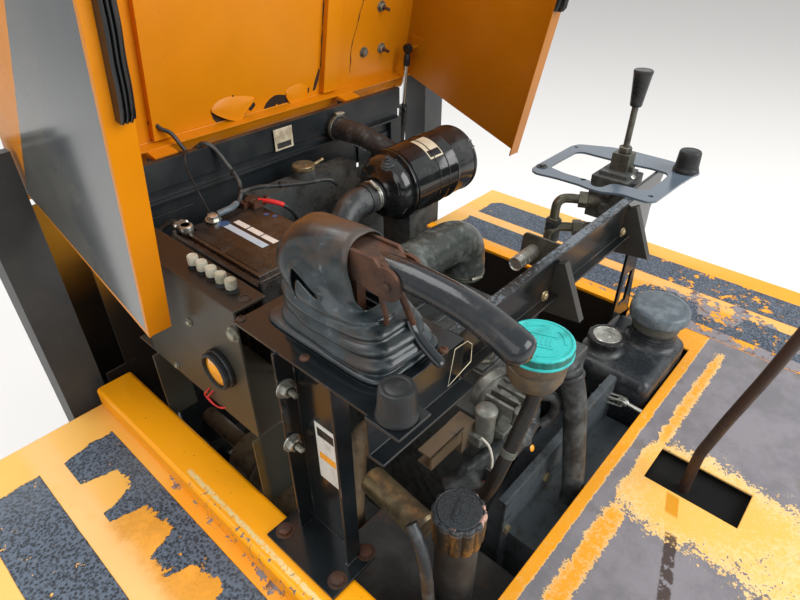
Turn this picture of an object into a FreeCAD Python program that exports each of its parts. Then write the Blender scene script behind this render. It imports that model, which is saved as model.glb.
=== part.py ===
import FreeCAD, Part
import math
import os
import Sketcher
from FreeCAD import Placement, Rotation, Vector

# Engine bay of a small site dumper: the rear body section on its chassis rails, bonnet raised.
# Millimetres. X runs to the machine's left, Y to its rear, Z up. The floor is at Z = 0.
# The origin is the underside of the middle cross member, on the machine's centreline.

doc = FreeCAD.newDocument("EngineBay")
sheet = doc.addObject("Spreadsheet::Sheet", "Sizes")

# alias, value, what it is
SIZES = [
    ("unit", 1.0, "the length that plain offsets are counted in"),
    # what drives the layout
    ("deck_top", 520.0, "height of the deck plates above the floor"),
    ("deck_half", 856.0, "outer edge of each deck from the centreline"),
    ("wall_x", 500.0, "inner face of the bay's side walls from the centreline"),
    ("frame_front", 430.0, "front face of the rear frame"),
    # decks and chassis
    ("deck_plate", 5.0, "deck plate thickness"),
    ("deck_lip", 45.0, "depth of the deck's turned-down outer lip"),
    ("rail_centre", 330.0, "rail centre from the centreline"),
    ("rail_width", 80.0, "rail width"),
    ("rail_height", 140.0, "rail height"),
    ("rail_wall", 6.0, "rail wall"),
    ("member_depth", 80.0, "depth of a cross member along Y"),
    ("member_height", 80.0, "height of a cross member"),
    ("end_plate", 12.0, "thickness of the plate on each rail's front end"),
    ("end_plate_width", 170.0, "width of that plate"),
    ("end_plate_height", 130.0, "height of that plate"),
    ("end_bolt_across", 125.0, "bolt pitch across that plate"),
    ("end_bolt_up", 90.0, "bolt pitch up that plate"),
    ("end_bolt_hole", 8.5, "bolt hole radius on that plate"),
    ("wall_plate", 6.0, "side wall and bulkhead thickness"),
    ("gusset_depth", 190.0, "depth of a deck gusset at the side wall"),
    ("plate_lip", 30.0, "depth of the front plate's turned-down edge"),
    ("slot_length", 156.0, "length of the selector slot"),
    ("slot_width", 85.0, "width of the selector slot"),
    # roll bar posts and rear frame
    ("post_side", 75.0, "side of a roll bar post"),
    ("post_wall", 6.0, "wall of a roll bar post"),
    ("knuckle_height", 90.0, "height of the knuckle on a post"),
    ("knuckle_gap", 32.0, "gap between the knuckle's ears"),
    ("knuckle_bore", 12.5, "radius of the bore through the ears"),
    ("rib_height", 40.0, "height of a rib above the deck"),
    ("rib_round", 8.0, "radius on a rib's top edges"),
    ("rib_sheet", 4.0, "rib sheet thickness"),
    ("frame_post", 40.0, "width of the rear frame's posts"),
    ("frame_face", 52.0, "height of the top beam's upper face"),
    ("frame_lower", 78.0, "height of the top beam down to its lip"),
    ("grille_plate", 4.0, "grille thickness"),
    ("grille_slot", 26.0, "height of a grille slot"),
    ("grille_pitch", 52.0, "pitch of the grille slots"),
    # bonnet, measured from its hinge line with the bonnet shut
    ("open_angle", 78.7, "how far the bonnet is raised, in degrees"),
    ("bonnet_sheet", 3.0, "bonnet sheet thickness"),
    ("bonnet_top", 51.0, "top of the bonnet above the hinge line"),
    ("bonnet_back", -20.0, "rear edge of the bonnet's top"),
    ("bonnet_tail", 42.0, "rear bottom corner of a side panel"),
    ("bonnet_bottom", -357.0, "bottom edge of a side panel"),
    ("bonnet_front", -512.0, "front bottom corner of a side panel"),
    ("bonnet_nose", -804.0, "front end of the bonnet's top"),
    ("bonnet_flange", 36.0, "width of a side panel's inturned bottom flange"),
    ("bonnet_skirt", 32.0, "depth of the turned-down edges of the top"),
    ("arm_width", 44.0, "width of the arm outside each notch"),
    ("pad_width", 94.0, "width of the pad that comes down over a buffer"),
    ("pad_length", 50.0, "length of that pad"),
    ("rib_width", 44.0, "width of a stiffening rib under the bonnet"),
    ("rib_depth", 15.0, "depth of a stiffening rib under the bonnet"),
    ("seal_width", 22.0, "width of a bonnet seal"),
    ("seal_depth", 18.0, "depth of a bonnet seal"),
    ("seal_rear", -300.0, "rear end of a bonnet seal"),
    ("hinge_length", 50.0, "length of a bonnet hinge knuckle"),
    ("pin_radius", 6.0, "hinge pin radius"),
    ("pin_clearance", 0.06, "running clearance round a pin"),
    ("knuckle_radius", 11.0, "outer radius of a hinge knuckle"),
    ("lug_plate", 6.0, "thickness of a hinge lug"),
    ("side_gap", 1.0, "gap beside a hinge knuckle"),
    # gas strut
    ("strut_lean", 6.2, "forward lean of the strut, in degrees"),
    ("strut_length", 369.0, "distance between the strut's two eyes"),
    ("tube_radius", 11.0, "strut tube radius"),
    ("tube_length", 220.0, "top of the strut tube above its lower eye"),
    ("rod_radius", 5.0, "strut rod radius"),
    ("rod_inside", 90.0, "length of rod inside the tube"),
    ("eye_radius", 9.0, "outer radius of a strut eye"),
    ("eye_width", 12.0, "width of a strut eye"),
    ("stud_radius", 5.0, "radius of a strut's ball stud"),
    # console, brake and beam
    ("console_sheet", 4.0, "console sheet thickness"),
    ("console_skirt", 70.0, "depth of the console's front and far skirts"),
    ("opening_near", 42.0, "margin on the near side of the console's opening"),
    ("opening_margin", 30.0, "margin on the other sides of the console's opening"),
    ("gaiter_sheet", 4.0, "gaiter thickness"),
    ("base_plate", 6.0, "console base plate thickness"),
    ("beam_depth", 50.0, "width of the cross beam's top flange"),
    ("beam_web", 65.0, "height of the cross beam's web"),
    ("beam_ledge", 14.0, "reach of the cross beam's lower ledge"),
    ("beam_sheet", 4.0, "cross beam sheet thickness"),
    ("buffer_radius", 24.0, "radius of a rubber buffer at its foot"),
    ("buffer_tip", 19.0, "radius of a rubber buffer at its tip"),
    ("buffer_height", 42.0, "height of a rubber buffer"),
    ("brake_rise", 100.0, "height of the brake lever's head above the console"),
    ("brake_head", 42.0, "height of that head"),
    ("brake_sheet", 6.0, "sheet thickness of that head"),
    ("grip_bar", 15.0, "radius of the brake lever's bar in its head"),
    ("grip_radius", 18.0, "radius of the brake lever's grip"),
    ("grip_length", 150.0, "length of the grip ahead of the head"),
    ("grip_fall", 32.0, "how far the grip drops to its end"),
    ("selector_radius", 9.0, "radius of the selector lever"),
    ("selector_bend", 110.0, "height of the selector lever's bend above the deck"),
    ("selector_rise", 355.0, "height of the selector lever above its bend"),
    ("selector_lean", 72.0, "how far its end leans forward"),
    # battery and its box
    ("box_sheet", 4.0, "battery box sheet thickness"),
    ("box_flange", 53.0, "width of the battery box's top flange"),
    ("battery_width", 175.0, "battery width"),
    ("battery_length", 250.0, "battery length"),
    ("battery_height", 181.0, "battery height"),
    # engine, transmission, fan and radiator
    ("engine_half", 150.0, "half the width of the engine block"),
    ("engine_length", 530.0, "length of the engine block"),
    ("rocker_height", 45.0, "height of the rocker cover"),
    ("manifold_height", 22.0, "height of the intake manifold"),
    ("casting_wall", 25.0, "wall thickness of the engine and transmission castings"),
    ("mount_width", 60.0, "width of an engine mount"),
    ("mount_height", 45.0, "height of an engine mount"),
    ("bell_radius", 200.0, "bell housing radius"),
    ("bell_depth", 50.0, "bell housing depth"),
    ("gear_length", 370.0, "length of the transmission"),
    ("gear_height", 270.0, "height of the transmission"),
    ("fan_radius", 168.0, "fan radius"),
    ("fan_hub", 42.0, "fan hub radius"),
    ("fan_shaft", 12.0, "fan shaft radius"),
    ("fan_hub_length", 24.0, "length of the fan hub"),
    ("rad_depth", 50.0, "radiator depth"),
    ("rad_tank", 43.0, "height of the radiator's top tank"),
    ("rad_cap_radius", 25.0, "radiator cap radius"),
    # air cleaner and hoses
    ("cleaner_near", 30.0, "near end of the air cleaner"),
    ("cleaner_length", 251.0, "air cleaner length"),
    ("cleaner_radius", 75.0, "air cleaner radius"),
    ("hose_radius", 26.0, "intake hose radius"),
    ("outlet_radius", 30.0, "outlet hose radius"),
    ("elbow_radius", 40.0, "rubber elbow radius"),
    ("coolant_radius", 20.0, "coolant hose radius"),
    ("oil_pipe_radius", 13.0, "oil filler pipe radius"),
    # tanks and fillers
    ("tank_depth", 166.0, "depth of the plastic tank"),
    ("tank_round", 22.0, "radius on the plastic tank's edges"),
    ("tank_wall", 12.0, "wall of the plastic tank"),
    ("fuel_depth", 272.0, "depth of the fuel tank"),
    ("fuel_sheet", 3.0, "fuel tank sheet thickness"),
    ("filler_radius", 31.0, "fuel filler neck radius"),
    ("filler_cap", 38.0, "fuel cap radius"),
    ("cap_height", 27.0, "height of a filler cap"),
    # exhaust
    ("silencer_radius", 58.0, "silencer radius"),
    ("silencer_length", 312.0, "silencer length"),
    ("silencer_sheet", 3.0, "silencer sheet thickness"),
    ("pipe_radius", 20.0, "exhaust pipe radius"),
]

# alias, counted from, offset, what it is
PLACES = [
    # across the machine
    ("deck_inner", "wall_x", 12.0, "inner edge of each deck"),
    ("leg_inner", "wall_x", -64.0, "inner edge of the front plate's far leg"),
    ("post_inner", "wall_x", 7.0, "inner face of each roll bar post"),
    ("rib_inner", "wall_x", -44.0, "inner face of a rib"),
    ("rib_outer", "wall_x", 30.0, "outer face of a rib"),
    ("frame_half", "wall_x", -115.0, "half the width of the rear frame"),
    ("hinge_x", "frame_half", -135.0, "middle of each hinge from the centreline"),
    ("rad_half", "frame_half", -155.0, "half the width of the radiator"),
    ("rad_tank_half", "rad_half", -90.0, "half the width of the radiator's top tank"),
    ("bonnet_half", "wall_x", -1.0, "half the width of the bonnet"),
    ("strut_x", "wall_x", -44.0, "middle of the gas strut across the machine"),
    ("console_near", "-wall_x", 48.0, "near edge of the console plate"),
    ("console_far", "console_near", 171.0, "far edge of the console plate"),
    ("console_notch", "console_far", 19.0, "inner edge of the bonnet's notch over the console"),
    ("post_web", "console_near", 22.0, "near face of the console post's web"),
    ("post_near", "console_near", -5.0, "near edge of the post's rear flange"),
    ("gate_far", "wall_x", -70.0, "far edge of the gate plate"),
    ("gate_near", "gate_far", -185.0, "near edge of the gate plate"),
    ("gate_notch", "gate_near", -9.0, "inner edge of the bonnet's notch over the gate plate"),
    ("beam_end", "gate_near", 17.0, "far end of the cross beam"),
    ("buffer_x", "wall_x", -69.0, "buffers from the centreline"),
    ("box_near", "-wall_x", 55.0, "near face of the battery box"),
    ("battery_near", "box_near", 113.0, "near side of the battery"),
    ("tank_far", "wall_x", -78.0, "far side of the plastic tank"),
    ("fuel_near", "-wall_x", 6.0, "near side of the fuel tank"),
    ("filler_x", "-wall_x", 151.0, "fuel filler neck"),
    ("oil_x", "-engine_half", -55.0, "oil filler"),
    ("slot_near", "wall_x", -467.0, "selector slot's near edge"),
    ("bulkhead_inner", "bell_radius", 8.0, "inner edge of each bulkhead plate"),
    ("gear_half", "bell_radius", -15.0, "half the width of the transmission"),
    ("tank_near", "bell_radius", 4.0, "near side of the plastic tank"),
    ("fuel_far", "-bell_radius", -35.0, "far side of the fuel tank"),
    # along the machine
    ("rad_rear", "frame_front", -35.0, "rear face of the radiator"),
    ("fan_y", "rad_rear", -95.0, "middle of the fan"),
    ("engine_rear", "fan_y", -50.0, "rear face of the engine block"),
    ("engine_front", "engine_rear - engine_length", 0.0, "front face of the engine block"),
    ("bell_front", "engine_front - bell_depth", 0.0, "front face of the bell housing"),
    ("gear_front", "bell_front - gear_length", 0.0, "front face of the transmission"),
    ("bay_front", "bell_front", -78.0, "front edge of the open bay"),
    ("section_front", "bay_front", -352.0, "front end of the section"),
    ("leg_rear", "bay_front", 172.0, "rear end of the front plate's far leg"),
    ("slot_rear", "bay_front", -63.0, "selector slot's rear end"),
    ("deck_rear", "frame_front", -8.0, "rear end of the decks"),
    ("frame_rear", "frame_front", 15.0, "rear face of the rear frame"),
    ("post_front", "frame_rear", 0.0, "front face of the roll bar posts"),
    ("rail_rear", "post_front", 75.0, "rear end of the rails"),
    ("hinge_y", "frame_rear", 29.0, "bonnet hinge line"),
    ("strut_foot_y", "frame_rear", 60.0, "strut's lower pivot"),
    ("console_front", "bay_front", 128.0, "front edge of the console plate"),
    ("console_rear", "console_front", 242.0, "rear edge of the console plate"),
    ("post_front_y", "console_front", 57.0, "front face of the console post"),
    ("post_rear_y", "console_front", 159.0, "rear face of the console post"),
    ("beam_front", "console_front", -22.0, "front face of the cross beam"),
    ("gate_front", "beam_front", 2.0, "front edge of the gate plate"),
    ("gate_rear", "gate_front", 241.0, "rear edge of the gate plate"),
    ("buffer_y", "beam_front", -2.0, "buffers"),
    ("box_front", "console_rear", 9.0, "front end of the battery box"),
    ("box_rear", "box_front", 313.0, "rear end of the battery box"),
    ("battery_front", "box_front", 113.0, "front end of the battery"),
    ("cleaner_y", "rad_rear", -220.0, "air cleaner's axis"),
    ("elbow_y", "engine_rear", -208.0, "rubber elbow"),
    ("tank_front", "bay_front", 10.0, "front of the plastic tank"),
    ("fuel_front", "bay_front", 6.0, "front of the fuel tank"),
    ("filler_y", "bay_front", 69.0, "fuel filler neck"),
    ("oil_y", "bay_front", 56.0, "oil filler"),
    ("silencer_front", "bay_front", 358.0, "front end of the silencer"),
    ("tail_end", "frame_rear", 140.0, "end of the tail pipe"),
    # heights
    ("post_top", "deck_top", 430.0, "top of a roll bar post's tube"),
    ("frame_top", "deck_top", 440.0, "top of the rear frame"),
    ("hinge_z", "frame_top", -20.0, "bonnet hinge line"),
    ("strut_foot_z", "deck_top", 150.0, "strut's lower pivot"),
    ("grille_bottom", "deck_top", -150.0, "bottom of the rear grille"),
    ("rad_top", "frame_top", -102.0, "top of the radiator's top tank"),
    ("rad_bottom", "deck_top", -290.0, "bottom of the radiator"),
    ("console_top", "deck_top", 400.0, "top of the console plate"),
    ("box_top", "deck_top", 405.0, "top of the battery box"),
    ("box_bottom", "box_top", -240.0, "bottom of the battery box"),
    ("engine_top", "deck_top", 120.0, "top of the engine block"),
    ("engine_bottom", "member_height", 70.0, "bottom of the engine's sump"),
    ("bell_z", "deck_top", -190.0, "crankshaft"),
    ("gear_top", "deck_top", -60.0, "top of the transmission"),
    ("fan_z", "deck_top", 25.0, "fan shaft"),
    ("cleaner_z", "deck_top", 350.0, "air cleaner's axis"),
    ("elbow_z", "deck_top", 215.0, "rubber elbow"),
    ("tank_top", "deck_top", 40.0, "top of the plastic tank"),
    ("fuel_top", "deck_top", -80.0, "top of the fuel tank"),
    ("filler_top", "deck_top", 155.0, "top of the fuel filler neck"),
    ("oil_top", "deck_top", 375.0, "top of the oil filler neck"),
    ("silencer_z", "deck_top", -205.0, "silencer axis"),
]


class Dim:
    """A length that carries both its number and the sheet expression it comes from."""

    def __init__(self, text, number):
        self.text = text
        self.number = float(number)

    def __float__(self):
        return self.number

    def __add__(self, other):
        other = dim(other)
        return Dim("(%s + %s)" % (self.text, other.text), self.number + other.number)

    def __radd__(self, other):
        return dim(other) + self

    def __sub__(self, other):
        other = dim(other)
        return Dim("(%s - %s)" % (self.text, other.text), self.number - other.number)

    def __rsub__(self, other):
        return dim(other) - self

    def __mul__(self, factor):
        return Dim("(%s * %r)" % (self.text, float(factor)), self.number * factor)

    def __rmul__(self, factor):
        return self * factor

    def __truediv__(self, factor):
        return Dim("(%s / %r)" % (self.text, float(factor)), self.number / factor)

    def __neg__(self):
        return self * -1.0


def dim(value):
    """Any length as a Dim: a plain number counts the sheet's unit."""
    if isinstance(value, Dim):
        return value
    return Dim("(Sizes.unit * %r)" % float(value), S.unit.number * value)


class Sizes:
    """Each size and place of the sheet as an attribute."""


S = Sizes()


def counted(base):
    """The number of a place's starting point: named sizes with a minus before some."""
    total = 0.0
    sign = 1
    for word in base.replace("-", " - ").split():
        if word == "-":
            sign = -1
        else:
            total += sign * getattr(S, word).number
            sign = 1
    return total


for row, (alias, number, note) in enumerate(SIZES, start=1):
    sheet.set("A%d" % row, note)
    sheet.set("B%d" % row, str(number))
    sheet.setAlias("B%d" % row, alias)
    setattr(S, alias, Dim("Sizes." + alias, number))
for row, (alias, base, offset, note) in enumerate(PLACES, start=len(SIZES) + 1):
    sheet.set("A%d" % row, note)
    sheet.set("C%d" % row, str(offset))
    sheet.set("B%d" % row, "=%s + C%d" % (base, row))
    sheet.setAlias("B%d" % row, alias)
    setattr(S, alias, Dim("Sizes." + alias, counted(base) + offset))
doc.recompute()

nodes = []
count = [0]


def fresh(kind):
    count[0] += 1
    return "%s%03d" % (kind, count[0])


def bind_place(thing, x, y, z):
    for axis, value in (("x", x), ("y", y), ("z", z)):
        thing.setExpression("Placement.Base." + axis, dim(value).text)


def box(x, y, z):
    """A box from three (low, high) pairs."""
    thing = doc.addObject("Part::Box", fresh("Box"))
    for name, (low, high) in (("Length", x), ("Width", y), ("Height", z)):
        thing.setExpression(name, (dim(high) - dim(low)).text)
    bind_place(thing, x[0], y[0], z[0])
    return thing


TURNS = {"x": (Vector(0, 1, 0), 90), "y": (Vector(1, 0, 0), -90), "z": (Vector(0, 0, 1), 0)}


def rod(axis, start, radius, length):
    """A cylinder along a row axis from its start point."""
    thing = doc.addObject("Part::Cylinder", fresh("Rod"))
    thing.setExpression("Radius", dim(radius).text)
    thing.setExpression("Height", dim(length).text)
    thing.Placement = Placement(Vector(0, 0, 0), Rotation(*TURNS[axis]))
    bind_place(thing, *start)
    return thing


def taper(axis, start, low_radius, high_radius, length):
    """A cone along a row axis from its start point."""
    thing = doc.addObject("Part::Cone", fresh("Taper"))
    thing.setExpression("Radius1", dim(low_radius).text)
    thing.setExpression("Radius2", dim(high_radius).text)
    thing.setExpression("Height", dim(length).text)
    thing.Placement = Placement(Vector(0, 0, 0), Rotation(*TURNS[axis]))
    bind_place(thing, *start)
    return thing


def fuse(*things):
    joined = doc.addObject("Part::MultiFuse", fresh("Fuse"))
    joined.Shapes = list(things)
    joined.Refine = True
    return joined


def cut(base, *tools):
    tool = tools[0] if len(tools) == 1 else fuse(*tools)
    result = doc.addObject("Part::Cut", fresh("Cut"))
    result.Base = base
    result.Tool = tool
    result.Refine = True
    return result


PLANES = {"xy": "XY_Plane", "xz": "XZ_Plane", "yz": "YZ_Plane"}


def sheet_body(plane, points, start, thickness, holes=()):
    """A padded sketch: an outline of straight lines, with outline holes, on an origin plane.

    The pad runs from start along +X for a YZ outline, +Z for XY and -Y for XZ.
    """
    body = doc.addObject("PartDesign::Body", fresh("Body"))
    sketch = body.newObject("Sketcher::SketchObject", fresh("Sketch"))
    for feature in body.Origin.OriginFeatures:
        if feature.Role == PLANES[plane]:
            sketch.AttachmentSupport = [(feature, "")]
    sketch.MapMode = "FlatFace"
    for outline in [points] + list(holes):
        first = sketch.GeometryCount
        corners = [(dim(a), dim(b)) for a, b in outline]
        for (a, b), (c, d) in zip(corners, corners[1:] + corners[:1]):
            start_point = Vector(float(a), float(b), 0)
            end_point = Vector(float(c), float(d), 0)
            sketch.addGeometry(Part.LineSegment(start_point, end_point), False)
        for step in range(len(corners)):
            line = first + step
            following = first + (step + 1) % len(corners)
            sketch.addConstraint(Sketcher.Constraint("Coincident", line, 2, following, 1))
        for step, (a, b) in enumerate(corners):
            for kind, value in (("DistanceX", a), ("DistanceY", b)):
                index = sketch.addConstraint(
                    Sketcher.Constraint(kind, -1, 1, first + step, 1, float(value)))
                sketch.setExpression("Constraints[%d]" % index, value.text)
    pad = body.newObject("PartDesign::Pad", fresh("Pad"))
    pad.Profile = sketch
    pad.setExpression("Length", dim(thickness).text)
    axis = {"yz": "x", "xz": "y", "xy": "z"}[plane]
    body.setExpression("Placement.Base." + axis, dim(start).text)
    return body


def shape_object(shape):
    thing = doc.addObject("Part::Feature", fresh("Shape"))
    thing.Shape = shape
    return thing


def tube(points, radius, tightest=None):
    """A round bar along straight runs joined by tangent arcs."""
    corners = [Vector(*[float(dim(v)) for v in point]) for point in points]
    edges = []
    here = corners[0]
    for before, corner, after in zip(corners, corners[1:], corners[2:]):
        back = (before - corner).normalize()
        onward = (after - corner).normalize()
        turn = math.pi - back.getAngle(onward)
        reach = 0.45 * min((before - corner).Length, (after - corner).Length)
        if tightest:
            reach = min(reach, float(dim(tightest)) * math.tan(turn / 2))
        bend = reach / math.tan(turn / 2)
        start = corner + back * reach
        end = corner + onward * reach
        towards = (back + onward).normalize()
        centre = corner + towards * (bend / math.cos(turn / 2))
        middle = centre - towards * bend
        edges.append(Part.LineSegment(here, start).toShape())
        edges.append(Part.Arc(start, middle, end).toShape())
        here = end
    edges.append(Part.LineSegment(here, corners[-1]).toShape())
    path = Part.Wire(edges)
    circle = Part.Wire([Part.Circle(corners[0], corners[1] - corners[0], float(dim(radius))).toShape()])
    solid = path.makePipeShell([circle], True, True)
    return shape_object(solid)


def node(name, thing):
    thing.Label = name
    nodes.append((name, thing))
    return thing


def several(name, things):
    """Like pieces that stay apart, kept in one node."""
    group = doc.addObject("Part::Compound", fresh("Group"))
    group.Links = list(things)
    return node(name, group)


SIDES = (("right", -1), ("left", 1))


def mirrored(side, low, high):
    """A (low, high) pair for the machine's right or left side."""
    if side > 0:
        return (dim(low), dim(high))
    return (-dim(high), -dim(low))


# Chassis: two box rails with a bolted plate on each front end, and three box cross members.
def chassis_rail(side):
    inner = S.rail_centre - S.rail_width / 2
    outer = S.rail_centre + S.rail_width / 2
    solid = box(mirrored(side, inner, outer), (S.section_front, S.rail_rear), (0, S.rail_height))
    bore = box(mirrored(side, inner + S.rail_wall, outer - S.rail_wall),
               (S.section_front, S.rail_rear + 1),
               (S.rail_wall, S.rail_height - S.rail_wall))
    return cut(solid, bore)


def rail_end_plate(side):
    middle_z = S.rail_height / 2
    middle_x = S.rail_centre * side
    half_x = S.end_plate_width / 2
    half_z = S.end_plate_height / 2
    plate = box((middle_x - half_x, middle_x + half_x),
                (S.section_front - S.end_plate, S.section_front),
                (middle_z - half_z, middle_z + half_z))
    holes = []
    for dx in (-1, 1):
        for dz in (-1, 1):
            start = (middle_x + S.end_bolt_across / 2 * dx, S.section_front - S.end_plate - 1,
                     middle_z + S.end_bolt_up / 2 * dz)
            holes.append(rod("y", start, S.end_bolt_hole, S.end_plate + 2))
    return cut(plate, *holes)


several("chassis_rails", [fuse(chassis_rail(side), rail_end_plate(side)) for _, side in SIDES])

between_rails = S.rail_centre - S.rail_width / 2
members = []
for member_y in (S.section_front + 60, dim(0), S.rail_rear - 60):
    low_y = member_y - S.member_depth / 2
    high_y = member_y + S.member_depth / 2
    member = box((-between_rails, between_rails), (low_y, high_y), (0, S.member_height))
    bore = box((-between_rails - 1, between_rails + 1),
               (low_y + S.rail_wall, high_y - S.rail_wall),
               (S.rail_wall, S.member_height - S.rail_wall))
    members.append(cut(member, bore))
several("cross_members", members)

# Bay walls: a side wall each side and a bulkhead plate each side of the transmission.
wall_top = S.deck_top - S.deck_plate
several("side_walls", [box(mirrored(side, S.wall_x, S.wall_x + S.wall_plate),
                           (S.section_front, S.post_front), (S.rail_height, wall_top))
                       for _, side in SIDES])
several("bulkhead_plates", [box(mirrored(side, S.bulkhead_inner, S.wall_x),
                                (S.bay_front - S.wall_plate, S.bay_front),
                                (S.rail_height, wall_top)) for _, side in SIDES])

# Decks: flat plates over the wheels with a turned-down lip, and gussets to the side walls.
for side_name, side in SIDES:
    deck = box(mirrored(side, S.deck_inner, S.deck_half), (S.section_front, S.deck_rear),
               (wall_top, S.deck_top))
    lip = box(mirrored(side, S.deck_half - S.deck_plate, S.deck_half),
              (S.section_front, S.deck_rear), (S.deck_top - S.deck_lip, S.deck_top))
    node("deck_" + side_name, fuse(deck, lip))


def gusset(side, y):
    inner_x = (S.wall_x + S.wall_plate) * side
    outer_x = (S.deck_half - S.deck_plate) * side
    corners = [(inner_x, wall_top), (outer_x, wall_top), (outer_x, wall_top - 35),
               (inner_x, wall_top - S.gusset_depth)]
    return sheet_body("xz", corners, y, S.wall_plate)


gusset_places = (S.bay_front, S.deck_rear - 12)
several("deck_gussets", [gusset(side, y) for _, side in SIDES for y in gusset_places])

# Front plate: the floor ahead of the bay, with the selector slot, an edge lip and a far leg.
floor_plate = box((-S.deck_inner, S.deck_inner), (S.section_front, S.bay_front),
                  (wall_top, S.deck_top))
floor_leg = box((S.leg_inner, S.deck_inner), (S.bay_front - 1, S.leg_rear),
                (wall_top, S.deck_top))
floor_lip = box((-S.rib_inner, S.leg_inner), (S.bay_front, S.bay_front + S.deck_plate),
                (S.deck_top - S.plate_lip, S.deck_top))
floor_slot = box((S.slot_near, S.slot_near + S.slot_width),
                 (S.slot_rear - S.slot_length, S.slot_rear),
                 (wall_top - 1, S.deck_top + 1))
node("front_plate", cut(fuse(floor_plate, floor_leg, floor_lip), floor_slot))


# Ribs: folded upstands along the bay that the bonnet comes down beside.
def bay_rib(side, front):
    body = doc.addObject("Part::Box", fresh("Box"))
    x = mirrored(side, S.rib_inner, S.rib_outer)
    body.setExpression("Length", (x[1] - x[0]).text)
    body.setExpression("Width", (S.deck_rear - front).text)
    body.setExpression("Height", S.rib_height.text)
    bind_place(body, x[0], front, S.deck_top)
    rounded = doc.addObject("Part::Fillet", fresh("Round"))
    rounded.Base = body
    doc.recompute()
    edges = []
    for index, edge in enumerate(body.Shape.Edges, start=1):
        along_y = abs(edge.Vertexes[0].Y - edge.Vertexes[1].Y) > 1
        on_top = edge.CenterOfMass.z > float(S.deck_top + S.rib_height) - 0.1
        if along_y and on_top:
            edges.append((index, float(S.rib_round), float(S.rib_round)))
    rounded.Edges = edges
    hollow = box(mirrored(side, S.rib_inner + S.rib_sheet, S.rib_outer - S.rib_sheet),
                 (front + S.rib_sheet, S.deck_rear + 1),
                 (S.deck_top + S.rib_sheet, S.deck_top + S.rib_height - S.rib_sheet - 2))
    foot = box(mirrored(side, S.rib_inner, S.deck_inner), (front, S.deck_rear),
               (wall_top, S.deck_top))
    return fuse(cut(rounded, hollow), foot)


several("bay_ribs", [bay_rib(-1, S.bay_front), bay_rib(1, S.leg_rear)])

# Rear crossbeam on the rails, with the two lower roll bar posts and their knuckles.
crossbeam_top = S.rail_height + S.member_height
crossbeam_x = S.post_inner + S.post_side
post_rear = S.post_front + S.post_side
crossbeam = box((-crossbeam_x, crossbeam_x), (S.post_front, post_rear),
                (S.rail_height, crossbeam_top))
crossbeam_bore = box((-crossbeam_x - 1, crossbeam_x + 1),
                     (S.post_front + S.post_wall, post_rear - S.post_wall),
                     (S.rail_height + S.post_wall, crossbeam_top - S.post_wall))
node("rear_crossbeam", cut(crossbeam, crossbeam_bore))


def roll_post(side):
    outer = box(mirrored(side, S.post_inner, crossbeam_x), (S.post_front, post_rear),
                (crossbeam_top, S.post_top + S.knuckle_height))
    inner = box(mirrored(side, S.post_inner + S.post_wall, crossbeam_x - S.post_wall),
                (S.post_front + S.post_wall, post_rear - S.post_wall),
                (crossbeam_top - 1, S.post_top - S.post_wall))
    middle_y = S.post_front + S.post_side / 2
    gap = box(mirrored(side, S.post_inner - 1, crossbeam_x + 1),
              (middle_y - S.knuckle_gap / 2, middle_y + S.knuckle_gap / 2),
              (S.post_top + 22, S.post_top + S.knuckle_height + 1))
    middle_x = (S.post_inner + S.post_side / 2) * side
    bore = rod("y", (middle_x, S.post_front - 1, S.post_top + 56), S.knuckle_bore, S.post_side + 2)
    return cut(outer, inner, gap, bore)


several("roll_posts", [roll_post(side) for _, side in SIDES])

# Rear frame: two posts on the rails, a folded top beam over the radiator and a grille.
lip_bottom = S.frame_top - S.frame_lower
face_bottom = S.frame_top - S.frame_face
frame_post_front = S.frame_front - 5
grille_half = S.frame_half - S.frame_post
frame_posts = [box(mirrored(side, grille_half, S.frame_half), (frame_post_front, S.frame_rear),
                   (S.rail_height, lip_bottom)) for _, side in SIDES]

# The gas strut's foot bracket stands on the far post.
eye_low = S.strut_x - S.eye_width / 2
foot_ear_x = eye_low - 1
foot_low = S.strut_foot_z - 25
foot_high = S.strut_foot_z + 25
foot_arm = box((S.frame_half, foot_ear_x), (frame_post_front, S.frame_rear), (foot_low, foot_high))
foot_ear = box((foot_ear_x - S.lug_plate, foot_ear_x), (frame_post_front, S.strut_foot_y + 16),
               (foot_low, foot_high))
foot_pin = rod("x", (foot_ear_x - S.lug_plate, S.strut_foot_y, S.strut_foot_z), S.stud_radius,
               S.lug_plate + 1 + S.eye_width + 2)
several("frame_posts", [frame_posts[0], fuse(frame_posts[1], foot_arm, foot_ear, foot_pin)])

beam_face = box((-S.frame_half, S.frame_half), (S.frame_front, S.frame_rear),
                (face_bottom, S.frame_top))
beam_step = box((-S.frame_half, S.frame_half), (S.frame_front + 8, S.frame_rear),
                (lip_bottom, face_bottom))
beam_lip = box((-S.frame_half, S.frame_half), (S.frame_front - 5, S.frame_rear),
               (lip_bottom, lip_bottom + 5))
lug_offset = S.hinge_length / 2 + S.side_gap
hinge_parts = []
for _, side in SIDES:
    for end in (-1, 1):
        near = S.hinge_x * side + lug_offset * end
        far = S.hinge_x * side + (lug_offset + S.lug_plate) * end
        low, high = (near, far) if end > 0 else (far, near)
        hinge_parts.append(box((low, high), (S.frame_rear, S.hinge_y + 12),
                               (S.hinge_z - 18, S.hinge_z + 11)))
    pin_length = S.hinge_length + 2 * S.side_gap + 2 * S.lug_plate + 6
    hinge_parts.append(rod("x", (S.hinge_x * side - pin_length / 2, S.hinge_y, S.hinge_z),
                           S.pin_radius, pin_length))
node("frame_beam", fuse(beam_face, beam_step, beam_lip, *hinge_parts))

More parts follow.
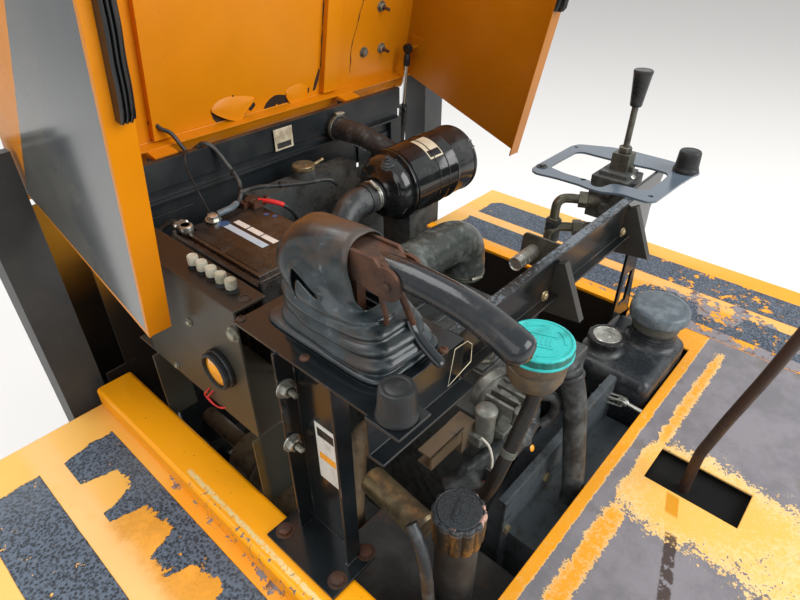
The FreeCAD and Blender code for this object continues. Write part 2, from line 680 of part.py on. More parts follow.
grille = box((-grille_half, grille_half), (S.frame_rear - S.grille_plate, S.frame_rear),
             (S.grille_bottom, lip_bottom))
grille_slots = []
GRILLE_ROWS = 8
for step in range(GRILLE_ROWS):
    for _, side in SIDES:
        slot_z = S.grille_bottom + 40 + S.grille_pitch * step
        grille_slots.append(box(mirrored(side, 20, grille_half - 25),
                                (S.frame_rear - S.grille_plate - 1, S.frame_rear + 1),
                                (slot_z, slot_z + S.grille_slot)))
node("rear_grille", cut(grille, *grille_slots))


# Bonnet: drawn shut with the hinge line at its own origin, then raised about that line.
def turned(thing, y, z, angle):
    thing.setExpression("Placement.Base.y", y.text)
    thing.setExpression("Placement.Base.z", z.text)
    thing.setExpression("Placement.Rotation.Axis.x", "1")
    thing.setExpression("Placement.Rotation.Axis.y", "0")
    thing.setExpression("Placement.Rotation.Axis.z", "0")
    thing.setExpression("Placement.Rotation.Angle", angle.text)
    return thing


def raised(thing):
    return turned(thing, S.hinge_y, S.hinge_z, -S.open_angle)


sheet_low = S.bonnet_top - S.bonnet_sheet
skirt_low = S.bonnet_top - S.bonnet_skirt
outer_x = S.bonnet_half - S.bonnet_sheet
pad_rear = S.bonnet_nose + S.pad_length
top_outline = [
    (-outer_x, S.bonnet_back), (-outer_x, S.bonnet_nose),
    (-S.bonnet_half + S.pad_width, S.bonnet_nose), (-S.bonnet_half + S.pad_width, pad_rear),
    (-S.bonnet_half + S.arm_width, pad_rear), (-S.bonnet_half + S.arm_width, S.bonnet_front),
    (S.console_notch, S.bonnet_front), (S.console_notch, S.bonnet_nose),
    (S.gate_notch, S.bonnet_nose), (S.gate_notch, S.bonnet_front),
    (S.bonnet_half - S.arm_width, S.bonnet_front), (S.bonnet_half - S.arm_width, pad_rear),
    (S.bonnet_half - S.pad_width, pad_rear), (S.bonnet_half - S.pad_width, S.bonnet_nose),
    (outer_x, S.bonnet_nose), (outer_x, S.bonnet_back)]
top_parts = [sheet_body("xy", top_outline, sheet_low, S.bonnet_sheet)]
back_flange_rear = S.bonnet_back + S.bonnet_sheet
top_parts.append(box((-outer_x, outer_x), (S.bonnet_back, back_flange_rear),
                     (skirt_low, S.bonnet_top)))
top_parts.append(box((S.console_notch, S.gate_notch),
                     (S.bonnet_nose, S.bonnet_nose + S.bonnet_sheet), (skirt_low, S.bonnet_top)))
top_parts.append(box((S.console_notch, S.console_notch + S.bonnet_sheet),
                     (S.bonnet_nose, S.bonnet_front), (skirt_low, S.bonnet_top)))
top_parts.append(box((S.gate_notch - S.bonnet_sheet, S.gate_notch),
                     (S.bonnet_nose, S.bonnet_front), (skirt_low, S.bonnet_top)))
STIFFENERS = (-250.0, -40.0, 190.0)
for x in STIFFENERS:
    top_parts.append(box((x, x + S.rib_width), (S.bonnet_front + 30, S.bonnet_back - 6),
                         (sheet_low - S.rib_depth, sheet_low)))
for _, side in SIDES:
    start_x = S.hinge_x * side - S.hinge_length / 2
    leaf = box((start_x, start_x + S.hinge_length), (back_flange_rear, back_flange_rear + 8),
               (-8, S.bonnet_top - 8))
    barrel = rod("x", (start_x, 0, 0), S.knuckle_radius, S.hinge_length)
    bore = rod("x", (start_x - 1, 0, 0), S.pin_radius + S.pin_clearance, S.hinge_length + 2)
    top_parts.append(cut(fuse(leaf, barrel), bore))
node("bonnet_top", raised(fuse(*top_parts)))

# The strut's upper stud stands on the far side panel, beside the rod's eye.
lean = math.radians(float(S.strut_lean))
eye_back = float(S.strut_foot_y) - float(S.strut_length) * math.sin(lean) - float(S.hinge_y)
eye_up = float(S.strut_foot_z) + float(S.strut_length) * math.cos(lean) - float(S.hinge_z)
lift = math.radians(float(S.open_angle))
shut_y = eye_back * math.cos(lift) - eye_up * math.sin(lift)
shut_z = eye_back * math.sin(lift) + eye_up * math.cos(lift)
stud_start = S.strut_x + S.eye_width / 2 + 2
stud = rod("x", (stud_start, shut_y, shut_z), S.stud_radius, outer_x - stud_start)
stud_plate = box((outer_x - 5, outer_x), (shut_y - 22, shut_y + 22), (shut_z - 22, shut_z + 22))

side_outline = [
    (S.bonnet_back, S.bonnet_top), (S.bonnet_tail, S.bonnet_bottom),
    (S.bonnet_front, S.bonnet_bottom), (S.bonnet_front - 47, skirt_low - 30),
    (S.bonnet_nose, skirt_low - 10), (S.bonnet_nose, S.bonnet_top)]
for side_name, side in SIDES:
    panel_start = outer_x if side > 0 else -S.bonnet_half
    side_parts = [sheet_body("yz", side_outline, panel_start, S.bonnet_sheet)]
    side_parts.append(box(mirrored(side, S.bonnet_half - S.bonnet_flange, S.bonnet_half),
                          (S.bonnet_front, S.bonnet_tail - 2),
                          (S.bonnet_bottom, S.bonnet_bottom + S.bonnet_sheet)))
    if side > 0:
        side_parts += [stud, stud_plate]
    node("bonnet_side_" + side_name, raised(fuse(*side_parts)))

seal_edge = S.bonnet_half - S.bonnet_flange
seals = []
for _, side in SIDES:
    seal = box(mirrored(side, seal_edge, seal_edge + S.seal_width),
               (S.bonnet_front + 2, S.seal_rear),
               (S.bonnet_bottom - S.seal_depth, S.bonnet_bottom))
    seals.append(seal)
node("bonnet_seals", raised(fuse(*seals)))


# Gas strut: a tube on a lower pivot and a rod that slides out of it.
def leaned(thing):
    return turned(thing, S.strut_foot_y, S.strut_foot_z, S.strut_lean)


foot_eye = rod("x", (eye_low, 0, 0), S.eye_radius, S.eye_width)
foot_neck = rod("z", (S.strut_x, 0, 0), S.rod_radius, 42)
barrel_tube = rod("z", (S.strut_x, 0, 37), S.tube_radius, S.tube_length - 37)
tube_bore = rod("z", (S.strut_x, 0, 50), S.rod_radius + 0.3, S.tube_length)
foot_bore = rod("x", (eye_low - 1, 0, 0), S.stud_radius + S.pin_clearance, S.eye_width + 2)
node("strut_tube", leaned(cut(fuse(foot_eye, foot_neck, barrel_tube), tube_bore, foot_bore)))
rod_bar = rod("z", (S.strut_x, 0, S.tube_length - S.rod_inside), S.rod_radius,
              S.strut_length - S.tube_length + S.rod_inside)
rod_eye = rod("x", (eye_low, 0, S.strut_length), S.eye_radius, S.eye_width)
node("strut_rod", leaned(fuse(rod_bar, rod_eye)))

# Console on the near rib: base plate, channel post and the top with its opening.
rib_top = S.deck_top + S.rib_height
base_top = rib_top + S.base_plate
under_top = S.console_top - S.console_sheet
web_far = S.post_web + S.console_sheet
post_base = box((-S.wall_x, web_far + 11), (S.post_front_y - 20, S.post_rear_y + 28),
                (rib_top, base_top))
post_web = box((S.post_web, web_far), (S.post_front_y, S.post_rear_y), (base_top, under_top))
rear_flange = box((S.post_near, web_far), (S.post_rear_y - S.console_sheet, S.post_rear_y),
                  (base_top, under_top))
front_flange = box((S.console_near, web_far), (S.post_front_y, S.post_front_y + S.console_sheet),
                   (base_top, under_top))
node("console_post", fuse(post_base, post_web, rear_flange, front_flange))
console_plate = box((S.console_near, S.console_far), (S.console_front, S.console_rear),
                    (under_top, S.console_top))
opening_x = (S.console_near + S.opening_near, S.console_far - S.opening_margin)
opening_y = (S.console_front + S.opening_margin, S.console_rear - S.opening_margin)
opening = box(opening_x, opening_y, (under_top - 1, S.console_top + 1))
skirt_bottom = S.console_top - S.console_skirt
skirt_far = S.console_far - S.console_sheet
front_skirt = box((S.console_near, S.console_far), (S.console_front, S.console_front + S.console_sheet),
                  (skirt_bottom, S.console_top))
far_skirt = box((skirt_far, S.console_far), (S.console_front, S.console_rear),
                (skirt_bottom, S.console_top))
front_ledge = box((S.console_near, S.console_far), (S.beam_front, S.console_front),
                  (skirt_bottom, skirt_bottom + S.console_sheet))
buffer_tab = box((-S.buffer_x - 26, -S.buffer_x + 26), (S.buffer_y - 26, S.console_front),
                 (under_top, S.console_top))
node("console_top", cut(fuse(console_plate, front_skirt, far_skirt, front_ledge, buffer_tab), opening))

# Parking brake: bracket under the opening, lever arm with its channel head, grip, gaiter.
brake_x = (S.console_near + S.console_far) / 2
arm_bottom = S.console_top - 40
head_rear = S.console_rear - 122
head_front = S.console_front + 12
head_bottom = S.console_top + S.brake_rise
brake_foot = box((brake_x - 14, skirt_far), (head_rear - 40, head_rear + 10),
                 (skirt_bottom, arm_bottom))
arm = box((brake_x - 7, brake_x + 7), (head_rear - 30, head_rear), (arm_bottom, head_bottom + 10))
head = box((brake_x - 21, brake_x + 21), (head_front, head_rear),
           (head_bottom, head_bottom + S.brake_head))
head_gap = box((brake_x - 16, brake_x + 16), (head_front - 1, head_rear - 40),
               (head_bottom + S.brake_sheet, head_bottom + S.brake_head + 1))
node("brake_lever", cut(fuse(brake_foot, arm, head), head_gap))
grip_z = head_bottom + S.brake_head / 2 + 3
grip_y = head_rear - 40
grip_start = grip_y - 72
grip_bar = rod("y", (brake_x, grip_start - 10, grip_z), S.grip_bar, grip_y - grip_start + 10)
grip_sleeve = tube([(brake_x, grip_start, grip_z),
                    (brake_x, grip_start - S.grip_length / 2, grip_z - S.grip_fall * 0.22),
                    (brake_x, grip_start - S.grip_length, grip_z - S.grip_fall)], S.grip_radius)
node("brake_grip", fuse(grip_bar, grip_sleeve))

# height above the console, then how far the outline stands out from the opening on four sides
GAITER = ((0.0, 11.0, 9.0, 15.0, 11.0), (45.0, 13.0, 12.0, 20.0, 24.0), (99.6, -8.0, -14.0, -16.0, 6.0))


def gaiter_skin(inset, drop):
    rings = []
    for height, near, far, front, rear in GAITER:
        x0 = float(opening_x[0] - near) + inset
        x1 = float(opening_x[1] + far) - inset
        y0 = float(opening_y[0] - front) + inset
        y1 = float(opening_y[1] + rear) - inset
        z = float(S.console_top + height) - (drop if height > 50 else 0)
        corners = [Vector(x0, y0, z), Vector(x1, y0, z), Vector(x1, y1, z), Vector(x0, y1, z)]
        rings.append(Part.makePolygon(corners + corners[:1]))
    return shape_object(Part.makeLoft(rings, True, True))


skin = float(S.gaiter_sheet)
pocket = box((brake_x - 7.3, brake_x + 7.3), (head_rear - 30.3, head_rear + 0.3),
             (S.console_top - 20, S.console_top + 110))
node("brake_gaiter", cut(gaiter_skin(0, 0), gaiter_skin(skin, skin), pocket))

# Cross beam from the console to the gate plate, the far bracket and the gate plate itself.
beam_low = S.console_top - S.beam_web
beam_top = box((S.console_far, S.beam_end), (S.beam_front, S.beam_front + S.beam_depth),
               (S.console_top - S.beam_sheet, S.console_top))
beam_web = box((S.console_far, S.beam_end), (S.beam_front, S.beam_front + S.beam_sheet),
               (beam_low, S.console_top))
beam_ledge = box((S.console_far, S.beam_end), (S.beam_front - S.beam_ledge, S.beam_front),
                 (beam_low, beam_low + S.beam_sheet))
node("cross_beam", fuse(beam_top, beam_web, beam_ledge))
bracket_foot = S.leg_inner - 8
web_near = bracket_foot - 93
bracket_outline = [
    (web_near, S.deck_top + 66), (bracket_foot - 2, S.deck_top + 46), (bracket_foot, S.deck_top),
    (S.wall_x, S.deck_top), (S.wall_x, S.deck_top + 6), (bracket_foot + 8, S.deck_top + 6),
    (web_near + 69, S.deck_top + 165), (web_near + 59, S.console_top - 80),
    (bracket_foot, S.console_top), (S.beam_end, S.console_top), (S.beam_end, S.console_top - 75),
    (web_near, S.console_top - 75)]
bracket_window = [(web_near + 15, S.deck_top + 95), (web_near + 53, S.deck_top + 95),
                  (web_near + 53, S.deck_top + 175), (web_near + 15, S.deck_top + 175)]
bracket_rear = S.beam_front + S.beam_depth + S.wall_plate
node("far_bracket",
     sheet_body("xz", bracket_outline, bracket_rear, S.wall_plate, [bracket_window]))
gate_outline = [
    (S.gate_near, S.gate_front), (S.gate_far + 26, S.gate_front - 30),
    (S.gate_far + 26, S.gate_front + 34), (S.gate_far - 20, S.gate_front + 70),
    (S.gate_far - 30, S.gate_rear), (S.gate_near, S.gate_rear),
    (S.gate_near + 14, S.gate_rear - 91), (S.gate_near - 4, S.gate_rear - 131)]
rear_window = [(S.gate_near + 26, S.gate_rear - 91), (S.gate_far - 55, S.gate_rear - 91),
               (S.gate_far - 55, S.gate_rear - 19), (S.gate_near + 26, S.gate_rear - 19)]
front_window = [(S.gate_near + 26, S.gate_front + 20), (S.gate_far - 50, S.gate_front + 20),
                (S.gate_far - 50, S.gate_front + 72), (S.gate_near + 26, S.gate_front + 72)]
node("gate_plate",
     sheet_body("xy", gate_outline, S.console_top, S.console_sheet, [rear_window, front_window]))

# Rubber buffers that the bonnet's pads come down over.
buffers = []
for side, seat in ((-1, S.console_top), (1, S.console_top + S.console_sheet)):
    place = (S.buffer_x * side, S.buffer_y, seat)
    buffers.append(taper("z", place, S.buffer_radius, S.buffer_tip, S.buffer_height))
several("rubber_buffers", buffers)

# Skip control: valve block under the gate plate, lever with a tapered knob.
valve_x = S.gate_near + 107
valve_y = S.gate_front + 110
gate_top = S.console_top + S.console_sheet
node("control_valve",
     box((valve_x - 45, valve_x + 30), (valve_y - 36, valve_y + 38), (S.console_top - 95, S.console_top)))
lever_block = box((valve_x - 14, valve_x + 14), (valve_y - 14, valve_y + 14), (gate_top, gate_top + 44))
lever_rod = rod("z", (valve_x, valve_y, gate_top + 44), 5, 92)
lever_knob = taper("z", (valve_x, valve_y, gate_top + 131), 11, 17, 52)
node("skip_lever", fuse(lever_block, lever_rod, lever_knob))

# Selector lever: a bent bar that rises from the transmission through the slot.
selector_x = S.slot_near + 32
selector_y = S.slot_rear - 62
bend_z = S.deck_top + S.selector_bend
node("selector_lever",
     tube([(selector_x, selector_y, S.gear_top), (selector_x, selector_y, bend_z),
           (selector_x, selector_y - S.selector_lean, bend_z + S.selector_rise)],
          S.selector_radius, 40))

# Battery box with its flange, two stays on the rib's inner side, and the battery.
box_inner = S.box_near + S.box_sheet
battery_far = S.battery_near + S.battery_width
battery_rear = S.battery_front + S.battery_length
panel = box((S.box_near, box_inner), (S.box_front, S.box_rear), (S.box_bottom, S.box_top))
top_flange = box((S.box_near, S.box_near + S.box_flange), (S.box_front, S.box_rear),
                 (S.box_top - S.box_sheet, S.box_top))
tray = box((S.box_near, battery_far + 5), (S.box_front, battery_rear + 5),
           (S.box_bottom, S.box_bottom + S.box_sheet))
stays = []
for stay_y in (S.box_front, S.box_rear - 12):
    stays.append(box((-S.rib_inner, S.box_near + 45), (stay_y, stay_y + 5),
                     (rib_top - 30, S.box_bottom)))
node("battery_box", fuse(panel, top_flange, tray, *stays))
node("battery",
     box((S.battery_near, battery_far), (S.battery_front, battery_rear),
         (S.box_bottom + S.box_sheet, S.box_bottom + S.box_sheet + S.battery_height)))

# Engine: a hollow block with its rocker cover, manifold, mounts, fan shaft and filter bracket.
wall = S.casting_wall
rocker_top = S.engine_top + S.rocker_height
manifold_top = S.engine_top + S.manifold_height
block = box((-S.engine_half, S.engine_half), (S.engine_front, S.engine_rear),
            (S.engine_bottom, S.engine_top))
block_hollow = box((wall - S.engine_half, S.engine_half - wall),
                   (S.engine_front - 1, S.engine_rear - wall),
                   (S.engine_bottom + wall, S.engine_top - wall))
rocker_near = S.engine_half * -0.66
rocker_far = S.engine_half * 0.36
engine_parts = [cut(block, block_hollow)]
engine_parts.append(box((rocker_near, rocker_far), (S.engine_front + 80, S.engine_rear - 35),
                        (S.engine_top, rocker_top)))
engine_parts.append(box((rocker_far + 15, S.engine_half - 10),
                        (S.engine_front + 150, S.engine_rear - 120), (S.engine_top, manifold_top)))
for _, side in SIDES:
    for mount_y in (S.engine_front + 190, S.engine_rear - 70):
        engine_parts.append(box(mirrored(side, S.engine_half, S.rail_centre),
                                (mount_y - S.mount_width / 2, mount_y + S.mount_width / 2),
                                (S.rail_height, S.rail_height + S.mount_height)))
fan_shaft_end = S.fan_y + S.fan_hub_length * 0.75
engine_parts.append(rod("y", (0, S.engine_rear, S.fan_z), S.fan_shaft,
                        fan_shaft_end - S.engine_rear))
saddle_near = S.cleaner_near + 60
saddle = box((saddle_near, S.engine_half), (S.cleaner_y - 40, S.cleaner_y + 40),
             (S.engine_top, S.cleaner_z - 60))
saddle_round = rod("x", (saddle_near - 10, S.cleaner_y, S.cleaner_z), S.cleaner_radius,
                   S.engine_half - saddle_near + 20)
engine_parts.append(cut(saddle, saddle_round))
node("engine_block", fuse(*engine_parts))

# Transmission: a hollow casting with a round bell housing against the engine.
gear_bottom = S.gear_top - S.gear_height
bell = rod("y", (0, S.bell_front, S.bell_z), S.bell_radius, S.bell_depth)
bell_hollow = rod("y", (0, S.bell_front + 15, S.bell_z), S.bell_radius - wall, S.bell_depth)
gearbox = box((-S.gear_half, S.gear_half), (S.gear_front, S.bell_front), (gear_bottom, S.gear_top))
gear_hollow = box((wall - S.gear_half, S.gear_half - wall), (S.gear_front + wall, S.bell_front + 16),
                  (gear_bottom + wall, S.gear_top - wall))
node("transmission", cut(fuse(bell, gearbox), bell_hollow, gear_hollow))

# Fan: a hub on the shaft with six pitched blades.
BLADES = 6
BLADE_PITCH = 20


def fan_wheel():
    half_hub = S.fan_hub_length / 2
    hub = rod("y", (0, S.fan_y - half_hub, S.fan_z), S.fan_hub, S.fan_hub_length)
    bore = rod("y", (0, S.fan_y - half_hub - 1, S.fan_z), S.fan_shaft + S.pin_clearance,
               S.fan_hub_length + 2)
    root = float(S.fan_hub - 6)
    blade_width = float(dim(62))
    blades = []
    for step in range(BLADES):
        blade = Part.makeBox(float(S.fan_radius) - root, float(dim(3)), blade_width,
                             Vector(root, float(dim(-1.5)), -blade_width / 2))
        blade.rotate(Vector(0, 0, 0), Vector(1, 0, 0), BLADE_PITCH)
        blade.rotate(Vector(0, 0, 0), Vector(0, 1, 0), 360 / BLADES * step)
        blade.translate(Vector(0, float(S.fan_y), float(S.fan_z)))
        blades.append(shape_object(blade))
    return cut(fuse(hub, *blades), bore)


node("radiator_fan", fan_wheel())

# Radiator: core, top tank with its cap, and two stays to each frame post.
rad_front = S.rad_rear - S.rad_depth
core_top = S.rad_top - S.rad_tank
rad_parts = [box((-S.rad_half, S.rad_half), (rad_front, S.rad_rear), (S.rad_bottom, core_top))]
rad_parts.append(box((-S.rad_tank_half, S.rad_tank_half), (rad_front, S.rad_rear),
                     (core_top, S.rad_top)))
rad_parts.append(rod("z", (4, rad_front + S.rad_depth / 2, S.rad_top), S.rad_cap_radius, 15))
for _, side in SIDES:
    for stay_z in (S.rad_bottom + 10, core_top - 40):
        rad_parts.append(box(mirrored(side, S.rad_half, grille_half + 30),
                             (S.rad_rear - 5, S.rad_rear), (stay_z, stay_z + 30)))
        rad_parts.append(box(mirrored(side, grille_half + 5, grille_half + 30),
                             (S.rad_rear - 5, frame_post_front), (stay_z, stay_z + 30)))
node("radiator", fuse(*rad_parts))

# Air cleaner, its two hoses and the rubber elbow on the manifold.
cleaner = rod("x", (S.cleaner_near, S.cleaner_y, S.cleaner_z), S.cleaner_radius, S.cleaner_length)
cleaner_hollow = rod("x", (S.cleaner_near + 4, S.cleaner_y, S.cleaner_z), S.cleaner_radius - 3,
                     S.cleaner_length - 8)
outlet_z = S.cleaner_z - 5
cleaner_mouth = rod("x", (S.cleaner_near - 1, S.cleaner_y, outlet_z), S.outlet_radius - 5, 10)
node("air_cleaner", cut(cleaner, cleaner_hollow, cleaner_mouth))
hose_x = S.cleaner_near + 125
intake = tube([(hose_x, S.frame_front, S.cleaner_z + 46),
               (hose_x, S.frame_front - 40, S.cleaner_z + 46),
               (hose_x + 10, S.frame_front - 120, S.cleaner_z + 26),
               (hose_x + 16, S.cleaner_y + 50, S.cleaner_z + 6)], S.hose_radius)
cleaner_round = rod("x", (S.cleaner_near, S.cleaner_y, S.cleaner_z), S.cleaner_radius,
                    S.cleaner_length)
turn_x = S.cleaner_near - 135
elbow_start = S.cleaner_near - 40
elbow_x = S.engine_half - 38
outlet = tube([(S.cleaner_near, S.cleaner_y, outlet_z), (turn_x, S.cleaner_y, outlet_z),
               (turn_x, S.elbow_y, S.elbow_z), (elbow_start, S.elbow_y, S.elbow_z)], S.outlet_radius)
several("air_hoses", [cut(intake, cleaner_round), outlet])
node("rubber_elbow",
     tube([(elbow_start, S.elbow_y, S.elbow_z), (elbow_x, S.elbow_y, S.elbow_z),
           (elbow_x, S.elbow_y, manifold_top)], S.elbow_radius, 46))

# The coolant hose rises from the rocker cover and drops to the transmission.
hose_rear = S.engine_front + 110
hose_front = S.engine_front - 102
node("coolant_hose",
     tube([(-60, hose_rear, rocker_top), (-60, hose_rear, rocker_top + 85),
           (-56, S.engine_front - 40, rocker_top + 100), (-50, S.engine_front - 70, rocker_top + 40),
           (-50, hose_front, S.gear_top + 20), (-50, hose_front, S.gear_top)],
          S.coolant_radius, 50))

# Plastic tank on the far rail, fuel tank on the near rail, and their caps.
tank_rear = S.tank_front + S.tank_depth
tank_box = box((S.tank_near, S.tank_far), (S.tank_front, tank_rear), (S.rail_height, S.tank_top))
tank_round = doc.addObject("Part::Fillet", fresh("Round"))
tank_round.Base = tank_box
doc.recompute()
round_by = float(S.tank_round)
tank_round.Edges = [(index + 1, round_by, round_by) for index in range(len(tank_box.Shape.Edges))]
tank_hollow = box((S.tank_near + S.tank_wall, S.tank_far - S.tank_wall),
                  (S.tank_front + S.tank_wall, tank_rear - S.tank_wall),
                  (S.rail_height + S.tank_wall, S.tank_top - S.tank_wall))
big_x = S.tank_far - 56
big_y = S.tank_front + 62
tank_mouth = rod("z", (big_x, big_y, S.tank_top - 20), 30, 40)
node("plastic_tank", cut(tank_round, tank_hollow, tank_mouth))
fuel_rear = S.fuel_front + S.fuel_depth
fuel = box((S.fuel_near, S.fuel_far), (S.fuel_front, fuel_rear), (S.rail_height, S.fuel_top))
fuel_hollow = box((S.fuel_near + S.fuel_sheet, S.fuel_far - S.fuel_sheet),
                  (S.fuel_front + S.fuel_sheet, fuel_rear - S.fuel_sheet),
                  (S.rail_height + S.fuel_sheet, S.fuel_top - S.fuel_sheet))
neck = rod("z", (S.filler_x, S.filler_y, S.fuel_top), S.filler_radius, S.filler_top - S.fuel_top)
neck_bore = rod("z", (S.filler_x, S.filler_y, S.fuel_top - 10), S.filler_radius - 3,
                S.filler_top - S.fuel_top + 20)
node("fuel_tank", cut(fuse(fuel, neck), fuel_hollow, neck_bore))
small_x = S.tank_near + 64
small_y = tank_rear - 40
big_cap = fuse(rod("z", (big_x, big_y, S.tank_top), 48, 62),
               rod("z", (big_x, big_y, S.tank_top + 62), 61, 30))
small_cap = fuse(rod("z", (small_x, small_y, S.tank_top), 34, 20),
                 rod("z", (small_x, small_y, S.tank_top + 20), 40, 16))
fuel_cap = rod("z", (S.filler_x, S.filler_y, S.filler_top), S.filler_cap, S.cap_height)
several("filler_caps", [big_cap, small_cap, fuel_cap])

# Oil filler: a pipe from the engine's side up to a wide neck with its cap.
oil_end_y = S.engine_front + 20
oil_pipe = tube([(S.oil_x, S.oil_y, S.oil_top - 33), (S.oil_x - 7, S.oil_y + 1, S.oil_top - 85),
                 (S.oil_x - 65, S.oil_y + 16, S.oil_top - 235),
                 (S.oil_x - 57, S.oil_y + 52, S.engine_top - 55),
                 (S.oil_x + 5, oil_end_y, S.engine_top - 90),
                 (-S.engine_half, oil_end_y, S.engine_top - 90)], S.oil_pipe_radius, 60)
node("oil_filler",
     fuse(oil_pipe, rod("z", (S.oil_x, S.oil_y, S.oil_top - 45), 29, 45),
          rod("z", (S.oil_x, S.oil_y, S.oil_top), 41, 25)))

# Exhaust: down pipe, silencer and tail pipe, open at the tail.
silencer_x = S.pipe_radius + 8 - grille_half
silencer_rear = S.silencer_front + S.silencer_length
port_z = S.engine_top - 120
down = tube([(-S.engine_half, S.silencer_front + 20, port_z),
             (-S.engine_half - 95, S.silencer_front + 20, port_z),
             (silencer_x, S.silencer_front - 35, port_z - 90),
             (silencer_x, S.silencer_front - 42, S.silencer_z),
             (silencer_x, S.silencer_front + 2, S.silencer_z)], S.pipe_radius, 45)
can = rod("y", (silencer_x, S.silencer_front, S.silencer_z), S.silencer_radius, S.silencer_length)
tail = rod("y", (silencer_x, silencer_rear - 5, S.silencer_z), S.pipe_radius,
           S.tail_end - silencer_rear + 5)
can_hollow = rod("y", (silencer_x, S.silencer_front + S.silencer_sheet, S.silencer_z),
                 S.silencer_radius - S.silencer_sheet, S.silencer_length - 2 * S.silencer_sheet)
tail_bore = rod("y", (silencer_x, silencer_rear - 20, S.silencer_z),
                S.pipe_radius - S.silencer_sheet, S.tail_end - silencer_rear + 30)
node("exhaust", cut(fuse(down, can, tail), can_hollow, tail_bore))

doc.recompute()
failed = [thing.Name for thing in doc.Objects if {"Invalid", "Error"} & set(thing.State)]
if failed:
    raise RuntimeError("failed objects: " + ", ".join(failed))
os.makedirs("parts", exist_ok=True)
for name, thing in nodes:
    shape = thing.Shape
    if shape.isNull() or not shape.isValid():
        raise RuntimeError("bad shape: " + name)
    shape.exportStep("parts/%s.step" % name)
    box_size = shape.BoundBox
    print("%-18s %2d solids %8.0f cm3  x %6.0f %6.0f  y %6.0f %6.0f  z %6.0f %6.0f" % (
        name, len(shape.Solids), shape.Volume / 1000, box_size.XMin, box_size.XMax,
        box_size.YMin, box_size.YMax, box_size.ZMin, box_size.ZMax))
print(len(nodes), "nodes")
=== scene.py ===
# %% [markdown]
# # The open engine bay of a small site dumper
#
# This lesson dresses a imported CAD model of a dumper's rear body section. The bonnet is raised, and the
# parking brake, the battery, the air cleaner and the caps of the tanks can be seen. The CAD model fixes every
# size. The cells below add what a drawing leaves out: rubber that folds, paint that peels, bolts that rust.

# %% Load the frame
from math import copysign, cos, exp, pi, radians, sin, sqrt

import bmesh
import bpy
from mathutils import Matrix, Vector, noise


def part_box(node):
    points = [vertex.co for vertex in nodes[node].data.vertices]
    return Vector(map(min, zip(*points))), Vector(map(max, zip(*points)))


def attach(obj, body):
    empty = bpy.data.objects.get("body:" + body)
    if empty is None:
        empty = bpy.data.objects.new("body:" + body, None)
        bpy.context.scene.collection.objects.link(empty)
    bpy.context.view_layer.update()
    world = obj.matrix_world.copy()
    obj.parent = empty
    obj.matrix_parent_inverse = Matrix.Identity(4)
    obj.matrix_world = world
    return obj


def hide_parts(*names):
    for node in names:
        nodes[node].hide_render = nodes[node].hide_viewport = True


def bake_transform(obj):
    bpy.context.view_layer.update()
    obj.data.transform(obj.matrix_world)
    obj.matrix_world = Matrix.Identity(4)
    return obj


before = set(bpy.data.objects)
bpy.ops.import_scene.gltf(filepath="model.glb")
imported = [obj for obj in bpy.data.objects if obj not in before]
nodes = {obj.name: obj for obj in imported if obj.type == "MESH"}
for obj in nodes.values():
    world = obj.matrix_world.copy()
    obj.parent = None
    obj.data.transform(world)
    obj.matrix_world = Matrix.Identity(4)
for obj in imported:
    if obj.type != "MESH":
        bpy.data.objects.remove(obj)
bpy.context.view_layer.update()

# %% [markdown]
# ## Camera, floor and light
#
# The view stands at the machine's right and looks down over the decks. A wide lens keeps the near deck large.
# The floor could be a curved backdrop, but a wide plain plane keeps its horizon out of this steep view. The
# world is white for the camera and for reflections, and a little darker as a light, so no colour burns out.

# %% Camera
VIEW_PLACE = Vector((-0.746, -0.595, 1.370))
HEADING, FALL, ROLL = radians(42.25), radians(-35.2), radians(-0.28)
look = Vector((cos(FALL) * cos(HEADING), cos(FALL) * sin(HEADING), sin(FALL)))
camera = bpy.data.objects.new("view", bpy.data.cameras.new("view"))
bpy.context.scene.collection.objects.link(camera)
camera.data.lens = 26.06
camera.data.sensor_width = 36
camera.data.clip_start, camera.data.clip_end = 0.02, 200
camera.location = VIEW_PLACE
camera.rotation_mode = "QUATERNION"
camera.rotation_quaternion = look.to_track_quat("-Z", "Y") @ Matrix.Rotation(ROLL, 3, "Z").to_quaternion()
bpy.context.scene.camera = camera
bpy.context.scene.view_settings.view_transform = "Standard"
print("camera looks along", [round(v, 3) for v in look])

# %% World, lamps and floor
WORLD_LIGHT = 0.62
world = bpy.data.worlds.new("studio")
world.use_nodes = True
bpy.context.scene.world = world
sky = world.node_tree
sky.nodes.clear()
rays = sky.nodes.new("ShaderNodeLightPath")
seen = rays.outputs["Is Camera Ray"]
for ray in ("Is Glossy Ray", "Is Transmission Ray"):
    either = sky.nodes.new("ShaderNodeMath")
    either.operation = "MAXIMUM"
    sky.links.new(seen, either.inputs[0])
    sky.links.new(rays.outputs[ray], either.inputs[1])
    seen = either.outputs[0]
strength = sky.nodes.new("ShaderNodeMix")
strength.inputs["A"].default_value = WORLD_LIGHT
strength.inputs["B"].default_value = 1.0
sky.links.new(seen, strength.inputs["Factor"])
light_out = sky.nodes.new("ShaderNodeBackground")
light_out.inputs["Color"].default_value = (1, 1, 1, 1)
sky.links.new(strength.outputs["Result"], light_out.inputs["Strength"])
world_end = sky.nodes.new("ShaderNodeOutputWorld")
sky.links.new(light_out.outputs[0], world_end.inputs[0])


def lamp(name, place, target, size, watts):
    """A square soft lamp that faces a target."""
    data = bpy.data.lights.new(name, "AREA")
    data.size = size
    data.energy = watts
    made = bpy.data.objects.new(name, data)
    made.location = place
    made.rotation_euler = (Vector(target) - Vector(place)).to_track_quat("-Z", "Y").to_euler()
    bpy.context.scene.collection.objects.link(made)


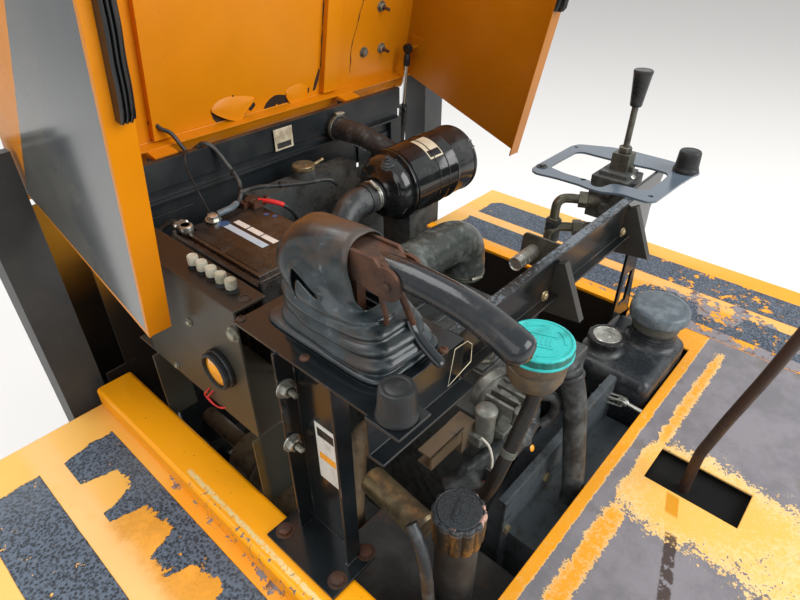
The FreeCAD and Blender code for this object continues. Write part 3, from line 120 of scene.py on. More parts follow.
lamp("key", (1.4, -4.2, 3.4), (0, 0.2, 0.9), 3.6, 265)
lamp("top", (-0.6, 2.2, 4.9), (0, 0, 0.6), 3.0, 150)
lamp("fill", (-3.8, -1.6, 3.0), (0, 0, 0.7), 3.0, 45)
print("world light", WORLD_LIGHT)

# %% [markdown]
# ## Finishes
#
# A finish is a node tree. Written by hand, each sum in it takes three lines, so a small class wraps a socket
# and lets Python's own signs add the Math nodes. A second class holds the tree, and one method of it makes
# every other kind of node. All patterns read object coordinates in metres, so a scale of 100 is a centimetre.

# %% Sockets that can be added and multiplied
class Flow:
    """A socket's number, used in sums as a plain number is."""

    def __init__(self, finish, socket):
        self.finish = finish
        self.socket = socket

    def sum_node(self, operation, first, second):
        node = self.finish.make("ShaderNodeMath", {"operation": operation}, {0: first, 1: second})
        return Flow(self.finish, node.outputs[0])

    def __add__(self, other):
        return self.sum_node("ADD", self, other)

    def __radd__(self, other):
        return self.sum_node("ADD", other, self)

    def __sub__(self, other):
        return self.sum_node("SUBTRACT", self, other)

    def __rsub__(self, other):
        return self.sum_node("SUBTRACT", other, self)

    def __mul__(self, other):
        return self.sum_node("MULTIPLY", self, other)

    def __rmul__(self, other):
        return self.sum_node("MULTIPLY", other, self)

    def __abs__(self):
        return self.sum_node("ABSOLUTE", self, 0.0)

    def higher(self, other):
        return self.sum_node("MAXIMUM", self, other)


# %% The one method that makes nodes, and a finish
class Tree:
    """A node tree that grows by one method."""

    def make(self, kind, settings=None, sockets=None):
        """Adds a node, sets its settings first, then its sockets to values or links."""
        node = self.tree.nodes.new(kind)
        for name, value in (settings or {}).items():
            setattr(node, name, value)
        for name, value in (sockets or {}).items():
            value = getattr(value, "socket", value)
            if isinstance(value, bpy.types.NodeSocket):
                self.tree.links.new(value, node.inputs[name])
            else:
                node.inputs[name].default_value = value
        return node


class Finish(Tree):
    """A material on object coordinates."""

    def __init__(self, name, constants=None):
        self.material = bpy.data.materials.new(name)
        self.material.use_nodes = True
        self.tree = self.material.node_tree
        self.shader = self.tree.nodes["Principled BSDF"]
        self.shader.inputs["Specular IOR Level"].default_value = 0.28
        for socket, value in (constants or {}).items():
            self.shader.inputs[socket].default_value = value
        self.where = Flow(self, self.make("ShaderNodeTexCoord").outputs["Object"])
        split = self.make("ShaderNodeSeparateXYZ", sockets={0: self.where})
        self.x, self.y, self.z = [Flow(self, socket) for socket in split.outputs]

    def clouds(self, scale, detail=3.0, rough=0.55, where=None):
        """Soft noise from 0 to 1."""
        node = self.make("ShaderNodeTexNoise", {"noise_dimensions": "3D"},
                         {"Vector": where or self.where, "Scale": scale, "Detail": detail, "Roughness": rough})
        return Flow(self, node.outputs[0])

    def grit(self, scale, where=None):
        """Distance to scattered points: round grains."""
        node = self.make("ShaderNodeTexVoronoi", sockets={"Vector": where or self.where, "Scale": scale})
        return Flow(self, node.outputs["Distance"])

    def stretched(self, by, turn=(0, 0, 0)):
        """Object coordinates scaled by a factor along each axis."""
        node = self.make("ShaderNodeMapping", sockets={"Vector": self.where, "Scale": by, "Rotation": turn})
        return Flow(self, node.outputs[0])

    def rise(self, value, low, high):
        """0 below low, 1 above high, smooth between."""
        node = self.make("ShaderNodeMapRange", {"interpolation_type": "SMOOTHSTEP"},
                         {"Value": value, "From Min": low, "From Max": high})
        return Flow(self, node.outputs[0])

    def inside(self, value, low, high, soft=0.001):
        """1 where value lies between low and high."""
        return self.rise(value, low - soft, low + soft) * (1 - self.rise(value, high - soft, high + soft))

    def mix(self, factor, first, second):
        """One colour over another."""
        first, second = (c if isinstance(c, Flow) else (*c, 1) for c in (first, second))
        node = self.make("ShaderNodeMix", {"data_type": "RGBA"}, {0: factor, 6: first, 7: second})
        return Flow(self, node.outputs[2])

    def feed(self, name, value):
        """Links a sum to the shader, or sets its socket."""
        if isinstance(value, Flow):
            self.tree.links.new(value.socket, self.shader.inputs[name])
        else:
            self.shader.inputs[name].default_value = value

    def colour(self):
        """The colour that the shader has so far, to be painted over."""
        return Flow(self, self.shader.inputs["Base Color"].links[0].from_socket)

    def relief(self, height, depth, strength=1.0):
        """Small bumps, with their depth in metres."""
        node = self.make("ShaderNodeBump", sockets={"Height": height, "Distance": depth, "Strength": strength})
        self.tree.links.new(node.outputs[0], self.shader.inputs["Normal"])


print("socket sums ready")

# %% [markdown]
# ## Paint that has worked outside
#
# Paint on a machine fails in steps: dust dulls it, chips show the grey primer, and the bare steel in a chip
# rusts and stains what is below. One recipe makes them all, with the share of chips as its number. Edges wear
# first, so each painted piece gets two finishes: one for its faces and a more worn one for its rounded edges.

# %% Paint recipe
RUST = (0.115, 0.040, 0.016)
RUST_LIGHT = (0.20, 0.068, 0.020)
PRIMER = (0.115, 0.100, 0.105)
DUST = (0.20, 0.19, 0.165)
finishes = {}


def paint(name, colour, chips=0.3, rust=0.5, dust=0.2, gloss=0.35, coat=0.0, scale=1.0, shade=0.75):
    """Old paint. chips is about the share that has come off, rust the share of it that is brown."""
    made = Finish(name, {"IOR": 1.5})
    broad = made.clouds(5 * scale, 3, 0.6)
    middle = made.clouds(26 * scale, 5, 0.62)
    fine = made.clouds(170 * scale, 3, 0.6)
    off = 0.76 - 0.26 * chips
    chipped = made.rise(middle * 0.62 + fine * 0.2 + broad * 0.28, off, off + 0.02)
    rusted = chipped * made.rise(made.clouds(60 * scale, 4, 0.65), 0.62 - 0.24 * rust, 0.70 - 0.24 * rust)
    stained = made.rise(middle * 0.5 + broad * 0.5, 0.56, 0.80) * (0.45 * rust)
    dusty = made.rise(broad * 0.5 + made.clouds(11 * scale, 4, 0.7) * 0.5, 0.40, 0.80) * dust
    toned = made.mix(made.rise(broad, 0.3, 0.75), tuple(c * shade for c in colour), colour)
    toned = made.mix(stained, toned, RUST_LIGHT)
    toned = made.mix(dusty, toned, DUST)
    toned = made.mix(chipped, toned, PRIMER)
    toned = made.mix(rusted, toned, made.mix(fine, RUST, RUST_LIGHT))
    made.feed("Base Color", toned)
    made.feed("Roughness", gloss + dusty * 0.5 + chipped * (0.72 - gloss) + (middle - 0.5) * 0.16)
    if coat:
        made.feed("Coat Weight", coat * (1 - chipped))
        made.feed("Coat Roughness", 0.12)
    made.relief((1 - chipped) * 0.7 + rusted * fine * 0.6 + fine * 0.06, 0.0006, 0.8)
    finishes[name] = made.material
    return made


YELLOW = (0.84, 0.300, 0.002)
BONNET_YELLOW = (0.70, 0.238, 0.002)
paint("bonnet_yellow", BONNET_YELLOW, chips=0.10, rust=0.7, dust=0.05, gloss=0.34, shade=0.90)
paint("bonnet_yellow_edge", BONNET_YELLOW, chips=0.46, rust=0.9, dust=0.1, gloss=0.4, scale=1.4)
paint("rib_yellow", YELLOW, chips=0.16, rust=0.12, dust=0.02, gloss=0.34, shade=0.9)
paint("rib_yellow_edge", YELLOW, chips=0.70, rust=0.9, dust=0.1, gloss=0.4, scale=1.4)
paint("frame_grey", (0.014, 0.018, 0.021), chips=0.10, rust=0.5, dust=0.12, gloss=0.34)
paint("frame_grey_edge", (0.022, 0.027, 0.030), chips=0.5, rust=0.35, dust=0.2, gloss=0.45)
paint("post_grey", (0.046, 0.050, 0.052), chips=0.12, rust=0.5, dust=0.20, gloss=0.5)
paint("post_grey_edge", (0.06, 0.062, 0.06), chips=0.5, rust=0.5, dust=0.2, gloss=0.5)
# The braces' grey-brown is lighter than the beam's black: painted light for their lit broad faces.
paint("brace_grey", (0.040, 0.037, 0.032), chips=0.14, rust=0.35, dust=0.10, gloss=0.40)
paint("console_black", (0.007, 0.010, 0.012), chips=0.10, rust=0.22, dust=0.05, gloss=0.20, coat=0.25)
paint("console_black_edge", (0.010, 0.012, 0.013), chips=0.56, rust=0.45, dust=0.1, gloss=0.35, scale=1.5)
# The gate's blue-grey base colour is a painted reflection of the sky on glossy black paint. Its edge finish keeps the
# black.
paint("gate_blue", (0.100, 0.135, 0.175), chips=0.10, rust=0.2, dust=0.10, gloss=0.24, coat=0.4)
paint("gate_blue_edge", (0.010, 0.012, 0.014), chips=0.40, rust=0.3, dust=0.1, gloss=0.30, scale=1.5)
paint("box_khaki_edge", (0.05, 0.045, 0.035), chips=0.6, rust=0.6, dust=0.1, gloss=0.5)
paint("chassis_black", (0.014, 0.015, 0.016), chips=0.24, rust=0.8, dust=0.4, gloss=0.5)
paint("chassis_black_edge", (0.018, 0.018, 0.017), chips=0.6, rust=0.8, dust=0.4, gloss=0.55)


def beam_finish(name):
    """Black paint with painted reflections: pale blue-grey sky on the upper faces and bronze patches on the web."""
    made = paint(name, (0.006, 0.008, 0.009), chips=0.10, rust=0.4, dust=0.06, gloss=0.22, coat=0.3)
    under = made.colour()
    speck = made.clouds(110, 5, 0.7)
    # Painted reflection of the sky on the upper faces: speckled pale blue-grey that fades towards the near end.
    pale = (speck * 0.5 + made.clouds(210, 4, 0.7) * 0.5 + made.clouds(8, 3, 0.6) * 0.5
            + made.rise(made.x, -0.16, 0.14) * 0.16)
    top = made.rise(made.z, 0.9172, 0.9186) * made.rise(pale, 0.78, 0.92)
    # Painted reflection on the web: bronze patches below the upper faces.
    film_and_sheen = made.rise(made.clouds(7, 5, 0.65), 0.52, 0.66) * (1 - made.rise(made.z, 0.9160, 0.9172))
    tone = made.mix(film_and_sheen * 0.4, under, (0.055, 0.032, 0.014))
    made.feed("Base Color", made.mix(top * 0.9, tone, (0.110, 0.138, 0.165)))


def ribs_finish(name):
    """Yellow ribs with a long pale scratch on the near one's top, and chips along its foot."""
    made = paint(name, (0.96, 0.375, 0.002), chips=0.14, rust=0.05, dust=0.02, gloss=0.34, shade=1.0)
    under = made.colour()
    fine = made.clouds(240, 4, 0.7)
    line = made.inside(made.x + (made.clouds(60, 3, 0.6) - 0.5) * 0.006, -0.5175, -0.5095, 0.0012)
    scratch = line * made.inside(made.y, -0.34, 0.108, 0.006) * made.rise(fine, 0.36, 0.50)
    flakes = made.rise(made.clouds(75, 5, 0.7) + made.rise(abs(made.x + 0.524), 0.014, 0.002) * 0.12, 0.69, 0.70)
    flakes = flakes * made.rise(made.y, 0.16, 0.0) * made.rise(made.x, -0.500, -0.506)
    tone = made.mix(scratch * 0.85, under, made.mix(fine, (0.66, 0.50, 0.16), (0.80, 0.72, 0.42)))
    specks = made.rise(made.clouds(150, 2, 0.5), 0.70, 0.72) * made.rise(made.clouds(9, 3, 0.6), 0.44, 0.56)
    tone = made.mix(specks * 0.8, tone, (0.05, 0.035, 0.02))
    made.feed("Base Color", made.mix(flakes, tone, (0.12, 0.125, 0.13)))


ribs_finish("ribs_paint")
finishes["ribs_paint_edge"] = finishes["rib_yellow_edge"]


def box_finish(name):
    """Khaki that the sun has turned amber low down on the box, with a dark, oily top flange."""
    made = paint(name, (0.046, 0.044, 0.033), chips=0.08, rust=0.15, dust=0.08, gloss=0.40)
    under = made.colour()
    broad = made.clouds(9, 4, 0.6)
    low = (made.rise(-1 * made.z + broad * 0.10, -0.78, -0.70) * made.rise(-1 * made.x, 0.440, 0.452)
           * made.rise(-1 * made.y, -0.20, 0.02))
    tone = made.mix(low * 0.6, under, (0.15, 0.082, 0.014))
    oily = made.mix(broad, (0.010, 0.008, 0.006), (0.030, 0.019, 0.012))
    made.feed("Base Color", made.mix(made.rise(made.z, 0.921, 0.9235), tone, oily))


box_finish("box_paint")
finishes["box_paint_edge"] = finishes["box_khaki_edge"]
# Guard paint: yellow plate given a dim amber that is painted shade, darkening to near black towards the bottom, more
# painted shade.
guard = paint("guard_paint", (0.30, 0.13, 0.006), chips=0.14, rust=0.9, dust=0.05)
shaded = guard.colour()
guard.feed("Base Color", guard.mix(guard.rise(-1 * guard.z + guard.clouds(10, 4, 0.6) * 0.12, -0.80, -0.62), shaded,
                                   (0.016, 0.012, 0.009)))
finishes["guard_paint_edge"] = finishes["frame_grey_edge"]
beam_finish("beam_black")
finishes["beam_black_edge"] = finishes["console_black_edge"]
walls = paint("wall_paint", YELLOW, chips=0.2, rust=0.6, dust=0.1)
inward = 1 - walls.rise(abs(walls.x), 0.5022, 0.5034)
wall_tone = walls.colour()
walls.feed("Base Color", walls.mix(inward, wall_tone,
                                   walls.mix(walls.clouds(14, 5, 0.65), (0.008, 0.008, 0.008),
                                             (0.040, 0.028, 0.018))))
finishes["wall_paint_edge"] = finishes["rib_yellow_edge"]
print("paints", len(finishes))

# %% [markdown]
# ## The decks
#
# Each deck carries two black grit strips that were stuck on over the yellow. Their inner edges stay straight,
# while the outer ones tear away in flakes. The strips could be thin meshes, but the tears would need hundreds of
# faces. A mask in the finish is cheaper: a band across X, cut ragged where noise lowers it.

# %% Deck finish
STRIPS = ((0.551, 0.646), (0.687, 0.790))
STRIP_REAR_RIGHT, STRIP_REAR_LEFT = 0.334, 0.362
STRIP_BLACK = (0.048, 0.062, 0.084)
PALE_YELLOW = (0.84, 0.46, 0.10)
DEEP_YELLOW = (0.84, 0.34, 0.012)
BARE_STEEL = (0.225, 0.212, 0.228)


def deck_finish(name, strip_rear, wear, torn_bands):
    """torn_bands lists what is left of the inner strip: from y, to y, and how far out it still reaches."""
    made = Finish(name, {"IOR": 1.5})
    across = abs(made.x)
    broad = made.clouds(4, 3, 0.6)
    middle = made.clouds(22, 6, 0.64)
    fine = made.clouds(180, 3, 0.6)
    ragged = (made.clouds(30, 6, 0.68) - 0.5) * 0.060 + (made.clouds(120, 4, 0.7) - 0.5) * 0.018
    rear = made.y + made.rise(across, 0.765, 0.800) * 0.03 + (made.clouds(26, 5, 0.66) - 0.5) * 0.03
    reach = None
    for low, high, out in torn_bands:
        band = made.inside(made.y, low, high, 0.013) * (out - 0.585)
        reach = band if reach is None else reach.higher(band)
    inner = made.inside(across, STRIPS[0][0], 0.70, 0.0006) * (1 - made.rise(across + ragged - reach, 0.5845, 0.5855))
    inner = inner * (1 - made.rise(across, 0.6455, 0.6465))
    outer = made.inside(across + ragged * wear * 0.3, STRIPS[1][0], STRIPS[1][1], 0.0008)
    strips = inner.higher(outer) * (1 - made.rise(rear, strip_rear - 0.0015, strip_rear + 0.0005))
    flaked = made.rise(middle * 0.6 + made.clouds(7, 3, 0.6) * 0.4 - made.rise(-1 * made.y, 0.05, 0.30) * wear, 0.62,
                       0.625)
    holes = made.rise(made.clouds(40, 5, 0.7) + made.rise(-1 * made.y, 0.05, 0.30) * wear * 0.5, 0.66, 0.665)
    strips = strips * (1 - holes)
    seam = made.rise(across, 0.556, 0.528) * made.rise(-1 * made.y, -0.34, -0.02) * 0.12
    far = made.rise(-1 * made.y, 0.06, 0.36) * made.rise(abs(across - 0.60), 0.16, 0.02) * wear
    chipped = made.rise(middle * 0.62 + fine * 0.22 + broad * 0.16 + seam + far, 0.645, 0.652)
    rusted = chipped * made.rise(made.clouds(48, 4, 0.65), 0.50, 0.62)
    glue = made.inside(across, 0.570, 0.652, 0.014) * made.rise(middle * 0.5 + broad * 0.5, 0.34, 0.50)
    glue = glue * made.inside(made.y, -0.14, 0.15, 0.02)
    pale = made.rise(made.y * 0.5 + broad * 0.3 + across * 0.8, 0.60, 0.80)
    grains = made.clouds(330, 3, 0.7) * 0.6 + made.grit(190) * 0.4
    colour = made.mix(pale, DEEP_YELLOW, PALE_YELLOW)
    colour = made.mix(made.inside(across, 0.640, 0.690, 0.012) * 0.5, colour, (0.88, 0.52, 0.22))
    colour = made.mix(made.rise(middle, 0.45, 0.70) * 0.35, colour, (0.80, 0.40, 0.06))
    colour = made.mix(glue * (0.45 + fine * 0.6), colour, (0.60, 0.24, 0.003))
    colour = made.mix(chipped, colour, BARE_STEEL)
    colour = made.mix(rusted * 0.75, colour, RUST)
    black = made.mix(made.rise(grains, 0.36, 0.62), tuple(c * 0.25 for c in STRIP_BLACK),
                     tuple(c * 2.1 for c in STRIP_BLACK))
    black = made.mix(made.rise(broad + fine * 0.15, 0.50, 0.70) * 0.22, black, (0.16, 0.175, 0.19))
    made.feed("Base Color", made.mix(strips, colour, black))
    made.feed("Roughness", 0.32 + strips * 0.14 + chipped * 0.1 + glue * 0.05 - flaked * 0.02)
    made.relief(strips * (0.55 + grains * 1.3) + (1 - chipped) * 0.25 + glue * fine * 0.3 + fine * 0.05, 0.0014, 1.0)
    finishes[name] = made.material


deck_finish("deck_right", STRIP_REAR_RIGHT, 0.10,
            ((0.250, 0.330, 0.664), (0.140, 0.176, 0.652), (-0.020, 0.046, 0.628), (-0.80, -0.10, 0.640)))
deck_finish("deck_left", STRIP_REAR_LEFT, 0.16, ((-0.17, 0.40, 0.70), (-0.36, -0.21, 0.640), (-0.80, -0.46, 0.66)))
print("strips", STRIPS)

# %% [markdown]
# ## The worn front plate
#
# Boots have stripped this plate to a grey-violet skin. What is left of the yellow follows the plate's shape: a
# strip along the bay's lip, a speckled band behind it, and a field round the slot. Each is a soft mask, and noise
# added before a hard threshold breaks its edge into flakes. Below the bent lever, a rust streak runs down.

# %% Front plate finish
def front_finish(name, edge=0.0):
    made = Finish(name, {"IOR": 1.5})
    broad = made.clouds(5, 3, 0.6)
    middle = made.clouds(24, 6, 0.68)
    fine = made.clouds(210, 4, 0.65)
    grains = made.clouds(95, 5, 0.7)
    side, depth = made.x + (broad - 0.5) * 0.05, made.y + (middle - 0.5) * 0.012
    lip = made.rise(depth, -0.4290, -0.4200)
    band = (made.inside(depth, -0.476, -0.451, 0.011) * made.rise(side, 0.02, 0.12) * made.rise(side, 0.54, 0.42)
            * 0.86)
    field = made.inside(side, -0.075, 0.145, 0.060) * made.rise(depth, -0.436, -0.456)
    field = field * (0.72 + made.rise(abs(made.x - 0.07) + abs(made.y + 0.55), 0.20, 0.09) * 0.28)
    near = made.inside(depth, -0.484, -0.447, 0.012) * made.rise(side, -0.01, -0.09) * 0.9
    leg = made.rise(made.y, -0.42, -0.36) * 0.66
    kept = lip.higher(band).higher(field).higher(near).higher(leg)
    bare = made.rise(middle * 0.30 + grains * 0.36 + fine * 0.34 + (0.5 - kept) * 0.34 + edge, 0.494, 0.502)
    streak = made.inside(made.x + (middle - 0.5) * 0.012 + (made.y + 0.545) * 0.02, -0.170, -0.050, 0.004)
    across_streak = abs(made.y + 0.552 - (made.x + 0.05) * 0.28 + (grains - 0.5) * 0.012)
    streak = streak * made.rise(across_streak, 0.011, 0.008) * made.rise(grains * 0.6 + middle * 0.4, 0.42, 0.47)
    amber = made.inside(made.x, -0.014, 0.027, 0.004) * made.rise(abs(made.y + 0.533 - made.x * 0.3), 0.012, 0.009)
    yellow = made.mix(made.rise(field - lip, 0.2, 0.8), DEEP_YELLOW, PALE_YELLOW)
    yellow = made.mix(made.rise(grains * 0.5 + fine * 0.5 + (1 - kept) * 0.5, 0.50, 0.80) * 0.8, yellow,
                      (0.80, 0.62, 0.34))
    metal = made.mix(made.rise(middle * 0.5 + broad * 0.5, 0.42, 0.62), BARE_STEEL, (0.165, 0.158, 0.172))
    metal = made.mix(made.rise(made.clouds(9, 4, 0.62) + fine * 0.12, 0.62, 0.74) * 0.5, metal, (0.120, 0.105, 0.080))
    metal = made.mix(made.rise(fine, 0.60, 0.72) * 0.35, metal, (0.085, 0.075, 0.072))
    colour = made.mix(bare, yellow, metal)
    colour = made.mix(amber * 0.9, colour, (0.62, 0.25, 0.004))
    colour = made.mix(streak * 0.92, colour, (0.045, 0.026, 0.020))
    made.feed("Base Color", colour)
    made.feed("Roughness", 0.30 + bare * 0.03 + fine * 0.10 + streak * 0.2)
    made.relief((1 - bare) * 0.8 + fine * 0.10 + streak * 0.3, 0.0007, 0.9)
    finishes[name] = made.material


front_finish("front_plate")
front_finish("front_plate_edge", 0.03)

# %% [markdown]
# ## Rubber, plastic, casting and bare metal
#
# None of these is painted, so they age in other ways: rubber greys and gathers dust in its hollows, black
# plastic shines where hands polish it, zinc goes dull with white bloom, and oil keeps a casting dark. Each is
# a base colour, a second colour where noise says so, and a roughness that follows the same noise.

# %% Plain aged materials
def aged(name, colour, other, amount=0.5, gloss=0.4, spread=0.2, metal=0.0, grain=160, depth=0.0003, dust=0.2,
         coat=0.0, rust=0.0):
    """A material that varies between two colours, with dust and, where asked, spots of rust."""
    made = Finish(name)
    broad = made.clouds(9, 4, 0.6)
    middle = made.clouds(42, 5, 0.62)
    fine = made.clouds(grain, 3, 0.65)
    aged_here = made.rise(middle * 0.6 + broad * 0.4, 0.62 - 0.3 * amount, 0.78 - 0.3 * amount)
    dusty = made.rise(broad * 0.6 + fine * 0.4, 0.45, 0.75) * dust
    spots = made.rise(made.clouds(70, 5, 0.66) * 0.7 + broad * 0.3, 0.72 - 0.3 * rust, 0.76 - 0.3 * rust)
    tone = made.mix(aged_here, colour, other)
    tone = made.mix(dusty, tone, DUST)
    rough = gloss + (aged_here - 0.5) * spread + dusty * 0.4 + (fine - 0.5) * 0.08
    if rust:
        tone = made.mix(spots, tone, made.mix(fine, RUST, RUST_LIGHT))
        rough = rough + spots * (0.75 - gloss)
        made.feed("Metallic", metal * (1 - spots) * (1 - dusty))
    elif metal:
        made.feed("Metallic", metal * (1 - dusty))
    made.feed("Base Color", tone)
    made.feed("Roughness", rough)
    if coat:
        made.feed("Coat Weight", coat)
        made.feed("Coat Roughness", 0.1)
    made.relief(fine * 0.6 + middle * 0.4 + (spots * fine if rust else 0.0), depth, 0.8)
    finishes[name] = made.material


aged("rusty_steel", (0.085, 0.036, 0.020), (0.045, 0.026, 0.019), 0.6, 0.62, 0.2, 0.25, 240, 0.0005, 0.1)
aged("bright_zinc", (0.46, 0.46, 0.42), (0.24, 0.235, 0.20), 0.6, 0.38, 0.25, 0.8, 260, 0.0002, 0.25)
aged("old_zinc", (0.30, 0.30, 0.24), (0.13, 0.125, 0.10), 0.6, 0.45, 0.25, 0.6, 220, 0.0003, 0.3, rust=0.25)
aged("lever_brown", (0.048, 0.027, 0.020), (0.030, 0.020, 0.017), 0.5, 0.5, 0.2, 0.15, 240, 0.0005, 0.06)
aged("pipe_dark", (0.012, 0.011, 0.010), (0.040, 0.027, 0.018), 0.4, 0.42, 0.2, 0, 200, 0.0005, 0.10)
# A darker copy of the cap's turquoise for its side faces: painted shade.
aged("turquoise_shaded_side", (0.006, 0.13, 0.11), (0.005, 0.085, 0.075), 0.4, 0.34, 0.15, 0, 260, 0.0003, 0.10)
# Near-black matte used to paint the shadow under the selector slot.
aged("slot_black", (0.0015, 0.0015, 0.0015), (0.003, 0.003, 0.003), 0.4, 0.95, 0.03, 0, 200, 0.0002, 0.02)
aged("rod_chrome", (0.50, 0.51, 0.52), (0.35, 0.36, 0.36), 0.3, 0.14, 0.1, 1.0, 300, 0.00005, 0.05)
aged("dull_rubber", (0.014, 0.015, 0.016), (0.034, 0.037, 0.039), 0.5, 0.50, 0.15, 0, 300, 0.0003, 0.10)
aged("hose_rubber", (0.024, 0.027, 0.029), (0.075, 0.083, 0.084), 0.5, 0.42, 0.18, 0, 260, 0.0003, 0.18)
aged("elbow_rubber", (0.045, 0.052, 0.047), (0.135, 0.155, 0.150), 0.55, 0.36, 0.2, 0, 120, 0.0006, 0.15)
aged("shiny_black", (0.008, 0.009, 0.010), (0.020, 0.021, 0.022), 0.4, 0.18, 0.12, 0, 220, 0.0001, 0.08, coat=0.4)
aged("satin_black", (0.014, 0.015, 0.016), (0.034, 0.035, 0.036), 0.5, 0.36, 0.2, 0, 300, 0.0002, 0.16)
aged("grip_black", (0.010, 0.013, 0.016), (0.034, 0.030, 0.028), 0.35, 0.24, 0.16, 0, 300, 0.0003, 0.05, coat=0.2)
aged("battery_brown", (0.020, 0.014, 0.011), (0.050, 0.034, 0.024), 0.5, 0.28, 0.15, 0, 300, 0.0002, 0.14)
aged("battery_black", (0.008, 0.008, 0.008), (0.022, 0.020, 0.018), 0.5, 0.34, 0.15, 0, 300, 0.0002, 0.15)
aged("sticker_white", (0.70, 0.70, 0.66), (0.45, 0.43, 0.38), 0.4, 0.4, 0.1, 0, 300, 0.00005, 0.15)
aged("sticker_pale", (0.44, 0.56, 0.66), (0.30, 0.42, 0.56), 0.4, 0.4, 0.1, 0, 300, 0.00005, 0.1)
aged("sticker_blue", (0.035, 0.09, 0.22), (0.03, 0.06, 0.13), 0.4, 0.4, 0.1, 0, 300, 0.00005, 0.1)
aged("label_cream", (0.56, 0.50, 0.36), (0.34, 0.28, 0.19), 0.5, 0.42, 0.1, 0, 300, 0.00005, 0.2)
aged("turquoise", (0.030, 0.44, 0.42), (0.018, 0.31, 0.29), 0.4, 0.34, 0.15, 0, 260, 0.0003, 0.10)
aged("casting_grey", (0.16, 0.165, 0.145), (0.060, 0.062, 0.055), 0.55, 0.5, 0.2, 0.35, 200, 0.0006, 0.35, rust=0.2)
aged("casting_dark", (0.080, 0.088, 0.086), (0.030, 0.031, 0.029), 0.55, 0.48, 0.2, 0.15, 200, 0.0006, 0.35)
aged("engine_blue", (0.060, 0.074, 0.083), (0.028, 0.030, 0.029), 0.5, 0.42, 0.2, 0.1, 200, 0.0005, 0.4)
aged("exhaust_skin", (0.22, 0.155, 0.088), (0.100, 0.066, 0.042), 0.5, 0.6, 0.15, 0.15, 120, 0.0006, 0.4, rust=0.3)
aged("brass", (0.30, 0.24, 0.13), (0.14, 0.11, 0.07), 0.6, 0.42, 0.2, 0.7, 200, 0.0004, 0.3)
aged("clear_caps", (0.44, 0.42, 0.33), (0.22, 0.20, 0.13), 0.4, 0.25, 0.1, 0, 200, 0.0001, 0.1)
aged("amber", (0.90, 0.36, 0.012), (0.70, 0.22, 0.010), 0.4, 0.12, 0.05, 0, 200, 0.0001, 0.03, coat=0.5)
aged("wire_red", (0.62, 0.030, 0.030), (0.30, 0.02, 0.02), 0.4, 0.4, 0.1, 0, 200, 0.0001, 0.15)
aged("wire_blue", (0.10, 0.25, 0.50), (0.05, 0.12, 0.25), 0.4, 0.4, 0.1, 0, 200, 0.0001, 0.1)
aged("wire_white", (0.60, 0.58, 0.50), (0.36, 0.33, 0.27), 0.4, 0.4, 0.1, 0, 200, 0.0001, 0.15)
aged("cap_grey", (0.095, 0.122, 0.140), (0.175, 0.215, 0.240), 0.5, 0.36, 0.15, 0, 260, 0.0003, 0.15)
aged("tank_black", (0.018, 0.022, 0.026), (0.046, 0.052, 0.056), 0.5, 0.34, 0.15, 0, 200, 0.0004, 0.25)
aged("collar_grey", (0.095, 0.100, 0.086), (0.050, 0.050, 0.042), 0.5, 0.5, 0.15, 0, 200, 0.0004, 0.25)
aged("neck_brown", (0.110, 0.078, 0.046), (0.055, 0.048, 0.040), 0.5, 0.5, 0.15, 0, 200, 0.0004, 0.25)
print("finishes", len(finishes))

# %% [markdown]
# ## Rounding the sheet metal
#
# The CAD model has knife edges, and light never catches those. Each plate is copied, its loose triangles are
# merged, flat faces are made whole again, and a Bevel modifier rounds its edges by about a millimetre. The
# modifier can give the new faces the second finish, which is how the edges get their wear.

# %% Copy a CAD plate with rounded edges
def surface_of(node):
    """The plate's own outline, merged from loose triangles, flat faces whole."""
    work = bmesh.new()
    work.from_mesh(nodes[node].data)
    bmesh.ops.remove_doubles(work, verts=work.verts, dist=1e-5)
    bmesh.ops.dissolve_limit(work, angle_limit=radians(1.0), use_dissolve_boundaries=False, verts=work.verts,
                             edges=work.edges, delimit=set())
    return work


def baked(piece, smooth=None):
    """Applies the modifiers, shades the mesh smoothly up to an angle, and leaves it plain."""
    graph = bpy.context.evaluated_depsgraph_get()
    whole = bpy.data.meshes.new_from_object(piece.evaluated_get(graph))
    whole.name = piece.name
    piece.modifiers.clear()
    piece.data = whole
    if smooth:
        whole.polygons.foreach_set("use_smooth", [True] * len(whole.polygons))
        whole.set_sharp_from_angle(angle=radians(smooth))


def finished(work, name, *looks, body="body", replaces=None, slot=None, smooth=38.0, bevel=0.0, steps=2, edge_look=1,
             fix_normals=False):
    """Turns the working mesh into a piece that rides a body, with rounded edges in its last look."""
    if fix_normals:
        bmesh.ops.remove_doubles(work, verts=work.verts, dist=1e-6)
        bmesh.ops.recalc_face_normals(work, faces=work.faces)
    mesh = bpy.data.meshes.new(name)
    work.to_mesh(mesh)
    work.free()
    for look_name in looks:
        mesh.materials.append(finishes[look_name])
    piece = bpy.data.objects.new(name, mesh)
    bpy.context.scene.collection.objects.link(piece)
    if bevel:
        rounding = piece.modifiers.new("rounding", "BEVEL")
        rounding.width = bevel
        rounding.segments = steps
        rounding.limit_method = "ANGLE"
        rounding.angle_limit = radians(30)
        rounding.material = min(edge_look, len(looks) - 1)
    baked(piece, smooth)
    if bevel:
        even = piece.modifiers.new("even", "WEIGHTED_NORMAL")
        even.keep_sharp = True
        even.weight = 80
        baked(piece)
    if body:
        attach(piece, body)
    if replaces:
        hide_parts(replaces)
    return piece


def rounded(node, look_name, slot, body="body", bevel=0.0012, edge=True, steps=2):
    """A CAD node dressed in a paint and its worn edge."""
    looks = (look_name, look_name + "_edge") if edge else (look_name,)
    return finished(surface_of(node), node + "_skin", *looks, body=body, replaces=node, slot=slot, bevel=bevel,
                    steps=steps)


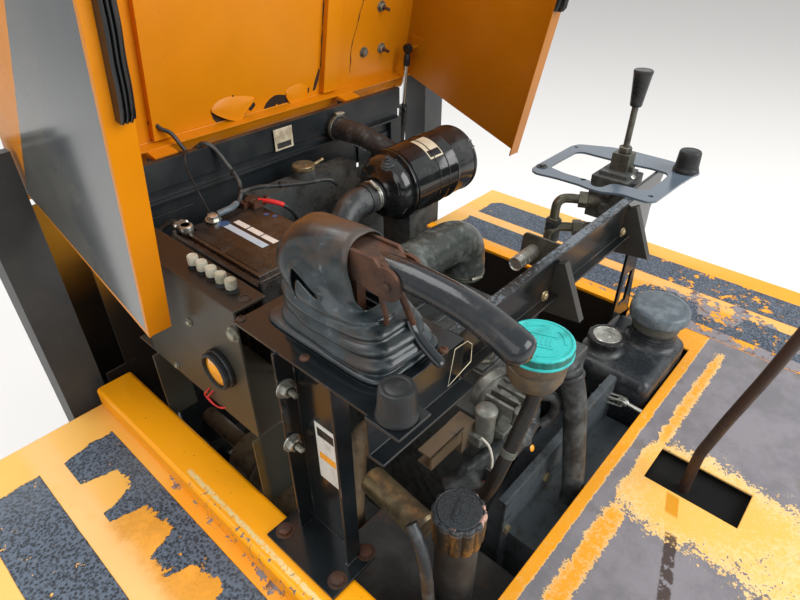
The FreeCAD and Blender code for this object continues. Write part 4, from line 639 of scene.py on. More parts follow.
for deck in ("deck_right", "deck_left"):
    finished(surface_of(deck), deck + "_skin", deck, "rib_yellow_edge", bevel=0.0012, replaces=deck,
             slot="yellow_paint")
rounded("front_plate", "front_plate", "yellow_paint", bevel=0.0014)
ribs = surface_of("bay_ribs")
for vert in ribs.verts:
    if vert.co.x > 0:
        vert.co.x = 0.500 + (vert.co.x - 0.456) * 0.41
        vert.co.z = 0.515 + (vert.co.z - 0.515) * 0.17
finished(ribs, "bay_ribs_skin", "ribs_paint", "ribs_paint_edge", bevel=0.0012, replaces="bay_ribs",
         slot="yellow_paint")
rounded("side_walls", "wall_paint", "yellow_paint")
rounded("bulkhead_plates", "chassis_black", "chassis_paint")
rounded("deck_gussets", "rib_yellow", "yellow_paint")
rounded("chassis_rails", "chassis_black", "chassis_paint", bevel=0.002)
rounded("cross_members", "chassis_black", "chassis_paint", bevel=0.002)
rounded("rear_crossbeam", "chassis_black", "chassis_paint", bevel=0.002)
rounded("roll_posts", "post_grey", "post_paint", bevel=0.003, steps=3)
rounded("frame_posts", "frame_grey", "frame_paint", bevel=0.0015)
rounded("frame_beam", "frame_grey", "frame_paint", bevel=0.0016)
rounded("rear_grille", "frame_grey", "frame_paint", bevel=0.0008)
rounded("console_post", "console_black", "black_paint")
rounded("console_top", "console_black", "black_paint", bevel=0.0014)
beam = surface_of("cross_beam")
for vert in beam.verts:
    if vert.co.y < -0.290:
        vert.co.y += 0.033
finished(beam, "cross_beam_skin", "beam_black", "beam_black_edge", bevel=0.0012, replaces="cross_beam",
         slot="black_paint")


def wall(work, lower, upper, look=0):
    """Faces all round between two rings of points."""
    made = []
    for i in range(len(lower)):
        after = (i + 1) % len(lower)
        made.append(work.faces.new((lower[i], lower[after], upper[after], upper[i])))
        made[-1].material_index = look
    return made


BRACES, BRACE_THICK = (-38, 214), 15
BRACE_OUTLINE = [(-283, 917), (-324, 826), (-250, 817), (-268, 908)]
brace = bmesh.new()
for x in BRACES:
    low, high = ([brace.verts.new((side / 1000, y / 1000, z / 1000)) for y, z in BRACE_OUTLINE]
                 for side in (x, x + BRACE_THICK))
    brace.faces.new(low)
    brace.faces.new(high[::-1])
    wall(brace, high, low)
finished(brace, "beam_braces", "brace_grey", "console_black_edge", bevel=0.0009, fix_normals=True, slot="black_paint")
rounded("far_bracket", "console_black", "black_paint")
rounded("battery_box", "box_paint", "box_paint", bevel=0.0011)

# %% [markdown]
# ## Shapes from profiles and lines
#
# Most parts of an engine bay are turned, bent or pressed. A turned part is a profile spun about an axis, a hose
# is a circle that travels along a line, and a pressed part is a box with soft edges. Three helpers make these in
# a working mesh, in millimetres, so a drawing's numbers can be typed as they are. Directions have the machine's
# own names, and a piece that is only such shapes is one call with a list for each of them.

# %% Turned, swept and pressed shapes
MM = 0.001
LEFT, RIGHT, FRONT, REAR, UP = (1, 0, 0), (-1, 0, 0), (0, -1, 0), (0, 1, 0), (0, 0, 1)


def frame_on(axis):
    """Two directions square to an axis."""
    axis = Vector(axis).normalized()
    side = axis.cross(Vector(UP))
    if side.length < 1e-4:
        side = axis.cross(Vector(REAR))
    side.normalize()
    return side, side.cross(axis) * -1.0


def close_ring(work, ring, look):
    if len(ring) > 1:
        work.faces.new(ring).material_index = look


def turn(work, profile, origin, axis, sides=40, look=0):
    """Spins (radius, height) pairs about an axis; a radius of 0 closes the end."""
    origin, axis = Vector(origin), Vector(axis).normalized()
    side, up = frame_on(axis)
    rings = []
    for radius, height in profile:
        centre = origin + axis * height
        if radius <= 0:
            rings.append([work.verts.new(centre * MM)])
            continue
        ring = []
        for step in range(sides):
            a = 2 * pi * step / sides
            ring.append(work.verts.new((centre + (side * cos(a) + up * sin(a)) * radius) * MM))
        rings.append(ring)
    for lower, upper in zip(rings, rings[1:]):
        for step in range(sides):
            after = (step + 1) % sides
            corners = [lower[step % len(lower)], lower[after % len(lower)], upper[after % len(upper)],
                       upper[step % len(upper)]]
            distinct = list(dict.fromkeys(corners))
            if len(distinct) > 2:
                work.faces.new(distinct).material_index = look
    close_ring(work, rings[0][::-1], look)
    close_ring(work, rings[-1], look)
    return rings


def smooth_line(points, per_span=8):
    """A soft line through the points."""
    points = [Vector(p) for p in points]
    padded = [points[0] * 2 - points[1]] + points + [points[-1] * 2 - points[-2]]
    line = []
    for index in range(len(points) - 1):
        a, b, c, d = padded[index:index + 4]
        for step in range(per_span):
            t = step / per_span
            line.append(0.5 * (2 * b + (c - a) * t + (2 * a - 5 * b + 4 * c - d) * t * t + (3 * b - a - 3 * c + d)
                               * t * t * t))
    line.append(points[-1])
    return line


def sweep(work, line, radius, sides=14, look=0, flat=1.0):
    """Moves a circle along a line; radius may be a number or one for each point."""
    line = [Vector(p) for p in line]
    radii = radius if isinstance(radius, (list, tuple)) else [radius] * len(line)
    heading = (line[1] - line[0]).normalized()
    side, up = frame_on(heading)
    rings = []
    for index, point in enumerate(line):
        before, after = line[max(index - 1, 0)], line[min(index + 1, len(line) - 1)]
        bend = (after - before).normalized()
        turn_by = heading.rotation_difference(bend)
        side, up, heading = turn_by @ side, turn_by @ up, bend
        ring = []
        for step in range(sides):
            a = 2 * pi * step / sides
            out = side * cos(a) * radii[index] + up * sin(a) * radii[index] * flat
            ring.append(work.verts.new((point + out) * MM))
        rings.append(ring)
    for lower, upper in zip(rings, rings[1:]):
        wall(work, lower, upper, look)
    close_ring(work, rings[0][::-1], look)
    close_ring(work, rings[-1], look)


def block(work, x_span, y_span, z_span, matrix=None):
    """A box from three spans, moved by a matrix if one is given."""
    low = Vector((x_span[0], y_span[0], z_span[0]))
    high = Vector((x_span[1], y_span[1], z_span[1]))
    made = bmesh.ops.create_cube(work, size=1.0)
    for vert in made["verts"]:
        point = (low + high) / 2 + Vector(a * b for a, b in zip(vert.co, high - low))
        vert.co = (matrix @ point if matrix else point) * MM


def panel(work, outline, origin, across, along, thickness, look=0, holes=()):
    """A flat plate with holes, drawn in its own plane and given a thickness."""
    across, along = Vector(across).normalized(), Vector(along).normalized()
    through = across.cross(along) * thickness
    edges = []
    new_verts = []
    for loop in (outline, *holes):
        ring = [work.verts.new((Vector(origin) + across * u + along * v) * MM) for u, v in loop]
        new_verts += ring
        edges += [work.edges.new((ring[i], ring[(i + 1) % len(ring)])) for i in range(len(ring))]
    filled = bmesh.ops.triangle_fill(work, use_beauty=True, use_dissolve=False, edges=edges)
    faces = [item for item in filled["geom"] if isinstance(item, bmesh.types.BMFace)]
    bmesh.ops.dissolve_limit(work, angle_limit=0.01, verts=new_verts,
                             edges=list(dict.fromkeys(e for f in faces for e in f.edges)))
    faces = list(dict.fromkeys(f for v in new_verts if v.is_valid for f in v.link_faces))
    grown = bmesh.ops.extrude_face_region(work, geom=faces)["geom"]
    far_verts = [item for item in grown if isinstance(item, bmesh.types.BMVert)]
    for vert in far_verts:
        vert.co += through * MM
    for vert in [v for v in new_verts if v.is_valid] + far_verts:
        for face in vert.link_faces:
            face.material_index = look


def arc(centre, radius, start, end, steps=8):
    """Points on an arc, angles in degrees."""
    return [(centre[0] + radius * cos(radians(start + (end - start) * i / steps)),
             centre[1] + radius * sin(radians(start + (end - start) * i / steps))) for i in range(steps + 1)]


def piece(name, *parts, **options):
    """A piece from the names of its looks and from its shapes, each a maker and what the maker needs."""
    work = bmesh.new()
    for maker, *needs in (part for part in parts if isinstance(part, list)):
        maker(work, *needs)
    finished(work, name, *(part for part in parts if isinstance(part, str)), **options)


print("shape helpers ready")

# %% [markdown]
# ## Bolts by rule
#
# A bay like this holds a hundred bolts, and all are one shape at different places. Copying a mesh by hand is
# slow to change, so Geometry Nodes grow them: every point of a small mesh gets a washer and a hexagon head that
# face along the point's own direction. The tree's named inputs are the head's size and its height.

# %% A Geometry Nodes tree with named inputs
class Pattern(Tree):
    """Grows a repeated shape on points and bakes it to a plain mesh."""

    def __init__(self, name, **inputs):
        self.tree = bpy.data.node_groups.new(name, "GeometryNodeTree")
        face = self.tree.interface
        face.new_socket("Geometry", in_out="INPUT", socket_type="NodeSocketGeometry")
        face.new_socket("Geometry", in_out="OUTPUT", socket_type="NodeSocketGeometry")
        for label, value in inputs.items():
            kind = "NodeSocketInt" if isinstance(value, int) else "NodeSocketFloat"
            socket = face.new_socket(label, in_out="INPUT", socket_type=kind)
            socket.default_value = value
        face.new_socket("Finish", in_out="INPUT", socket_type="NodeSocketMaterial")
        self.entry = self.tree.nodes.new("NodeGroupInput")
        self.exit = self.tree.nodes.new("NodeGroupOutput")

    def given(self, name):
        return self.entry.outputs[name]

    def joined(self, *shapes):
        node = self.tree.nodes.new("GeometryNodeJoinGeometry")
        for shape in reversed(shapes):
            self.tree.links.new(shape, node.inputs[0])
        return node.outputs[0]

    def shifted(self, shape, z):
        place = self.make("ShaderNodeCombineXYZ", sockets={"Z": z})
        return self.make("GeometryNodeTransform",
                         sockets={"Geometry": shape, "Translation": place.outputs[0]}).outputs[0]

    def scaled(self, value, by):
        return self.make("ShaderNodeMath", {"operation": "MULTIPLY"}, {0: value, 1: by}).outputs[0]

    def close(self, shape):
        real = self.make("GeometryNodeRealizeInstances", sockets={0: shape})
        worn = self.make("GeometryNodeSetMaterial",
                         sockets={"Geometry": real.outputs[0], "Material": self.given("Finish")})
        self.tree.links.new(worn.outputs[0], self.exit.inputs[0])
        return self

    def grow(self, name, look, places, body="body", smooth=35, **values):
        """places is a list of (point, direction) in millimetres."""
        mesh = bpy.data.meshes.new(name)
        mesh.from_pydata([Vector(p) * MM for p, _ in places], [], [])
        facing = mesh.attributes.new("facing", "FLOAT_VECTOR", "POINT")
        for index, (_, direction) in enumerate(places):
            facing.data[index].vector = Vector(direction).normalized()
        piece = bpy.data.objects.new(name, mesh)
        bpy.context.scene.collection.objects.link(piece)
        growth = piece.modifiers.new("growth", "NODES")
        growth.node_group = self.tree
        for item in self.tree.interface.items_tree:
            if item.in_out == "INPUT" and item.name in values:
                growth[item.identifier] = values[item.name]
            if item.in_out == "INPUT" and item.name == "Finish":
                growth[item.identifier] = finishes[look]
        baked(piece, smooth)
        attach(piece, body)


def on_points(pattern, shape):
    """Puts a shape on every point, its Z along the point's direction."""
    facing = pattern.make("GeometryNodeInputNamedAttribute", {"data_type": "FLOAT_VECTOR"}, {"Name": "facing"})
    turned = pattern.make("FunctionNodeAlignRotationToVector", {"axis": "Z"}, {"Vector": facing.outputs["Attribute"]})
    return pattern.make("GeometryNodeInstanceOnPoints",
                        sockets={"Points": pattern.given("Geometry"), "Instance": shape,
                                 "Rotation": turned.outputs[0]}).outputs[0]


# %% The bolt: washer, hexagon, chamfered top
bolts = Pattern("hex_bolts", Radius=0.008, Height=0.006)
wide = bolts.given("Radius")
washer = bolts.make("GeometryNodeMeshCylinder", {"fill_type": "NGON"},
                    {"Vertices": 24, "Radius": bolts.scaled(wide, 1.35), "Depth": 0.002})
hexagon = bolts.make("GeometryNodeMeshCylinder", {"fill_type": "NGON"},
                     {"Vertices": 6, "Radius": wide, "Depth": bolts.given("Height")})
chamfer = bolts.make("GeometryNodeMeshCone", {"fill_type": "NGON"},
                     {"Vertices": 24, "Radius Top": bolts.scaled(wide, 0.72),
                      "Radius Bottom": bolts.scaled(wide, 0.90), "Depth": 0.001})
stack = bolts.joined(bolts.shifted(washer.outputs[0], 0.001),
                     bolts.shifted(hexagon.outputs[0], bolts.scaled(bolts.given("Height"), 0.5)),
                     bolts.shifted(chamfer.outputs[0], bolts.given("Height")))
bolts.close(on_points(bolts, stack))

# %% The pan-head screw: a low dome with a cross in it
screws = Pattern("pan_screws", Radius=0.006)
dome = screws.make("GeometryNodeMeshUVSphere", sockets={"Segments": 20, "Rings": 10,
                                                        "Radius": screws.given("Radius")})
low_dome = screws.make("GeometryNodeTransform", sockets={"Geometry": dome.outputs[0], "Scale": (1, 1, 0.55)})
cross = []
for spans in ((1.1, 0.22, 0.5), (0.22, 1.1, 0.5)):
    spread = screws.make("ShaderNodeCombineXYZ",
                         sockets={"X": screws.scaled(screws.given("Radius"), spans[0]),
                                  "Y": screws.scaled(screws.given("Radius"), spans[1]),
                                  "Z": screws.scaled(screws.given("Radius"), spans[2])})
    bar = screws.make("GeometryNodeMeshCube", sockets={"Size": spread.outputs[0]})
    cross.append(screws.shifted(bar.outputs[0], screws.scaled(screws.given("Radius"), 0.55)))
cut_dome = screws.make("GeometryNodeMeshBoolean", {"operation": "DIFFERENCE", "solver": "EXACT"},
                       {"Mesh 1": low_dome.outputs[0]})
for bar in cross:
    screws.tree.links.new(bar, cut_dome.inputs["Mesh 2"])
screws.close(on_points(screws, cut_dome.outputs["Mesh"]))
print("patterns", bolts.tree.name, screws.tree.name)

# %% [markdown]
# ## The brake's rubber gaiter
#
# The gaiter is a thin moulded hood. It is clamped to the console, gathers in soft rings, and closes round the
# brake's steel head, where years of pulling have torn it. A lofted box would look like a box. Here a stack of
# rounded outlines tips from flat at the console to upright at the head. Folds are then pressed into the wall, and
# the tear is cut before the wall gets its thickness, so both lips show.

# %% Rubber finish
skin = Finish("gaiter_rubber", {"IOR": 1.5, "Coat Roughness": 0.16})
broad, middle, fine = skin.clouds(7, 4, 0.6), skin.clouds(34, 5, 0.6), skin.clouds(240, 3, 0.6)
brown = skin.rise(skin.clouds(13, 4, 0.62) + skin.rise(skin.z, 1.02, 1.075) * 0.10, 0.58, 0.72)
# This mix lightens the dark rubber to blue-grey: partly a film of dust, partly a painted sky sheen on the glossy
# rubber.
film_and_sheen = skin.rise(middle * 0.6 + broad * 0.4, 0.42, 0.66)
tone = skin.mix(film_and_sheen, (0.011, 0.017, 0.019), (0.036, 0.050, 0.056))
tone = skin.mix(brown * 0.6, tone, (0.075, 0.046, 0.030))
# Pale blue-grey patches: painted highlights.
tone = skin.mix(skin.rise(middle + fine * 0.2, 0.74, 0.84) * 0.5, tone, (0.16, 0.19, 0.21))
skin.feed("Base Color", tone)
skin.feed("Roughness", 0.24 + film_and_sheen * 0.14 + brown * 0.12 + fine * 0.08)
skin.feed("Coat Weight", 0.30 - brown * 0.15)
skin.relief(middle * 0.4 + fine * 0.25, 0.0006, 0.6)
finishes["gaiter_rubber"] = skin.material

# %% Outlines of the hood, from the console to the brake's head
# front y and z, rear y and z, half width, squareness
HOOD = [(-267, 921.0, -56, 921.0, 61, 7.0), (-268, 924.5, -55, 924.5, 61, 7.0), (-265, 926.0, -60, 926.0, 57, 6.0),
        (-258, 927.0, -84, 927.0, 53, 5.0), (-266, 932.0, -80, 935.0, 61, 4.4), (-267, 940.0, -79, 944.0, 61, 4.0),
        (-252, 945.0, -85, 950.0, 51, 3.6), (-259, 950.0, -80, 957.0, 60, 3.4), (-255, 956.0, -78, 965.0, 59, 3.2),
        (-239, 959.0, -83, 971.0, 49, 3.0), (-247, 963.0, -76, 979.0, 58, 2.8), (-241, 968.0, -74, 988.0, 57, 2.7),
        (-229, 971.0, -77, 995.0, 50, 2.6), (-232, 975.0, -70, 1003.0, 54, 2.5), (-226, 977.0, -68, 1015.0, 53, 2.5),
        (-221, 979.0, -70, 1028.0, 51, 2.4), (-218, 980.0, -78, 1042.0, 48, 2.4), (-216, 980.5, -94, 1055.0, 44, 2.4),
        (-215, 981.0, -116, 1063.0, 40, 2.4), (-214, 981.5, -144, 1067.0, 37, 2.5),
        (-213, 982.0, -172, 1068.5, 34, 2.7), (-212, 982.5, -196, 1067.5, 31, 3.0)]
HOOD_X, HEAD_X = -361.5, -366.5
ROUND_STEPS = 96
hood = bmesh.new()
rings = []
for level, (front_y, front_z, rear_y, rear_z, half_x, square) in enumerate(HOOD):
    share = level / (len(HOOD) - 1)
    front, rear = Vector((0, front_y, front_z)), Vector((0, rear_y, rear_z))
    centre = (front + rear) / 2 + Vector((HOOD_X + (HEAD_X - HOOD_X) * share, 0, 0))
    back = (rear - front) / 2
    ring = []
    for step in range(ROUND_STEPS):
        a = 2 * pi * step / ROUND_STEPS
        c, s = cos(a), sin(a)
        reach = (abs(c) ** square + abs(s) ** square) ** (-1 / square)
        ring.append(hood.verts.new((centre + back * s * reach + Vector((c * reach * half_x, 0, 0))) * MM))
    rings.append(ring)
walls = [wall(hood, lower, upper) for lower, upper in zip(rings, rings[1:])]
hood.normal_update()

# %% Folds, then the tear
LOBE = Vector((-352, -258, 934))
for vert in hood.verts:
    p = vert.co / MM
    up = min(1.0, max(0.0, (p.z - 927) / 10))
    cone = min(1.0, max(0.0, (p.z - 985) / 25))
    drape = noise.noise(Vector((p.x / 46, p.y / 60, p.z / 40 + 4.0)))
    sag = noise.noise(Vector((p.x / 24 + 9.0, p.y / 30, p.z / 26)))
    slope = sin((p.y * 0.55 + p.z + 20) / 13.0) * max(0.0, 1 - abs(p.z - 990) / 30)
    lobe = exp(-((p - LOBE).length / 26) ** 2)
    still = min(1.0, max(0.0, (p.y + 214) / 14)) if p.z > 972 else 1.0
    vert.co += vert.normal * (drape * 5 + sag * (1.5 + cone) + slope * 2.0 + lobe * 7) * up * still * MM
TEAR_LEVEL, TEAR_STEPS = 15, range(43, 53)
lip = {vert for step in TEAR_STEPS for vert in (rings[TEAR_LEVEL + 1][step], rings[TEAR_LEVEL + 1][step + 1])}
torn = [walls[TEAR_LEVEL][step] for step in TEAR_STEPS]
torn += [walls[level][TEAR_STEPS[0] + shift] for level, shift in ((12, 1), (13, 0), (13, 1), (14, 0), (14, 1))]
for vert in lip:
    vert.co += vert.normal * 5 * MM
bmesh.ops.delete(hood, geom=torn, context="FACES")
hood_mesh = bpy.data.meshes.new("brake_gaiter_hood")
hood.to_mesh(hood_mesh)
hood.free()
hood_mesh.materials.append(finishes["gaiter_rubber"])
gaiter = bpy.data.objects.new("brake_gaiter_hood", hood_mesh)
bpy.context.scene.collection.objects.link(gaiter)
soft = gaiter.modifiers.new("soft", "SUBSURF")
soft.levels = soft.render_levels = 1
thick = gaiter.modifiers.new("wall", "SOLIDIFY")
thick.thickness = 0.0022
thick.offset = -1
baked(gaiter)
gaiter.data.polygons.foreach_set("use_smooth", [True] * len(gaiter.data.polygons))
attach(gaiter, "body")
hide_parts("brake_gaiter")
print("gaiter faces", len(gaiter.data.polygons), "rings", len(rings))

# %% [markdown]
# ## The parking brake
#
# The lever's head is a folded channel of steel that has rusted all over. A round bar, the pawl's rod, bends down
# inside it, and a thin blade ends in a black pad that lets the pawl go. The handle is a thick plastic sleeve,
# straight at first and drooping at its end, shiny on top from hands and brown with rust from below.

# %% Head, rod, blade
head = bmesh.new()
head_low, head_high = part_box("brake_lever")
NEAR_CHEEK, FAR_CHEEK, CHEEK = -387.5, -345.5, 5.0
cheek = [(-160, 1022), (-160, 1060), (-232, 1062)] + arc((-249, 1037), 20, 62, 262, 12) + [(-232, 1018), (-205, 1023)]
for start in (NEAR_CHEEK, FAR_CHEEK - CHEEK):
    panel(head, cheek, (start, 0, 0), REAR, UP, CHEEK)
block(head, (NEAR_CHEEK + 4, FAR_CHEEK - 4), (-236, -160), (1051, 1058))
turn(head, [(12, 0), (13.5, 1.5), (13.5, FAR_CHEEK - NEAR_CHEEK - 10.5), (12, FAR_CHEEK - NEAR_CHEEK - 9)],
     (NEAR_CHEEK + 4.5, -238, 1044), LEFT, 32)
turn(head, [(4, -4), (5, -3), (5, 46), (4, 47)], (NEAR_CHEEK - 1, -252, 1036), LEFT, 20)
turn(head, [(4, -3), (4.5, 44)], (NEAR_CHEEK - 1, -176, 1042), LEFT, 16)
finished(head, "brake_head", "rusty_steel", bevel=0.0009, fix_normals=True)
piece("pawl_rod", "rusty_steel", [sweep, smooth_line([(-379, -214, 1052), (-379, -232, 1036), (-380, -236, 1010),
                                                      (-376, -238, 985), (-372, -233, 968)]), 3.2, 12])
blade = bmesh.new()
sweep(blade, smooth_line([(-354, -222, 1020), (-349, -236, 1000), (-344, -250, 962)]), 3.0, 10, flat=1.6)
finished(blade, "release_blade", "rusty_steel")
pad = bmesh.new()
sweep(pad, smooth_line([(-343, -243, 968), (-344, -254, 954), (-346, -272, 942), (-347, -292, 932),
                        (-347, -299, 930)], 5), [4, 6, 6.6, 7, 7, 7, 7.2, 7.5, 8, 8, 8, 8, 8, 8, 8, 8, 7.6, 7, 6, 4.5,
                                                 2.5], 16, flat=0.55)
finished(pad, "release_pad", "grip_black", smooth=60)

# %% Handle
handle = bmesh.new()
handle_line = smooth_line([(HEAD_X, -205, 1044), (HEAD_X, -262, 1044), (HEAD_X, -330, 1041), (HEAD_X, -378, 1030),
                           (HEAD_X, -412, 1016)], 10)
handle_radii = []
for index, point in enumerate(handle_line):
    share = index / (len(handle_line) - 1)
    swell = 12.5 + 5.0 * min(1.0, share / 0.28) + 1.6 * max(0.0, share - 0.5) * 2
    tip_round = sqrt(max(0.02, 1 - max(0.0, (share - 0.90) / 0.10) ** 2))
    handle_radii.append(swell * tip_round)
sweep(handle, handle_line, handle_radii, 36)
handle.normal_update()
for vert in handle.verts:
    vert.co.z += 2.2 * MM * max(0.0, -vert.normal.z - 0.2)
finished(handle, "brake_handle", "grip_black", smooth=70, replaces="brake_grip", slot="black_plastic")
piece("brake_arm", "rusty_steel", [block, (HEAD_X - 7, HEAD_X + 7), (-190, -160), (880, 1022)],
      [block, (HEAD_X - 14, -285), (-200, -150), (850, 880)], bevel=0.001, replaces="brake_lever", slot="bare_steel")
print("brake from", [round(v, 3) for v in head_low], "to", [round(v, 3) for v in head_high])

# %% [markdown]
# ## Air cleaner and hoses
#
# The cleaner is a pressed steel can in glossy black, in two halves that meet at a rolled bead, with a domed end
# where the outlet leaves. Its hoses are rubber: a ribbed one in, a smooth one out that is held by a worm clamp.
# Turning gives the can its beads, sweeping gives the hoses, and the clamp's slots are grown by Geometry Nodes.

# %% The can
CAN_Y, CAN_Z = 175.0, 870.0
can_start, can_end = (corner.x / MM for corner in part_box("air_cleaner"))
can_profile = [(31, 0), (33, 2), (40, 6), (52, 9), (60, 14), (65, 22), (67, 30), (67, 40), (70, 41), (74.6, 42.5),
               (75, 45), (74.6, 47.5), (71, 49), (70.5, 52), (74, 54), (74, 178), (74.6, 179.5), (75, 182),
               (74.6, 184.5), (73, 186), (72.6, 188), (73, 190), (73, 240), (74.6, 241), (75, 244), (74.6, 247),
               (72, 250), (66, 251), (64, 249), (20, 247), (0, 246.6)]
can = bmesh.new()
turn(can, can_profile, (can_start, CAN_Y, CAN_Z), LEFT, 72)
for x in (can_start + 120, can_start + 150):
    turn(can, [(75, 0), (75.0, 0.4), (75, 2)], (x, CAN_Y, CAN_Z), LEFT, 72)
finished(can, "air_cleaner_can", "shiny_black", smooth=30, replaces="air_cleaner", slot="black_plastic")

# %% Wire clips on the far end, the valve on the near end, a bare label place
clips = bmesh.new()
for a in (20, 140, 260):
    out = Vector((0, cos(radians(a)), sin(radians(a))))
    side = Vector(LEFT).cross(out)
    root = Vector((can_end, CAN_Y, CAN_Z)) + out * 70
    wire = [root + side * -9 + Vector((-12, 0, 0)) + out * 4, root + side * -8 + out * 4 + Vector((-2, 0, 0)),
            root + out * 1 + Vector(RIGHT) + side * -5, root + out * -6 + Vector((-1.6, 0, 0)),
            root + out * 1 + Vector(RIGHT) + side * 5, root + side * 8 + out * 4 + Vector((-2, 0, 0)),
            root + side * 9 + Vector((-12, 0, 0)) + out * 4]
    sweep(clips, smooth_line(wire, 5), 1.1, 8)
finished(clips, "cleaner_clips", "bright_zinc")
piece("cleaner_valve", "hose_rubber", [turn, [(17, -14), (17, 0), (15, 2), (15, 5), (12, 7), (12, 10), (8, 12),
                                              (8, 15), (5, 17), (5, 20), (0, 21)],
                                       (can_start + 22, CAN_Y - 16, CAN_Z + 56), (-0.35, -0.2, 1), 28], smooth=30)


def can_label(name, look, x_span, a_span, radius):
    """A thin bare sticker that lies on the can."""
    work = bmesh.new()
    grid = []
    for i in range(2):
        row = []
        for j in range(9):
            a = radians(a_span[0] + (a_span[1] - a_span[0]) * j / 8)
            row.append(work.verts.new(Vector((x_span[i], CAN_Y + cos(a) * radius, CAN_Z + sin(a) * radius)) * MM))
        grid.append(row)
    for j in range(8):
        work.faces.new((grid[0][j], grid[0][j + 1], grid[1][j + 1], grid[1][j]))
    bmesh.ops.recalc_face_normals(work, faces=work.faces)
    for face in work.faces:
        if face.normal.dot(face.calc_center_median() - Vector((0, CAN_Y, CAN_Z)) * MM) < 0:
            face.normal_flip()
    finished(work, name, look, smooth=60)


can_label("cleaner_sticker", "label_cream", (can_start + 108, can_start + 150), (88, 137), 74.35)
can_label("cleaner_sticker_band", "satin_black", (can_start + 111, can_start + 147), (122, 134), 74.5)
print("can", round(can_start), "to", round(can_end))

# %% Hoses
hoses = bmesh.new()
hose_x = can_start + 125
intake_line = smooth_line([(hose_x, 430, CAN_Z + 46), (hose_x, 395, CAN_Z + 46), (hose_x + 5, 345, CAN_Z + 42),
                           (hose_x + 11, 295, CAN_Z + 30), (hose_x + 15, 240, CAN_Z + 12),
                           (hose_x + 16, 205, CAN_Z + 4)], 12)
intake_radii = []
for index in range(len(intake_line)):
    share = index / (len(intake_line) - 1)
    ribbed = 0.22 < share < 0.60
    intake_radii.append(25.0 + (0.9 * sin(index * 2.2) if ribbed else 0) + (1.0 if share < 0.12 else 0))
sweep(hoses, intake_line, intake_radii, 40)
outlet_line = smooth_line([(can_start + 4, CAN_Y, CAN_Z - 5), (can_start - 30, CAN_Y, CAN_Z - 5),
                           (can_start - 74, CAN_Y - 2, CAN_Z - 9), (can_start - 108, CAN_Y - 14, CAN_Z - 34),
                           (can_start - 124, CAN_Y - 54, CAN_Z - 66), (can_start - 110, CAN_Y - 116, CAN_Z - 86),
                           (can_start - 104, CAN_Y - 142, CAN_Z - 84), (can_start - 84, CAN_Y - 154, CAN_Z - 81)], 10)
sweep(hoses, outlet_line, 28.5, 36)
finished(hoses, "air_hose_pair", "hose_rubber", smooth=50, replaces="air_hoses", slot="black_rubber")
piece("hose_cuffs", "dull_rubber", [turn, [(27.5, 0), (30.5, 0.5), (31, 4), (31, 30), (30.2, 33), (29, 35), (28, 35)],
                                    (can_start - 36, CAN_Y, CAN_Z - 5), LEFT, 48],
      [turn, [(26.5, 0), (28.6, 0.5), (29, 3), (29, 20), (28.2, 22), (26.5, 22)], (hose_x, 430, CAN_Z + 46), FRONT,
       48])

# %% Worm clamps, their slots grown round the band
slots = Pattern("clamp_slots", Radius=0.031, Slots=40)
circle = slots.make("GeometryNodeCurvePrimitiveCircle", {"mode": "RADIUS"},
                    {"Resolution": slots.given("Slots"), "Radius": slots.given("Radius")})
slot_points = slots.make("GeometryNodeCurveToPoints", {"mode": "EVALUATED"}, {"Curve": circle.outputs[0]})
groove = slots.make("GeometryNodeMeshCube", sockets={"Size": (0.0007, 0.0011, 0.006)})
slot_ring = slots.make("GeometryNodeInstanceOnPoints",
                       sockets={"Points": slot_points.outputs["Points"], "Instance": groove.outputs[0],
                                "Rotation": slot_points.outputs["Rotation"]})
slots.close(on_points(slots, slot_ring.outputs[0]))


def clamp(name, centre, axis, radius, screw_out, look="bright_zinc"):
    """A steel band with its worm housing."""
    wide = 9.0
    axis = Vector(axis).normalized()
    band = bmesh.new()
    base = Vector(centre) - axis * wide / 2
    turn(band, [(radius, 0), (radius + 0.9, 0.2), (radius + 0.9, wide - 0.2), (radius, wide)], base, axis, 56)
    out = Vector(screw_out).normalized()
    tangent = axis.cross(out).normalized()
    seat = Vector(centre) + out * (radius + 4)
    turn(band, [(4.2, -11), (4.6, -10), (4.6, 8), (3.6, 9)], seat, tangent, 18)
    turn(band, [(3.4, 9), (3.4, 15), (2.6, 16)], seat, tangent, 6)
    finished(band, name, look, bevel=0.0003, steps=1)
    slots.grow(name + "_slots", "dull_rubber", [(centre, axis)], Radius=(radius + 0.75) * MM)


clamp("outlet_clamp", (can_start - 14, CAN_Y, CAN_Z - 5), LEFT, 31.1, (-0.2, -0.5, 1))
clamp("intake_clamp", (hose_x, 415, CAN_Z + 46), REAR, 28.9, (0.1, 0, 1), look="old_zinc")

# %% The rubber elbow on the manifold
elbow_low, elbow_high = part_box("rubber_elbow")
elbow = bmesh.new()
elbow_line = smooth_line([(-58, 21, 789), (-14, 21, 789), (36, 21, 789), (84, 20, 786), (118, 20, 772),
                          (134, 20, 746), (137, 20, 690)], 10)
elbow_radii = [43.0 + 1.2 * sin(i / (len(elbow_line) - 1) * pi) + (1.0 if i < 6 or i > len(elbow_line) - 8 else 0)
               for i in range(len(elbow_line))]
sweep(elbow, elbow_line, elbow_radii, 44)
finished(elbow, "manifold_elbow", "elbow_rubber", smooth=60, replaces="rubber_elbow", slot="grey_rubber")
clamp("elbow_clamp", (137, 20, 698), UP, 44.6, (-0.4, -1, 0.1), look="old_zinc")
print("elbow height mm", round((elbow_high.z - elbow_low.z) * 1000))

# %% [markdown]
# ## Battery
#
# The battery is a moulded case with a brown-black lid. The lid has a stepped rim, raised vent strips, two lead
# posts and white stripe stickers, here left plain. A corroded clamp with its red cable sits on the rear post.
# Everything on the lid is small and flat, so pressed blocks with soft edges are enough.

